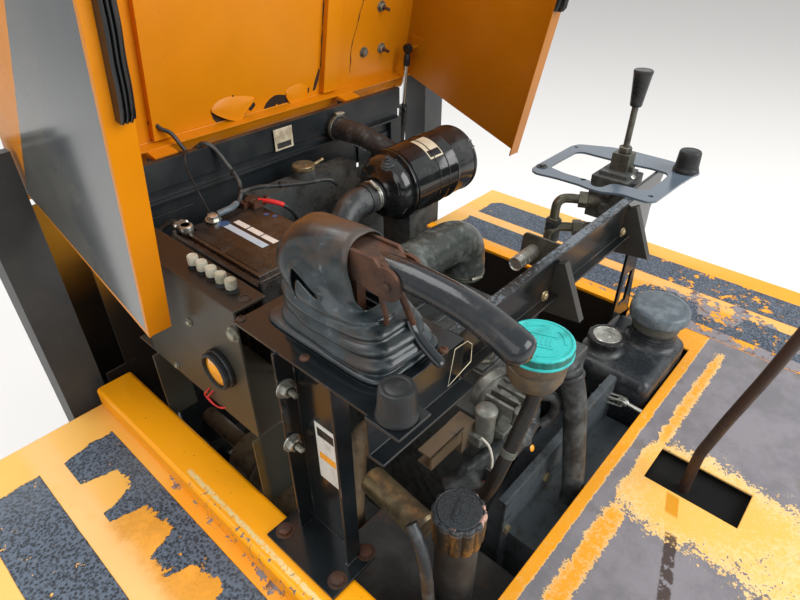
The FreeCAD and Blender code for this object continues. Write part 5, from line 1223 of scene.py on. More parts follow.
# %% Case, lid and posts
bat_low, bat_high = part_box("battery")
bx0, by0, bz0 = (v / MM for v in bat_low)
bx1, by1, bz1 = (v / MM for v in bat_high)
case = bmesh.new()
block(case, (bx0 + 3, bx1 - 3), (by0 + 3, by1 - 3), (bz0, bz1 - 34))
block(case, (bx0, bx1), (by0, by1), (bz1 - 36, bz1 - 12))
for step in range(7):
    y = by0 + 22 + step * 33
    block(case, (bx0 + 1, bx1 - 1), (y, y + 10), (bz0 + 8, bz1 - 40))
finished(case, "battery_case", "battery_black", bevel=0.002, replaces="battery", slot="battery_case")
piece("battery_lid", "battery_brown", [block, (bx0 + 1, bx1 - 1), (by0 + 1, by1 - 1), (bz1 - 13, bz1 - 6)],
      [block, (bx0 + 8, bx1 - 8), (by0 + 8, by1 - 30), (bz1 - 8, bz1)],
      [block, (bx0 + 30, bx1 - 30), (by1 - 34, by1 - 8), (bz1 - 8, bz1 - 1)], bevel=0.0018, steps=3)
vents = bmesh.new()
for step in range(2):
    block(vents, (bx0 + 16, bx0 + 42), (by0 + 18 + step * 106, by0 + 112 + step * 106), (bz1 - 1, bz1 + 1.2))
finished(vents, "battery_vents", "battery_black", bevel=0.0006)
posts = bmesh.new()
for x in (bx0 + 16, bx1 - 16):
    turn(posts, [(9, -8), (9, 4), (8.4, 14), (7.4, 15)], (x, by1 - 17, bz1 - 4), UP, 24)
finished(posts, "battery_posts", "old_zinc")


def stickers(name, look, places):
    """Plain flat stickers: (x span, y span, z) each."""
    work = bmesh.new()
    for x_span, y_span, z in places:
        block(work, x_span, y_span, (z - 0.1, z + 0.4))
    finished(work, name, look)


LID = bz1 + 0.1
stickers("battery_stripes", "sticker_white", [((bx0 + 90, bx0 + 102), (by1 - 92 - 41 * i, by1 - 55 - 41 * i), LID)
                                              for i in range(3)])
stickers("battery_blue_band", "sticker_pale", [((bx0 + 68, bx0 + 82), (by1 - 172, by1 - 52), LID)])
spots = bmesh.new()
turn(spots, [(11.5, 0), (11.5, 0.5)], (bx0 + 75, by1 - 46, LID), UP, 28)
for x, y in ((bx1 - 24, by1 - 74), (bx1 - 18, by1 - 92)):
    turn(spots, [(5, 0), (5, 0.5)], (x, y, LID), UP, 20)
finished(spots, "battery_spots", "sticker_blue")

# %% Clamps, cables and hold-down
terminal = bmesh.new()
x, y = bx1 - 16, by1 - 17
turn(terminal, [(8, 0), (14, 1), (15, 5), (14, 13), (11, 16), (0, 17)], (x, y, bz1 - 2), UP, 22)
block(terminal, (x - 12, x + 16), (y - 26, y + 4), (bz1 + 1, bz1 + 13))
turn(terminal, [(5, -20), (7, -19), (7, -12), (4, -11), (4, 12), (7, 13), (7, 19), (5, 20)], (x + 8, y - 18, bz1 + 8),
     (1, 0, 0.1), 6)
block(terminal, (x - 22, x - 4), (y - 8, y + 14), (bz1 - 1, bz1 + 9))
for vert in terminal.verts:
    p = vert.co * 140
    vert.co += Vector((noise.noise(p), noise.noise(p + Vector((5, 5, 5))),
                       noise.noise(p + Vector((9, 1, 4))))) * 0.0028
finished(terminal, "corroded_clamp", "rusty_steel", bevel=0.0008)
red = bmesh.new()
red_line = smooth_line([(x + 8, y - 14, bz1 + 10), (x + 22, y - 40, bz1 + 10), (x + 38, y - 56, bz1 + 1),
                        (x + 56, y - 60, bz1 - 22), (x + 70, y - 52, bz1 - 60), (x + 74, y - 36, bz1 - 110)])
sweep(red, red_line[:16], 4.8, 16)
finished(red, "red_cable", "wire_red", smooth=60)
piece("red_cable_sleeve", "dull_rubber", [sweep, red_line[15:], 4.6, 16], smooth=60)
clamp_near = bmesh.new()
x = bx0 + 16
turn(clamp_near, [(9, 0), (13, 1), (13, 12), (9, 13)], (x, y, bz1 - 2), UP, 20)
block(clamp_near, (x - 9, x + 9), (y - 2, y + 26), (bz1, bz1 + 11))
turn(clamp_near, [(5, -14), (5, 14)], (x, y + 18, bz1 + 6), LEFT, 6)
finished(clamp_near, "zinc_clamp", "bright_zinc", bevel=0.0012)
piece("black_lead", "dull_rubber", [sweep, smooth_line([(x, y + 22, bz1 + 6), (x - 8, y + 46, bz1 + 2),
                                                        (x - 30, y + 58, bz1 - 20), (x - 52, y + 56, bz1 - 70),
                                                        (x - 60, y + 52, bz1 - 130)]), 6, 14], smooth=60)
piece("battery_holder", "chassis_black", [block, (bx0 - 9, bx0 - 2), (by0 - 24, by1 - 6), (bz1 - 12, bz1 - 2)],
      [turn, [(3.4, -190), (3.4, 14), (3, 15)], (bx0 - 6, by0 - 16, bz1 - 8), UP, 12],
      [turn, [(3.4, -190), (3.4, 14), (3, 15)], (bx0 - 6, by1 - 14, bz1 - 8), UP, 12], bevel=0.0012)
print("battery", [round(v) for v in (bx0, by0, bz0, bx1, by1, bz1)])

# %% [markdown]
# ## Fuse panel
#
# The battery box turns its near wall and top flange to the driver: five screw-in fuse caps of clear plastic, a
# hole where a sixth one was, an amber lamp in a black bezel, and a few bolts. Caps that repeat are one turned
# profile used five times, with small flutes pressed round the rim.

# %% Caps, lamp, relay and wires
FLANGE_Z = 925.0
caps = bmesh.new()
necks = bmesh.new()
FUSES, FUSE_X, FUSE_STEP = 5, -416, 23.5
for step in range(FUSES):
    y = 14 + FUSE_STEP * step
    rings = turn(caps, [(7.2, 0), (8.0, 0.6), (8.2, 3), (8.2, 13), (7.6, 14.5), (6.4, 15), (5.6, 14), (0, 13.6)],
                 (FUSE_X, y, FLANGE_Z + 5), UP, 24)
    for ring in rings[1:5]:
        for index, vert in enumerate(ring):
            if index % 2:
                away = Vector((vert.co.x + 0.416, vert.co.y - y * MM, 0)).normalized()
                vert.co -= away * 0.0005
    turn(necks, [(9.5, 0), (9.5, 1.5), (8.6, 2), (8.6, 6)], (FUSE_X, y, FLANGE_Z), UP, 24)
finished(caps, "fuse_caps", "clear_caps", smooth=28)
finished(necks, "fuse_necks", "dull_rubber")
piece("empty_fuse_hole", "battery_black", [turn, [(6.5, 0), (9, 0.2), (9, 0.8), (6.5, 1.0), (6.5, 0.3), (0, 0.25)],
                                           (-415, -13, FLANGE_Z), UP, 28])
LAMP = (-445, 33, 795)
piece("lamp_bezel", "dull_rubber", [turn, [(26, 0), (32, 0.5), (33, 3), (33, 7), (31.5, 9), (30, 9.5), (31, 11),
                                           (31, 16), (29, 18), (27, 18.5), (25.5, 17), (25, 14), (25, 2)], LAMP,
                                    RIGHT, 48], smooth=30)
piece("lamp_lens", "amber", [turn, [(25, 0), (25, 12), (23, 14), (14, 15.6), (0, 16)], LAMP, RIGHT, 48], smooth=50)
piece("relay", "satin_black", [block, (-441, -417), (212, 240), (FLANGE_Z, FLANGE_Z + 24)], bevel=0.0018)
piece("red_wire_loop", "wire_red", [sweep, smooth_line([(-440, 86, 716), (-449, 92, 704), (-450, 100, 692),
                                                        (-448, 84, 682), (-446, 64, 690), (-438, 50, 700)]), 1.6, 10],
      [sweep, smooth_line([(-440, 96, 716), (-448, 104, 702), (-449, 112, 690), (-447, 96, 678), (-445, 70, 684),
                           (-436, 54, 694)]), 1.6, 10], smooth=60)
print("fuse caps", FUSES)

# %% [markdown]
# ## Caps, necks and tanks
#
# Every filler here is a turned moulding with something cut or raised on it. The fuel cap has twelve flats and a
# raised bar on a rough top that has peeled. The turquoise cap has a rim and pressed ridges. The black plastic
# tank carries a dial cap and a wide cap on a grey collar. Their lettering is left off, the ridges stay.

# %% A turned piece with a rim that waves
def waved(rings, centre, levels, count, depth, sharp):
    """Presses count flutes into the chosen levels of a turned piece."""
    for level in levels:
        ring = rings[level]
        for index, vert in enumerate(ring):
            away = Vector((vert.co.x - centre[0] * MM, vert.co.y - centre[1] * MM, 0)).normalized()
            wave = abs(cos(pi * count * index / len(ring))) ** sharp
            vert.co -= away * depth * MM * (1 - wave)


def tilted(degrees):
    """Two level directions, turned about the upright."""
    a = radians(degrees)
    return (cos(a), sin(a), 0), (-sin(a), cos(a), 0)


# %% Fuel neck and its cap
stain = Finish("cap_side", {"IOR": 1.5})
run = stain.clouds(30, 4, 0.6, stain.stretched((1.0, 1.0, 0.16)))
speck = stain.clouds(180, 4, 0.65)
brownish = stain.rise(run + (speck - 0.5) * 0.3, 0.40, 0.58)
side_tone = stain.mix(brownish, (0.016, 0.015, 0.013), (0.20, 0.095, 0.022))
side_tone = stain.mix(stain.rise(stain.z, 0.690, 0.700), side_tone, (0.11, 0.12, 0.13))
stain.feed("Base Color", side_tone)
stain.feed("Roughness", 0.32 + speck * 0.2)
stain.relief(speck * 0.6 + run * 0.4, 0.0005, 0.8)
finishes["cap_side"] = stain.material
peel = Finish("cap_top", {"IOR": 1.5})
grain = peel.clouds(420, 3, 0.6)
patch = peel.clouds(42, 4, 0.62)
edge_side = peel.rise(peel.x * 0.75 - peel.y * 0.9, 0.045, 0.085)
bare = peel.rise(patch + edge_side * 0.14, 0.62, 0.64)
top_tone = peel.mix(peel.rise(grain, 0.35, 0.7), (0.016, 0.019, 0.021), (0.05, 0.058, 0.064))
top_tone = peel.mix(bare, top_tone, peel.mix(grain, (0.30, 0.13, 0.07), (0.62, 0.42, 0.36)))
peel.feed("Base Color", top_tone)
peel.feed("Roughness", 0.35 + grain * 0.3 + bare * 0.2)
peel.relief(grain * 0.5 - bare * 0.8, 0.0008, 0.9)
finishes["cap_top"] = peel.material
FUEL = (-349.0, -339.0)
CAP_TOP = 702.0
cap = bmesh.new()
skirt = turn(cap, [(30, -58), (35.5, -57), (36.5, -54), (37.0, -30), (37.6, -6), (37.0, -2.5), (35.0, -0.8),
                   (32.5, -0.3), (31.5, -1.6), (30.6, -1.7), (30.0, -0.4), (29.0, 0)], (*FUEL, CAP_TOP), UP, 120)
waved(skirt, FUEL, range(1, 7), 12, 3.4, 0.6)
cap.faces.ensure_lookup_table()
for face in cap.faces:
    face.material_index = 1 if face.calc_center_median().z > (CAP_TOP - 5) * MM else 0
bar = [(11 * cos(radians(a)) * 0.62 + (13 if abs(a) <= 90 else -13), 11 * sin(radians(a)) * 0.62)
       for a in (*range(-90, 91, 18), *range(90, 271, 18))]
panel(cap, bar, (*FUEL, CAP_TOP - 0.4), *tilted(18), 1.6, look=1)
inner_bar = [(x * 0.86, y * 0.68) for x, y in bar]
panel(cap, inner_bar, (*FUEL, CAP_TOP + 0.9), *tilted(18), 1.1, look=1)
finished(cap, "fuel_cap", "cap_side", "cap_top", smooth=32, bevel=0.0004, replaces="filler_caps",
         slot="black_plastic")
finished(surface_of("fuel_tank"), "fuel_tank_skin", "chassis_black", "chassis_black_edge", bevel=0.004, steps=3,
         smooth=30, replaces="fuel_tank", slot="black_plastic")
piece("breather_hose", "hose_rubber", [sweep, smooth_line([(-402, -300, 690), (-408, -322, 668), (-414, -338, 628),
                                                           (-416, -346, 570), (-410, -350, 500), (-396, -352, 452)]),
                                       9, 18], smooth=60)

# %% Turquoise cap on its brown neck, and the dark pipe below
OIL = (-210.0, -346.0)
piece("oil_neck", "neck_brown", [turn, [(13, 834), (24, 838), (33, 845), (37.5, 856), (39, 866), (39, 874), (37, 875),
                                        (36.8, 877), (38.8, 878), (40.2, 881), (40.2, 895), (38, 898)], (*OIL, 0), UP,
                                 56], smooth=30)
oil_line = smooth_line([(-205, -352, 850), (-212, -351, 810), (-240, -344, 735), (-268, -334, 660), (-262, -302, 590),
                        (-205, -264, 552), (-160, -260, 550)], 8)
piece("oil_pipe", "pipe_dark", [sweep, oil_line, 10.5, 24], smooth=60, replaces="oil_filler",
      slot="turquoise_plastic")
piece("oil_pipe_band", "collar_grey", [turn, [(10, -6), (12, -5), (12, 5), (10, 6)], oil_line[17],
                                       oil_line[18] - oil_line[16], 24])
disc = bmesh.new()
rim_rings = turn(disc, [(42, 894), (44.6, 894.4), (45, 896), (44.4, 897.6), (43.6, 898), (43.8, 908), (43.2, 910),
                        (41.6, 911), (39.6, 911), (38.8, 909.6), (38.2, 909.4), (0, 909)], (*OIL, 0), UP, 96)
waved(rim_rings, OIL, range(4, 6), 16, 1.0, 0.4)


def ridge(work, centre, radius, start, end, wide, top, z):
    """A raised arc on a flat cap."""
    outline = arc((0, 0), radius, start, end, 14) + arc((0, 0), radius - wide, end, start, 14)
    panel(work, outline, (*centre, z), LEFT, REAR, top)


for start in (22, 112, 202, 292):
    ridge(disc, OIL, 33, start, start + 52, 3.2, 1.3, 909)
bars = [(-14, -18, 3, 36, 1.2), (11, -18, 3, 36, 1.2)] + [(-8, -15 + step * 5.4, 16, 2.6, 0.8) for step in range(6)]
for u, v, w, h, proud in bars:
    panel(disc, [(u, v), (u + w, v), (u + w, v + h), (u, v + h)], (*OIL, 909), *tilted(20), proud)
# The rim's side faces take the darker turquoise, painted shade; the top keeps the bright one.
for face in disc.faces:
    middle_z = face.calc_center_median().z
    face.material_index = 1 if 0.8978 < middle_z < 0.9088 and abs(face.normal.z) < 0.7 else 0
finished(disc, "turquoise_cap", "turquoise", "turquoise_shaded_side", smooth=32, bevel=0.0003, edge_look=0)

# %% Black plastic tank with a dial cap and a wide cap
rounded("plastic_tank", "tank_black", "black_plastic", edge=False, bevel=0.001)
WIDE, DIAL = (366.0, -336.0), (268.0, -272.0)
piece("tank_necks", "tank_black", [turn, [(50, 556), (62, 558.5), (56, 561), (50, 566), (47.5, 574), (47.6, 578),
                                          (46.9, 579), (47.5, 580), (47.4, 586), (46.8, 587), (47.3, 588),
                                          (47.2, 597)], (*WIDE, 0), UP, 64],
      [turn, [(34, 556), (46, 558.5), (40, 561), (35, 565), (33, 570), (33, 582)], (*DIAL, 0), UP, 56], smooth=40)
piece("tank_collar", "collar_grey", [turn, [(46.5, 596), (48.5, 597), (49.2, 599), (49.6, 622), (49, 625)],
                                     (*WIDE, 0), UP, 64], smooth=40)
wide_cap = bmesh.new()
rim = turn(wide_cap, [(50, 621), (57, 621.5), (60, 624), (61, 628), (61, 640), (60, 645), (57, 648.5), (53, 650),
                      (47, 650.8), (44, 650), (41, 650.5), (20, 651.6), (0, 652)], (*WIDE, 0), UP, 180)
waved(rim, WIDE, range(2, 6), 60, 0.8, 0.7)
finished(wide_cap, "wide_cap", "cap_grey", smooth=50)
dial = bmesh.new()
dial_rim = turn(dial, [(34, 577), (38, 578), (39, 580), (39.5, 590), (38.8, 592.5), (36, 594), (31, 594.6),
                       (29.5, 594), (29, 593)], (*DIAL, 0), UP, 96)
waved(dial_rim, DIAL, range(1, 5), 12, 1.6, 0.5)
finished(dial, "dial_cap", "satin_black", smooth=40)
piece("dial_face", "bright_zinc", [turn, [(29.4, 592.6), (29.4, 594.6), (28, 595.4), (27, 594.8), (26.5, 593.8),
                                          (9, 593.8), (8.4, 594.4), (0, 594.4)], (*DIAL, 0), UP, 64], smooth=30)
print("caps done")

# %% [markdown]
# ## Coolant hose
#
# One long rubber hose climbs out of the engine behind the turquoise cap, bends over a clamp ring and drops
# straight down to the gearbox.

# %% Hose and its rings
coolant_line = smooth_line([(-60, -170, 685), (-60, -172, 730), (-60, -190, 766), (-57, -240, 782), (-54, -290, 776),
                            (-51, -328, 742), (-50, -348, 690), (-50, -366, 590), (-50, -380, 500), (-50, -382, 460)],
                           9)
piece("coolant_pipe", "hose_rubber", [sweep, coolant_line, 19.5, 36], smooth=60, replaces="coolant_hose",
      slot="black_rubber")
rings_work = bmesh.new()
for index in (45, 47):
    heading = coolant_line[index + 1] - coolant_line[index - 1]
    turn(rings_work, [(19, -5), (22.4, -4), (23.4, 0), (22.4, 4), (19, 5)], coolant_line[index], heading, 40)
finished(rings_work, "coolant_rings", "hose_rubber", smooth=60)
clamp("coolant_clamp", (-60, -170, 694), UP, 20.2, (-1, -1, 0), look="old_zinc")
print("hose points", len(coolant_line))

# %% [markdown]
# ## Down in the engine bay
#
# Only glimpses show between the console, the cross beam and the floor: cast aluminium bodies, a dark bell
# housing with its flange and bolts, a rubber elbow, two wire connectors. Oil and dust have made one dark film of
# it all. The castings get rounded edges and ribs, so that light finds shapes in the dark.

# %% Engine castings
finished(surface_of("engine_block"), "engine_skin", "casting_dark", bevel=0.006, steps=3, smooth=40,
         replaces="engine_block", slot="engine_casting")
cover = bmesh.new()
block(cover, (-96, 50), (-196, 210), (684, 692))
for step in range(7):
    y = -170 + step * 58
    block(cover, (-90, 44), (y, y + 12), (690, 695))
finished(cover, "rocker_ribs", "casting_dark", bevel=0.003, steps=3)
castings = bmesh.new()
turn(castings, [(30, 0), (40, 2), (42, 6), (42, 34), (38, 38), (38, 52), (42, 55), (42, 70), (36, 76), (16, 80)],
     (-128, -290, 672), (0.25, 1, 0.15), 40)
turn(castings, [(13, 640), (15, 642), (16, 650), (16, 706), (18, 708), (18, 716), (12, 720), (6, 722)],
     (-188, -268, 0), UP, 28)
block(castings, (-176, -148), (-296, -240), (640, 668))
block(castings, (-212, -196), (-276, -236), (652, 672))
for step in range(5):
    block(castings, (-168 + step * 17, -162 + step * 17), (-302, -250), (700, 722))
turn(castings, [(24, 0), (26, 2), (26, 26), (22, 30)], (-96, -300, 720), (0, 0.3, 1), 28)
turn(castings, [(8, 0), (8, 24), (11, 25), (11, 31)], (-160, -306, 690), (0, -0.2, 1), 18)
finished(castings, "front_castings", "casting_grey", bevel=0.003, steps=3, smooth=40)
piece("steel_bracket", "neck_brown", [block, (-303, -222), (-254, -249), (664, 692)],
      [block, (-303, -222), (-254, -226), (688, 692)], [block, (-303, -222), (-254, -226), (664, 668)],
      [block, (-230, -196), (-256, -224), (640, 690)], bevel=0.0018)
piece("fuel_filter", "brass", [turn, [(0, -1), (16, 0), (22, 3), (23.5, 8), (23.5, 118), (24.5, 120), (24.5, 126),
                                      (20, 130), (0, 131)], (-332, -152, 590), (-0.1, -1, 0.02), 44], smooth=35)

# %% Bell housing with its flange plate
finished(surface_of("transmission"), "gear_skin", "engine_blue", bevel=0.005, steps=3, smooth=40,
         replaces="transmission", slot="engine_casting")
plate = bmesh.new()
hole = [(14 * cos(radians(a)), 20 * sin(radians(a)) - 36) for a in range(0, 360, 15)]
panel(plate, [(-208, 230), (196, 230), (196, 60), (150, -110), (-160, -110), (-208, 60)], (0, -331, 330), LEFT, UP, 5,
      holes=[[(x - 26, y) for x, y in hole]])
block(plate, (-208, 196), (-334, -320), (554, 561))
finished(plate, "bell_plate", "engine_blue", bevel=0.0015)
# The sheet under the slot is a made-up near-black piece that stands in for the shadow seen through the slot; the
# cover below is made in the same near-black.
piece("selector_cover", "slot_black", [block, (-120, 130), (-640, -420), (459, 466)],
      [turn, [(52, 464), (48, 470), (40, 486), (30, 496), (20, 499), (12, 500)], (65, -533, 0), UP, 40], bevel=0.002)
piece("slot_shadow_sheet", "slot_black", [block, (24, 128), (-634, -462), (501, 504)])

# %% Rubber elbow and the connectors
elbow_work = bmesh.new()
low_line = smooth_line([(-262, -262, 590), (-236, -280, 614), (-200, -294, 630), (-168, -300, 638), (-138, -302, 640),
                        (-112, -300, 652), (-98, -290, 676)], 8)
low_radii = [21 + (2.4 if index % 8 in (0, 1) else 0) + 0.8 * sin(index) for index in range(len(low_line))]
sweep(elbow_work, low_line, low_radii, 32)
finished(elbow_work, "bay_elbow", "hose_rubber", smooth=50)
piece("small_hose_loop", "hose_rubber", [sweep, smooth_line([(-84, -300, 690), (-70, -318, 690), (-62, -326, 668),
                                                             (-66, -322, 640), (-82, -312, 628)]), 9, 18], smooth=60)
piece("black_connector", "satin_black", [block, (-238, -220), (-326, -306), (618, 655)], bevel=0.0015)
piece("connector_seal", "wire_red", [block, (-238.6, -219.4), (-326.6, -305.4), (622, 624)])
piece("connector_lock", "turquoise", [block, (-238.4, -219.6), (-326.4, -305.6), (617, 619)])
piece("cream_connector", "label_cream", [block, (-106, -92), (-312, -298), (626, 656)],
      [block, (-104, -95), (-315, -311), (632, 650)], [block, (-103, -96), (-309, -302), (655, 662)], bevel=0.001)
for name, look, route in (("white_wire", "wire_white",
                           [(-232, -314, 655), (-231, -312, 676), (-234, -306, 700), (-240, -296, 716)]),
                          ("cream_wire", "wire_white",
                           [(-104, -300, 652), (-122, -302, 660), (-142, -306, 664), (-156, -300, 668)]),
                          ("blue_wire", "wire_blue",
                           [(-103, -303, 646), (-118, -308, 654), (-138, -308, 656), (-150, -304, 658)])):
    wire = bmesh.new()
    sweep(wire, smooth_line(route), 2.0, 10)
    finished(wire, name, look, smooth=60)
piece("paint_dab", "amber", [turn, [(5.5, 0), (6, 1.5), (4, 3), (0, 3.6)], (-112, -318, 600), (0, -1, 0.5), 16])

# %% Clevis, its rod and the shift lever
clevis = bmesh.new()
across_c = Vector((0.25, -0.97, 0.0)).normalized()
flat_c = across_c.cross(Vector(UP))
outer = [(-26, -9), (22, -9), (26, -5), (26, 5), (22, 9), (-26, 9), (-29, 0)]
slot = [(-18, -4), (12, -4), (16, 0), (12, 4), (-18, 4)]
for lift in (508, 522):
    panel(clevis, outer, (182, -338, lift), across_c, flat_c, 3, holes=[slot])
block(clevis, (183, 192), (-368, -360), (508, 525))
turn(clevis, [(6, 0), (6, 4), (4, 5), (4, 30), (6, 31), (6, 34)], (178, -316, 503), UP, 16)
turn(clevis, [(8, 0), (8, 9), (5, 10), (4.4, 12), (4.4, 112)], (187.5, -362, 516), (0.04, -1, -0.12), 14)
finished(clevis, "clevis", "bright_zinc", bevel=0.0008, fix_normals=True)
piece("shift_arm", "casting_dark", [block, (166, 176), (-330, -300), (420, 512)],
      [sweep, smooth_line([(170, -315, 440), (150, -320, 430), (110, -326, 432), (60, -330, 440)]), 8, 14],
      bevel=0.002)
selector = bmesh.new()
selector_line = [(65, -533, 460), (65, -533, 500), (65, -533, 560), (65, -534, 596), (65, -536, 612), (65, -541, 640),
                 (65, -550, 690), (65, -560, 740), (65, -572, 800), (65, -588, 890), (65, -605, 985)]
sweep(selector, smooth_line(selector_line, 5), 9, 24)
finished(selector, "selector_bar", "lever_brown", smooth=60, replaces="selector_lever", slot="bare_steel")
print("bay pieces ready")

# %% [markdown]
# ## The raised bonnet
#
# The bonnet is drawn shut in the CAD model's own plan and then swung up, so its small parts are easiest to place
# in the shut bonnet's numbers. One helper lifts such a point to where it is now. Its side panels carry a large
# glossy dark sheet from its lower edge to its front, which the sky turns blue-grey, with the yellow left round it.

# %% From the shut bonnet to the raised one
LIFT = radians(78.7)
HINGE_Y, HINGE_Z = 474.0, 940.0


def lifted(x, y, z):
    """A point of the shut bonnet, measured from its hinge line, in the raised bonnet's place."""
    return Vector((x, HINGE_Y + y * cos(LIFT) + z * sin(LIFT), HINGE_Z - y * sin(LIFT) + z * cos(LIFT)))


OUT_OF_SHEET = lifted(0, 0, -1) - lifted(0, 0, 0)
ALONG_SHEET = lifted(0, -1, 0) - lifted(0, 0, 0)
print("the underside faces", [round(v, 3) for v in OUT_OF_SHEET])

# %% Side panels with a glossy field
def panel_finish(name, yellow):
    """Yellow with a glossy dark sheet on the outer face, bounded by three straight lines."""
    made = paint(name, yellow, chips=0.10, rust=0.7, dust=0.06, gloss=0.30, shade=0.86)
    under_colour = made.colour()
    under_rough = Flow(made, made.shader.inputs["Roughness"].links[0].from_socket)
    broad = made.clouds(4, 4, 0.6)
    drips = made.clouds(1, 4, 0.7, made.stretched((10, 90, 7), (radians(-18), 0, 0)))
    ragged = (made.clouds(60, 4, 0.6) - 0.5) * 0.006
    rear = made.y * 0.8 + made.z * 0.6 + ragged
    front = made.y * 0.9534 + made.z * 0.3016 + ragged
    low = made.z * 0.945 - made.y * 0.326
    edge = made.y * 0.981 + made.z * 0.195 + ragged * 0.6
    field = (1 - made.rise(rear, 0.957, 0.9575)) * made.rise(edge, 0.2985, 0.2990)
    field = field * made.rise(low, 0.7485, 0.749) * made.rise(abs(made.x), 0.4984, 0.4986)
    scratches = made.rise(made.clouds(1, 5, 0.75, made.stretched((30, 260, 26), (radians(-17), 0, 0))), 0.63, 0.66)
    scratches = scratches * made.inside(front, 0.40, 0.452, 0.014)
    sheet = made.mix(made.rise(broad, 0.38, 0.66), (0.050, 0.060, 0.068), (0.100, 0.100, 0.090))
    sheet = made.mix(made.rise(drips, 0.60, 0.68) * 0.55, sheet, (0.030, 0.030, 0.028))
    sheet = made.mix(scratches * 0.7, sheet, (0.34, 0.33, 0.29))
    made.feed("Base Color", made.mix(field, under_colour, sheet))
    smear = 0.16 + made.rise(broad, 0.35, 0.7) * 0.14 + drips * 0.08
    made.feed("Roughness", under_rough * (1 - field) + field * smear)
    made.feed("Coat Weight", field * 0.7)
    made.feed("Coat Roughness", 0.12)


panel_finish("side_panel", BONNET_YELLOW)
# The far panel's yellow is darkened to 0.62 of the near one's: painted shade on its inner face, which turns away from
# the light.
panel_finish("side_panel_far", tuple(c * 0.62 for c in BONNET_YELLOW))
finishes["side_panel_far_edge"] = finishes["bonnet_yellow_edge"]
finishes["side_panel_edge"] = finishes["bonnet_yellow_edge"]
rounded("bonnet_side_right", "side_panel", "yellow_paint", "bonnet", bevel=0.0009)
rounded("bonnet_side_left", "side_panel_far", "yellow_paint", "bonnet", bevel=0.0009)

# %% [markdown]
# The top sheet keeps two of its three ribs. The middle one lies flat in the photograph, so its corners are moved
# onto the sheet before the edges are rounded. The sheet's rear end is rolled into a lip, torn open in places.

# %% Top sheet
top_sheet = surface_of("bonnet_top")
for vert in top_sheet.verts:
    place = vert.co / MM
    depth = (place.y - HINGE_Y) * sin(LIFT) + (place.z - HINGE_Z) * cos(LIFT)
    if -42 < place.x < 6 and 30 < depth < 40:
        vert.co += -OUT_OF_SHEET * (48 - depth) * MM
bmesh.ops.remove_doubles(top_sheet, verts=top_sheet.verts, dist=1e-5)
bmesh.ops.dissolve_degenerate(top_sheet, edges=top_sheet.edges, dist=1e-5)
finished(top_sheet, "bonnet_top_skin", "bonnet_yellow", "bonnet_yellow_edge", body="bonnet", bevel=0.0009,
         replaces="bonnet_top", slot="yellow_paint")


def sheet_skin(work, rows, thickness):
    """A sheet through rows of points, thickened away from the viewer's side of the bonnet."""
    away = -OUT_OF_SHEET * thickness
    layers = []
    for shift in (Vector((0, 0, 0)), away):
        layers.append([[work.verts.new((point + shift) * MM) for point in row] for row in rows])
    for layer in layers:
        for a, b in zip(layer, layer[1:]):
            for i in range(len(a) - 1):
                work.faces.new((a[i], a[i + 1], b[i + 1], b[i]))
    rim = []
    for layer in layers:
        rim.append(layer[0] + [row[-1] for row in layer[1:-1]] + layer[-1][::-1] + [row[0] for row in layer[-2:0:-1]])
    wall(work, *rim)


# %% The rolled lip and its torn flaps
lip = bmesh.new()
lip_rows = []
for step in range(9):
    share = step / 8
    y = -21 + 44 * share
    bulge = 9.0 * sin(pi * min(1.0, share * 0.74 + 0.12))
    row = []
    for i in range(67):
        x = -494 + 988 * i / 66
        wave = noise.noise(Vector((x * 0.022, share * 1.5, 0.7)))
        dent = 3.6 * noise.noise(Vector((x * 0.007, 4.2, 1.1)))
        row.append(lifted(x, y + wave * 1.6 * share + dent * share,
                          49.5 - max(1.0, bulge + wave * 4.0 * sin(pi * share))))
    lip_rows.append(row)
sheet_skin(lip, lip_rows, 1.6)


def flap(work, edges, bulge, curl):
    """A torn tongue: (x, upper y, lower y) across it, rising from the sheet towards its free edge."""
    rows = []
    for step in range(9):
        share = step / 8
        row = []
        for index, (x, upper, lower) in enumerate(edges):
            across = sin(pi * index / (len(edges) - 1))
            up = bulge * (0.35 + 0.65 * across) * sin(pi * 0.5 * min(1.0, share * 1.5)) + curl * share ** 3 * across
            ripple = noise.noise(Vector((x * 0.08, share * 2, bulge))) * 1.4
            row.append(lifted(x, upper + (lower - upper) * share, 47.6 - up - ripple * share))
        rows.append(row)
    sheet_skin(work, rows, 1.3)


flap(lip, [(-111, -54, -48), (-103, -62, -41), (-90, -68, -33), (-75, -70, -25), (-62, -70, -20), (-50, -68, -17),
           (-40, -66, -22), (-30, -64, -34), (-15, -60, -42), (-4, -56, -50)], 9.0, 5.0)
flap(lip, [(86, -47, -36), (92, -53, -24), (100, -56, -16), (110, -58, -12), (120, -59, -11), (131, -58, -13),
           (141, -54, -15), (151, -46, -20)], 6.0, 3.0)
finished(lip, "bonnet_lip", "bonnet_yellow", "bonnet_yellow_edge", body="bonnet", smooth=70, bevel=0.0004, steps=1,
         fix_normals=True, slot="yellow_paint")

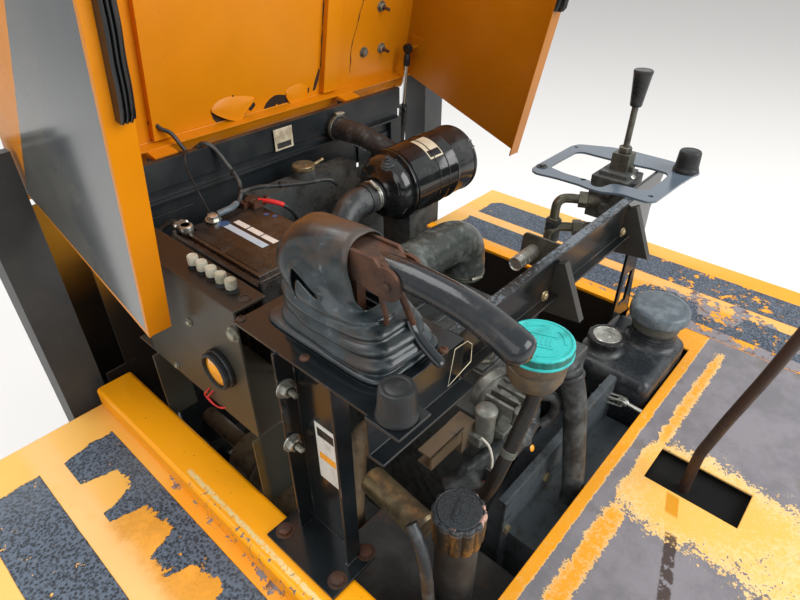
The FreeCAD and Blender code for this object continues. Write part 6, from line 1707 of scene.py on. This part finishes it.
# %% Torn holes, ragged seams and the cable's grommet
# The holes are thin dark patches, not cut through: their dark is painted shade seen through them and under the torn
# flaps. The ragged seams are torn paint in the same dark.
aged("torn_dark", (0.020, 0.014, 0.010), (0.055, 0.026, 0.014), 0.4, 0.75, 0.1, 0, 200, 0.0004, 0.1)
torn = bmesh.new()
HOLES = (((-112, -46), (-107, -30), (-96, -15), (-70, -9), (-40, -10), (-22, -15), (-26, -27), (-50, -22),
          (-88, -36)), ((-32, -44), (-18, -41), (-1, -43), (1, -36), (-4, -30), (-12, -25), (-20, -33)),
         ((24, -23), (30, -33), (41, -41), (54, -46), (67, -45), (86, -40), (91, -27), (99, -14), (88, -16),
          (78, -23), (70, -17), (60, -25), (52, -17), (43, -21), (34, -14)),
         ((146, -41), (157, -43), (156, -31), (149, -27)),
         ((184, -83), (188, -80), (185, -56), (176, -33), (168, -32), (174, -58)),
         ((229, -47), (243, -49), (242, -43), (231, -42)))
for shape in HOLES:
    panel(torn, shape, lifted(0, 0, 47.5), LEFT, -ALONG_SHEET, 0.9)


def ragged_line(work, points, width, seed):
    """A torn paint seam: a flat line whose edges wander."""
    line = smooth_line([lifted(x, y, z) for x, y, z in points], 16)
    radii = [width * (0.45 + 1.1 * abs(noise.noise(p * 0.045 + Vector((seed, 0, 0))))) for p in line]
    drift = [p + Vector((noise.noise(p * 0.06 + Vector((0, seed, 0))) * 2.2, 0, 0)) for p in line]
    sweep(work, drift, radii, 6, flat=0.35)


ragged_line(torn, [(190, -300, 47.2), (190, -232, 47.2), (189.5, -176, 47.2), (189.5, -85, 47.2)], 2.2, 3.0)
ragged_line(torn, [(322, -300, 47.8), (314, -219, 47.8), (296, -150, 47.8), (288, -114, 47.8), (288, -52, 47.8)], 1.9,
            8.0)
ragged_line(torn, [(234.5, -330, 47.2), (234.5, -180, 47.2), (234.5, -70, 47.2)], 1.0, 5.0)
finished(torn, "bonnet_torn_paint", "torn_dark", body="bonnet", smooth=40, fix_normals=True)
piece("bonnet_grommet", "satin_black", [turn, [(6.0, 0), (9.0, 0.3), (10.2, 1.6), (10.0, 3.0), (8.4, 3.8), (6.2, 3.6),
                                               (5.4, 2.4), (5.2, 0.6)], lifted(-241, -60, 48), OUT_OF_SHEET, 32],
      [turn, [(2.6, 0), (2.4, 0.5), (0, 0.6)], lifted(-56, -69, 47.8), OUT_OF_SHEET, 14], body="bonnet", smooth=50,
      fix_normals=True)

# %% Nuts on their studs, grown by rule
SHEET_NUTS = ((377, -198), (394, -96), (331, -96), (-377, -198), (-394, -96), (-331, -96))
bolts.grow("bonnet_nuts", "old_zinc", [(lifted(x, y, 48), OUT_OF_SHEET) for x, y in SHEET_NUTS], body="bonnet",
           Radius=0.0095, Height=0.008)
bolts.grow("bonnet_studs", "rusty_steel", [(lifted(x, y, 40), OUT_OF_SHEET + Vector((0.25, 0, -0.1)))
                                           for x, y in SHEET_NUTS[:2] + SHEET_NUTS[3:5]], body="bonnet",
           Radius=0.0042, Height=0.017)
print("nuts", len(SHEET_NUTS))

# %% [markdown]
# The seal along each bottom flange is an extruded rubber strip: three glossy channels and a flat edge. Its
# cross-section is drawn once and pulled along the flange, and it bows a little between its clips.

# %% Seals
def seal_section(side):
    """Points across the strip: x away from the middle of the machine, and how far it stands proud."""
    inner, points = 463.0, [(463.0, 0.0), (463.0, 7.0), (464.0, 8.0), (468.2, 8.0)]
    for lobe in range(3):
        centre = inner + 8.6 + lobe * 5.3
        for a in range(0, 181, 20):
            points.append((centre - 2.45 * cos(radians(a)), 11.5 + 6.0 * sin(radians(a))))
        points.append((centre + 2.65, 9.5))
    points[-1] = (484.8, 9.0)
    points.append((485.0, 0.0))
    return [(x * side, out) for x, out in points]


seals = bmesh.new()
SEAL_FRONT, SEAL_REAR, FLANGE_LEVEL = -510.0, -300.0, -357.0
for side in (-1, 1):
    section = seal_section(side)
    rings = []
    for step in range(25):
        share = step / 24
        y = SEAL_FRONT + (SEAL_REAR - SEAL_FRONT) * share
        end = min(1.0, min(share, 1 - share) * 14 + 0.72)
        bow = 0.4 * sin(share * 21)
        rings.append([seals.verts.new(lifted(x + bow * side * (out > 1), y, FLANGE_LEVEL - out * end) * MM)
                      for x, out in section])
    for lower, upper in zip(rings, rings[1:]):
        wall(seals, lower, upper)
    seals.faces.new(rings[0])
    seals.faces.new(rings[-1])
aged("seal_rubber", (0.007, 0.008, 0.009), (0.022, 0.024, 0.024), 0.4, 0.22, 0.16, 0, 200, 0.0002, 0.10, coat=0.3)
finished(seals, "bonnet_seal_strips", "seal_rubber", body="bonnet", smooth=50, fix_normals=True,
         replaces="bonnet_seals", slot="black_rubber")
print("seal sections", len(seal_section(1)))

# %% [markdown]
# ## Cables over the bay
#
# A black cable leaves the grommet and dips over the top beam to the battery, a thin wire follows it, and a branch
# in grey sleeve ends at a zinc nut. They are plugged or clamped at both ends, so each is a swept circle. The short
# length up to the grommet is a piece of its own, attached to no body.

# %% Cables
cables = bmesh.new()
TRUNK = [(-208, 464, 948), (-201, 456, 950), (-193, 447, 959), (-183, 438, 966), (-170, 426, 957), (-161, 410, 932),
         (-157, 379, 901), (-166, 360, 889), (-176, 345, 884), (-196, 326, 880), (-220, 312, 879)]
sweep(cables, smooth_line(TRUNK, 6), 4.2, 14)
sweep(cables, smooth_line([(-176, 345, 888), (-142, 328, 893), (-106, 310, 889), (-60, 288, 886), (-14, 268, 884),
                           (4, 262, 868)], 6), 4.4, 14)
finished(cables, "bay_cables", "hose_rubber", smooth=60, slot="black_rubber")
rising = bmesh.new()
sweep(rising, smooth_line([lifted(-241, -60, 52), lifted(-241, -60, 40), lifted(-236, -52, 28), (-222, 480, 985),
                           (-208, 464, 948), (-203, 458, 949)], 6), 4.2, 14)
rising_piece = finished(rising, "bonnet_cable", "hose_rubber", body=None, smooth=60)
lifted(-236, -52, 28) * MM
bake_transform(rising_piece)
piece("bay_thin_wire", "satin_black", [sweep, smooth_line([(-215, 474, 949), (-215, 456, 951), (-217, 447, 958),
                                                           (-223, 438, 963), (-233, 424, 961), (-247, 402, 947),
                                                           (-257, 365, 925), (-260, 328, 885), (-262, 318, 880)], 6),
                                       1.6, 8], smooth=60)
piece("bay_cable_sleeve", "cap_grey", [sweep, smooth_line([(-204, 321, 881), (-222, 313, 881), (-240, 311, 881),
                                                           (-252, 312, 880)], 6), 6.2, 16], smooth=60)
ties = bmesh.new()
for place, heading in (((-171, 352, 886), (0.5, 0.8, 0.3)), ((-106, 310, 889), (-1, 0.5, 0)),
                       ((-158, 390, 909), (0, 0.8, 0.6))):
    turn(ties, [(5.0, -1.8), (5.6, -1.6), (5.6, 1.6), (5.0, 1.8)], place, heading, 20)
    block(ties, (-2, 2), (-2.4, 2.4), (0, 4.5), matrix=Matrix.Translation(Vector(place) + Vector((0, 0, 4.2))))
finished(ties, "cable_ties", "satin_black")
bolts.grow("earth_nut", "bright_zinc", [((-262, 313, 872), (0, -0.1, 1))], Radius=0.011, Height=0.010)
print("trunk points", len(TRUNK))

# %% [markdown]
# ## The skip lever and its gate
#
# The gate is a flat plate with one bent opening and a hook in the middle of its near edge. It is drawn as an
# outline and a hole and given the plate's thickness, so the hook keeps its soft corners. The lever, its nut and
# its block are turned and pressed shapes, and the two rubber buffers are turned as well.

# %% Gate plate
def softened(outline, reach=7.0, steps=3):
    """Cuts each corner of a closed outline with a short curve."""
    soft = []
    for index, corner in enumerate(outline):
        here = Vector(corner)
        before, after = Vector(outline[index - 1]), Vector(outline[(index + 1) % len(outline)])
        first = here + (before - here).normalized() * min(reach, (before - here).length * 0.4)
        last = here + (after - here).normalized() * min(reach, (after - here).length * 0.4)
        for step in range(steps + 1):
            t = step / steps
            soft.append(tuple(first * (1 - t) ** 2 + here * 2 * t * (1 - t) + last * t * t))
    return soft


GATE_EDGE = [(226, -62), (264, -60), (327, -60), (392, -60), (412, -68), (441, -128), (449, -172), (448, -246),
             (442, -296), (424, -318), (402, -312), (355, -308), (246, -304), (233, -294), (232, -275), (234, -246),
             (227, -231), (217, -211), (217, -186), (221, -165), (220, -120), (214, -78)]
GATE_OPENING = [(259, -84), (314, -84), (366, -85), (376, -96), (377, -162), (380, -208), (385, -237), (382, -268),
                (372, -275), (339, -277), (274, -274), (271, -242), (268, -217), (257, -210), (236, -206),
                (230, -193), (236, -183), (250, -178), (250, -121)]
gate = bmesh.new()
GATE_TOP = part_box("gate_plate")[1].z / MM
rings = [[(x, y) for x, y in softened(GATE_OPENING)]]
for x, y, radius in ((391, -71, 4.2), (250, -72, 7.0), (246, -163, 5.0), (258, -288, 5.0)):
    rings.append(arc((x, y), radius, 0, 340, 12))
panel(gate, softened(GATE_EDGE), (0, 0, GATE_TOP - 4), LEFT, REAR, 4, holes=rings)
finished(gate, "gate_plate_skin", "gate_blue", "gate_blue_edge", smooth=30, bevel=0.0008, fix_normals=True,
         replaces="gate_plate", slot="gate_steel")
piece("gate_stud", "satin_black", [turn, [(6.9, 0), (11, 0), (11.2, 0.8), (10.6, 1.6), (7.4, 1.6), (6.9, 0.8)],
                                   (250, -72, GATE_TOP), UP, 28],
      [turn, [(4.6, -3), (5.2, 1.0), (4.4, 3.2), (0, 3.6)], (250, -72, GATE_TOP), UP, 20], fix_normals=True)
print("gate top mm", round(GATE_TOP, 1))

# %% Lever, nut and block
LEVER_X, LEVER_Y = 352.0, -190.0
aged("lever_olive", (0.105, 0.103, 0.082), (0.050, 0.048, 0.038), 0.5, 0.42, 0.2, 0.45, 260, 0.0003, 0.15)
lever = bmesh.new()
turn(lever, [(6, 40), (6, 118), (6.2, 119)], (LEVER_X, LEVER_Y, GATE_TOP), (0.02, 0, 1), 24)
turn(lever, [(10, 30), (13.2, 31), (13.2, 40.5), (10.5, 42), (6.2, 42.2)], (LEVER_X, LEVER_Y, GATE_TOP), (0.02, 0, 1),
     6)
block(lever, (-17, 17), (-17, 17), (-18, 30), matrix=Matrix.Translation((LEVER_X, LEVER_Y, GATE_TOP)))
block(lever, (17, 24), (-9, 12), (14, 27), matrix=Matrix.Translation((LEVER_X, LEVER_Y, GATE_TOP)))
block(lever, (-5, 5), (-25, -17), (-14, 6), matrix=Matrix.Translation((LEVER_X, LEVER_Y, GATE_TOP)))
knob = bmesh.new()
turn(knob, [(6.3, 117.5), (9.6, 118), (10.8, 119.5), (11.2, 122), (13.6, 146), (16.6, 174), (17.6, 179.5),
            (17.0, 182), (15.4, 182.8), (14.6, 182.2), (8, 182.4), (0, 182.5)], (LEVER_X, LEVER_Y, GATE_TOP),
     (0.02, 0, 1), 40)
finished(lever, "skip_lever_steel", "lever_olive", bevel=0.0009, fix_normals=True, replaces="skip_lever",
         slot="bare_steel")
finished(knob, "skip_lever_knob", "satin_black", smooth=32, fix_normals=True, replaces="skip_lever",
         slot="black_plastic")
bolts.grow("lever_block_bolts", "bright_zinc", [((330, -180, 905), (-0.2, -0.2, 1)),
                                                ((378, -206, 905), (0.1, -0.3, 1)),
                                                ((344, -214, 908), (0, -0.6, 0.8))], Radius=0.0085, Height=0.009)

# %% Rubber buffers with their studs
buffers = bmesh.new()
SEATS = ((-431, -304, 920.0), (414, -292, 924.0))
for x, y, seat in SEATS:
    turn(buffers, [(20, 0), (23.6, 0.6), (24.0, 3), (23.2, 6.5), (21.9, 8.5), (21.5, 13), (20.7, 28), (20.4, 34),
                   (20.0, 38), (18.6, 40.6), (16.4, 41.4), (13.4, 40.4), (12.2, 41.0), (8, 41.7), (0, 41.9)],
         (x, y, seat), UP, 52)
finished(buffers, "buffer_pair", "dull_rubber", smooth=40, fix_normals=True, replaces="rubber_buffers",
         slot="black_rubber")
studs = bmesh.new()
for x, y, seat in SEATS:
    turn(studs, [(9.5, 0), (9.5, -7), (5.0, -7.2), (5.0, -20), (4.2, -21), (0, -21)], (x, y, seat - 4), UP, 24)
finished(studs, "buffer_studs", "brass", smooth=30, fix_normals=True)
print("buffers", len(SEATS))

# %% [markdown]
# ## Control valve, hydraulic elbows and the capped stub
#
# Below the gate sits a cast valve block with plugs. Two bent steel elbows leave its near side, each held by a
# hexagon nut, and go down into crimped hose ends. A zinc stub points across the bay from a plate on the beam.

# %% Valve
valve_low, valve_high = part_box("control_valve")
body_valve = bmesh.new()
block(body_valve, (valve_low.x / MM, valve_high.x / MM), (valve_low.y / MM, valve_high.y / MM),
      (valve_low.z / MM, valve_high.z / MM - 8))
block(body_valve, (valve_low.x / MM + 12, valve_high.x / MM - 10), (valve_low.y / MM + 8, valve_high.y / MM - 8),
      (valve_high.z / MM - 8, valve_high.z / MM))
for z in (850, 885):
    turn(body_valve, [(15, -6), (15, 0), (12, 0.6), (12, 5), (10, 6), (0, 6)], (valve_low.x / MM - 1, -190, z), RIGHT,
         6)
    turn(body_valve, [(14, 0), (14, 9), (9, 10), (9, 16), (0, 16)], (345, valve_low.y / MM - 0.5, z), FRONT, 28)
finished(body_valve, "valve_casting", "casting_dark", bevel=0.002, fix_normals=True, replaces="control_valve",
         slot="engine_casting")

# %% Elbows, nuts and hoses
aged("plated_olive", (0.125, 0.122, 0.090), (0.060, 0.055, 0.040), 0.55, 0.40, 0.2, 0.5, 240, 0.0003, 0.2, rust=0.1)
elbows = bmesh.new()
hose_ends = bmesh.new()
for bend in ([(270, -106, 812), (270, -106, 838), (272, -108, 850), (280, -114, 857), (290, -126, 858),
              (300, -146, 858)], [(258, -104, 752), (259, -104, 778), (262, -108, 790), (270, -116, 797),
                                  (280, -128, 798), (292, -146, 798)]):
    sweep(elbows, smooth_line(bend, 8), 9.5, 24)
    out = (Vector(bend[-1]) - Vector(bend[-2])).normalized()
    start = Vector(bend[-1]) - out * 8
    turn(elbows, [(9, 0), (16.5, 1), (16.5, 18), (14, 19), (14, 26), (9, 26)], start, out, 6)
    turn(elbows, [(13, 24), (13, 44), (10, 45)], start, out, 28)
    turn(elbows, [(10.5, -2), (13, 0), (13, 3), (10.5, 5)], bend[0], UP, 28)
    foot = Vector(bend[0])
    turn(hose_ends, [(14, 0), (16.2, -1), (16.5, -4), (15.7, -6), (16.5, -12), (15.7, -14), (16.5, -20), (16.5, -46),
                     (13.4, -48)], foot, UP, 32)
    sweep(hose_ends, smooth_line([foot + Vector((0, 0, -40)), foot + Vector((-1, 0, -110)),
                                  foot + Vector((-6, 0, -165)), foot + Vector((-34, 2, -205)),
                                  (200, foot.y + 2, foot.z - 222), (152, foot.y + 2, foot.z - 224)], 8), 12.5, 22)
finished(elbows, "hydraulic_elbows", "plated_olive", smooth=40, bevel=0.0005, fix_normals=True)
finished(hose_ends, "hydraulic_hoses", "hose_rubber", smooth=40, fix_normals=True)
# The stub's bore is lined in the same dark: painted shade inside it.
piece("hydraulic_stub", "bright_zinc", "torn_dark",
      [turn, [(10, 2), (12.2, 0), (12.8, 0.4), (12.8, 10), (12.2, 11), (12.2, 14), (13, 15), (13, 22), (12.4, 23),
              (12.4, 27), (13.4, 28), (13.4, 60), (12, 66)], (26, -165, 838), LEFT, 36],
      [turn, [(10, 2), (10, 30), (0, 31)], (26, -165, 838), LEFT, 36, 1], smooth=30, fix_normals=True)
piece("stub_plate", "lever_olive", [panel, softened([(-254, 806), (-254, 868), (-140, 868), (-136, 806)], 9),
                                    (88, 0, 0), REAR, UP, 5], bevel=0.0007, fix_normals=True)
print("elbows", 2)

# %% [markdown]
# ## Radiator, fan, exhaust and gas strut
#
# Little of these shows, but each has its own make. The radiator's core is hundreds of thin fins, grown along a
# line by Geometry Nodes. The fan is pressed steel, the silencer is rolled sheet with folded seams, and the gas
# strut is a painted tube round a polished rod.

# %% Radiator
finished(surface_of("radiator"), "radiator_shell", "casting_dark", bevel=0.0012, replaces="radiator",
         slot="radiator_black")
FINS = 110
fins = Pattern("fin_stack", Count=FINS, Pitch=0.0048, Width=0.43, Depth=0.054, Thick=0.0008)
fin_size = fins.make("ShaderNodeCombineXYZ", sockets={"X": fins.given("Width"), "Y": fins.given("Depth"),
                                                      "Z": fins.given("Thick")})
fin = fins.make("GeometryNodeMeshCube", sockets={"Size": fin_size.outputs[0]})
fin_step = fins.make("ShaderNodeCombineXYZ", sockets={"Z": fins.given("Pitch")})
fin_line = fins.make("GeometryNodeMeshLine", {"mode": "OFFSET", "count_mode": "TOTAL"},
                     {"Count": fins.given("Count"), "Offset": fin_step.outputs[0]})
fin_rows = fins.make("GeometryNodeInstanceOnPoints",
                     sockets={"Points": fin_line.outputs[0], "Instance": fin.outputs[0]})
fins.close(on_points(fins, fin_rows.outputs[0]))
fins.grow("radiator_fins", "casting_dark", [((0, 370, 260), UP)])
cap = bmesh.new()
turn(cap, [(18, 0), (24, 1), (24.6, 3), (24, 6), (25, 7), (25.4, 9), (24.6, 11.5), (21, 13), (12, 13.6), (11, 14.8),
           (0, 15)], (4, 370, 873), UP, 44)
turn(cap, [(4, 0), (4.4, 6), (3.6, 18), (4.6, 20), (3.8, 24), (0, 24)], (30, 364, 878), (0.9, -0.2, 0.3), 16)
for a in (40, 220):
    turn_by = Matrix.Translation((4, 370, 880)) @ Matrix.Rotation(radians(a), 4, "Z")
    block(cap, (20, 29), (-7, 7), (-3, 2.5), matrix=turn_by)
finished(cap, "radiator_cap", "brass", bevel=0.0006, smooth=40, fix_normals=True, slot="radiator_black")
print("fins", FINS)

# %% Fan
finished(surface_of("radiator_fan"), "fan_blades", "satin_black", body="fan", bevel=0.0006, replaces="radiator_fan",
         slot="radiator_black")
fan_place = Vector((0, 300, 545))
piece("fan_hub", "casting_dark", [turn, [(12.2, -16), (40, -15.5), (43, -13), (43.4, 13), (40, 15.5), (12.2, 16)],
                                  fan_place, REAR, 48], body="fan", bevel=0.0006, fix_normals=True)
bolts.grow("fan_bolts", "old_zinc", [(fan_place + Vector((cos(a) * 28, 15.8, sin(a) * 28)), REAR)
                                     for a in (0.4, 0.4 + pi / 2, 0.4 + pi, 0.4 + 1.5 * pi)], body="fan",
           Radius=0.0065, Height=0.005)

# %% Exhaust
finished(surface_of("exhaust"), "exhaust_line", "exhaust_skin", smooth=35, replaces="exhaust", slot="exhaust_skin")
SILENCER_X, SILENCER_Z, SILENCER_FRONT = -317.0, 315.0, -128
seams = bmesh.new()
for y in (SILENCER_FRONT + 0.5, SILENCER_FRONT + 311.5):
    turn(seams, [(54, -4), (58.6, -5), (60.2, -3), (60.4, 0), (60.2, 3), (58.6, 5), (54, 4)],
         (SILENCER_X, y, SILENCER_Z), REAR, 60)
for y in (SILENCER_FRONT + 95, SILENCER_FRONT + 215):
    turn(seams, [(57.5, -12), (59.2, -11), (59.2, 11), (57.5, 12)], (SILENCER_X, y, SILENCER_Z), REAR, 60)
finished(seams, "silencer_seams", "exhaust_skin", smooth=35, fix_normals=True)
print("silencer from y", SILENCER_FRONT)

# %% Gas strut
finished(surface_of("strut_tube"), "strut_tube_skin", "satin_black", body="strut_tube", bevel=0.0006,
         replaces="strut_tube", slot="black_paint")
finished(surface_of("strut_rod"), "strut_rod_skin", "rod_chrome", body="strut_rod", smooth=40, replaces="strut_rod",
         slot="rod_chrome")
STRUT_X, FOOT_Y, FOOT_Z, LEAN = 456.0, 505.0, 670.0, 6.2
STRUT_WAY = Vector((0, -sin(radians(LEAN)), cos(radians(LEAN))))
foot_point = Vector((STRUT_X, FOOT_Y, FOOT_Z))
piece("strut_socket", "satin_black", [turn, [(6.2, 326), (8.4, 327), (8.8, 330), (8.6, 352), (7, 356)], foot_point,
                                      STRUT_WAY, 28],
      [turn, [(9.4, -7), (11.5, -6), (12.4, 0), (11.5, 6), (9.4, 7)], foot_point + STRUT_WAY * 369, LEFT, 32],
      body="strut_rod", fix_normals=True)
piece("strut_collar", "shiny_black", [turn, [(5.6, 219), (10.6, 219.6), (11.6, 217), (11.7, 206), (11.0, 204)],
                                      foot_point, STRUT_WAY, 32],
      [turn, [(11.0, 44), (11.7, 43), (11.6, 37), (9, 35)], foot_point, STRUT_WAY, 32], body="strut_tube",
      fix_normals=True)
print("strut leans by", LEAN)

# %% [markdown]
# ## Fasteners, plates and wear marks
#
# The small things tell the eye how big the machine is. Zinc nuts on studs hold the console post, rusty cross-head
# screws hold its top, and hexagon bolts hold the beam, the floor plate and the rib. Every place of a plate or a
# sticker stays bare.

# %% Bolts and screws by place
POST_NUTS = [(-447, -125.2, 855), (-450, -125.2, 756)]
bolts.grow("post_nuts", "bright_zinc", [(p, FRONT) for p in POST_NUTS], Radius=0.0105, Height=0.009)
bolts.grow("post_studs", "old_zinc", [((x, y - 8, z), FRONT) for x, y, z in POST_NUTS], Radius=0.0045, Height=0.014)
TOP_SCREWS = [(-442, -42, 920), (-437, -162, 920), (-317, -275, 920), (-300, -120, 920)]
screws.grow("console_screws", "rusty_steel", [(p, UP) for p in TOP_SCREWS], Radius=0.0068)
BASE_BOLTS = [(-478, -228, 565), (-478, -110, 565), (-420, -228, 565), (-420, -100, 565)]
bolts.grow("base_bolts", "rusty_steel", [(p, UP) for p in BASE_BOLTS], Radius=0.0105, Height=0.008)
bolts.grow("box_bolts", "old_zinc", [((-445.2, -21, 886), RIGHT), ((-445.2, 326, 886), RIGHT)], Radius=0.009,
           Height=0.007)
bolts.grow("box_small_bolts", "old_zinc", [((-445.2, 106, 842), RIGHT), ((-445.2, 200, 700), RIGHT)], Radius=0.005,
           Height=0.004)
bolts.grow("plate_bolts", "old_zinc", [((x, y, 520), UP) for x, y in ((-440, -735), (440, -735), (-440, -430),
                                                                      (180, -735), (-180, -735), (470, -262))],
           Radius=0.0095, Height=0.006)
bolts.grow("beam_bolts", "brass", [((-90, -283.3, 886), FRONT), ((170, -283.3, 886), FRONT)], Radius=0.006,
           Height=0.004)
bolts.grow("bay_bolts", "brass", [((-195, -331.5, 480), FRONT), ((-150, -331.5, 440), FRONT),
                                  ((-70, -331.5, 500), FRONT), ((60, -331.5, 500), FRONT),
                                  ((150, -331.5, 440), FRONT)], Radius=0.0095, Height=0.009)
rail_places = [((x, y, z), (copysign(1, x), 0, 0)) for x in (-415.3, 415.3) for y in range(-700, 501, 150)
               for z in (40, 100)]
bolts.grow("rail_bolts", "rusty_steel", rail_places, Radius=0.011, Height=0.009)
print("bolts on rails", len(rail_places))

# %% Bare places of plates and stickers
def flat_label(name, look, corners, lift):
    """A thin bare sticker through four corners, standing a little proud of what carries it."""
    work = bmesh.new()
    corners = [Vector(c) for c in corners]
    lift = Vector(lift)
    low = [work.verts.new(c * MM) for c in corners]
    high = [work.verts.new((c + lift) * MM) for c in corners]
    work.faces.new(low[::-1])
    work.faces.new(high)
    wall(work, low, high)
    finished(work, name, look, fix_normals=True, slot="black_plastic")


flat_label("beam_label", "label_cream", [(-24, 425, 907), (26, 425, 907), (26, 425, 954), (-24, 425, 954)],
           (0, -0.5, 0))
flat_label("beam_label_field", "satin_black", [(-18, 424.5, 911), (20, 424.5, 911), (20, 424.5, 923),
                                               (-18, 424.5, 923)], (0, -0.3, 0))
flat_label("post_plate", "sticker_white", [(-430, -155, 693), (-430, -195, 693), (-430, -195, 804),
                                           (-430, -155, 804)], (-0.5, 0, 0))
flat_label("post_plate_amber", "amber", [(-430.5, -159, 735), (-430.5, -191, 735), (-430.5, -191, 748),
                                         (-430.5, -159, 748)], (-0.2, 0, 0))
flat_label("post_plate_dark", "satin_black", [(-430.5, -159, 780), (-430.5, -191, 780), (-430.5, -191, 796),
                                              (-430.5, -159, 796)], (-0.2, 0, 0))


def outline_mark(name, look, points, level, width):
    """A closed thin line lying on a level plate."""
    work = bmesh.new()
    centre = sum((Vector(p) for p in points), Vector((0, 0))) / len(points)
    rings = []
    for shrink, z in ((1.0, level - 0.2), (1.0, level + 0.25), (0.0, level + 0.25), (0.0, level - 0.2)):
        ring = []
        for p in points:
            away = Vector(p) - centre
            place = centre + away * (1 - (0 if shrink else width / max(away.length, 1)))
            ring.append(work.verts.new(Vector((place.x, place.y, z)) * MM))
        rings.append(ring)
    for lower, upper in zip(rings, rings[1:] + rings[:1]):
        wall(work, lower, upper)
    finished(work, name, look, fix_normals=True)


outline_mark("console_mark", "label_cream", [(-363, -318), (-311, -312), (-284, -294), (-283, -286), (-306, -284)],
             920, 1.1)
print("bare places", 4)

# %% Guards that close the gaps beside the frame
# The near guard wears the guard paint, whose dim amber and darker foot are painted shade.
piece("near_guard", "guard_paint", "guard_paint_edge", [block, (-499, -387), (437, 440), (146, 572)],
      [block, (-457, -387), (437, 440), (571, 822)], [block, (-512, -425), (517.2, 519.4), (300, 918)], bevel=0.0008,
      slot="frame_paint")
baffles = bmesh.new()
for side in (-1, 1):
    block(baffles, tuple(sorted((side * 233, side * 344))), (434, 437), (160, 856))
finished(baffles, "radiator_baffles", "frame_grey", "frame_grey_edge", bevel=0.0008, slot="frame_paint")
print("guards", 3)

# %% [markdown]
# ## The floor
#
# The floor is the plainest thing here: one pale plane that keeps the shadow.

# %% Floor
floor_mesh = bpy.data.meshes.new("floor")
FLOOR_REACH = 40.0
floor_mesh.from_pydata([(-FLOOR_REACH, -FLOOR_REACH, 0), (FLOOR_REACH, -FLOOR_REACH, 0),
                        (FLOOR_REACH, FLOOR_REACH, 0), (-FLOOR_REACH, FLOOR_REACH, 0)], [], [(0, 1, 2, 3)])
floor = bpy.data.objects.new("floor", floor_mesh)
bpy.context.scene.collection.objects.link(floor)
pale = Finish("pale_floor", {"Base Color": (0.80, 0.79, 0.77, 1), "Roughness": 0.9})
floor_mesh.materials.append(pale.material)
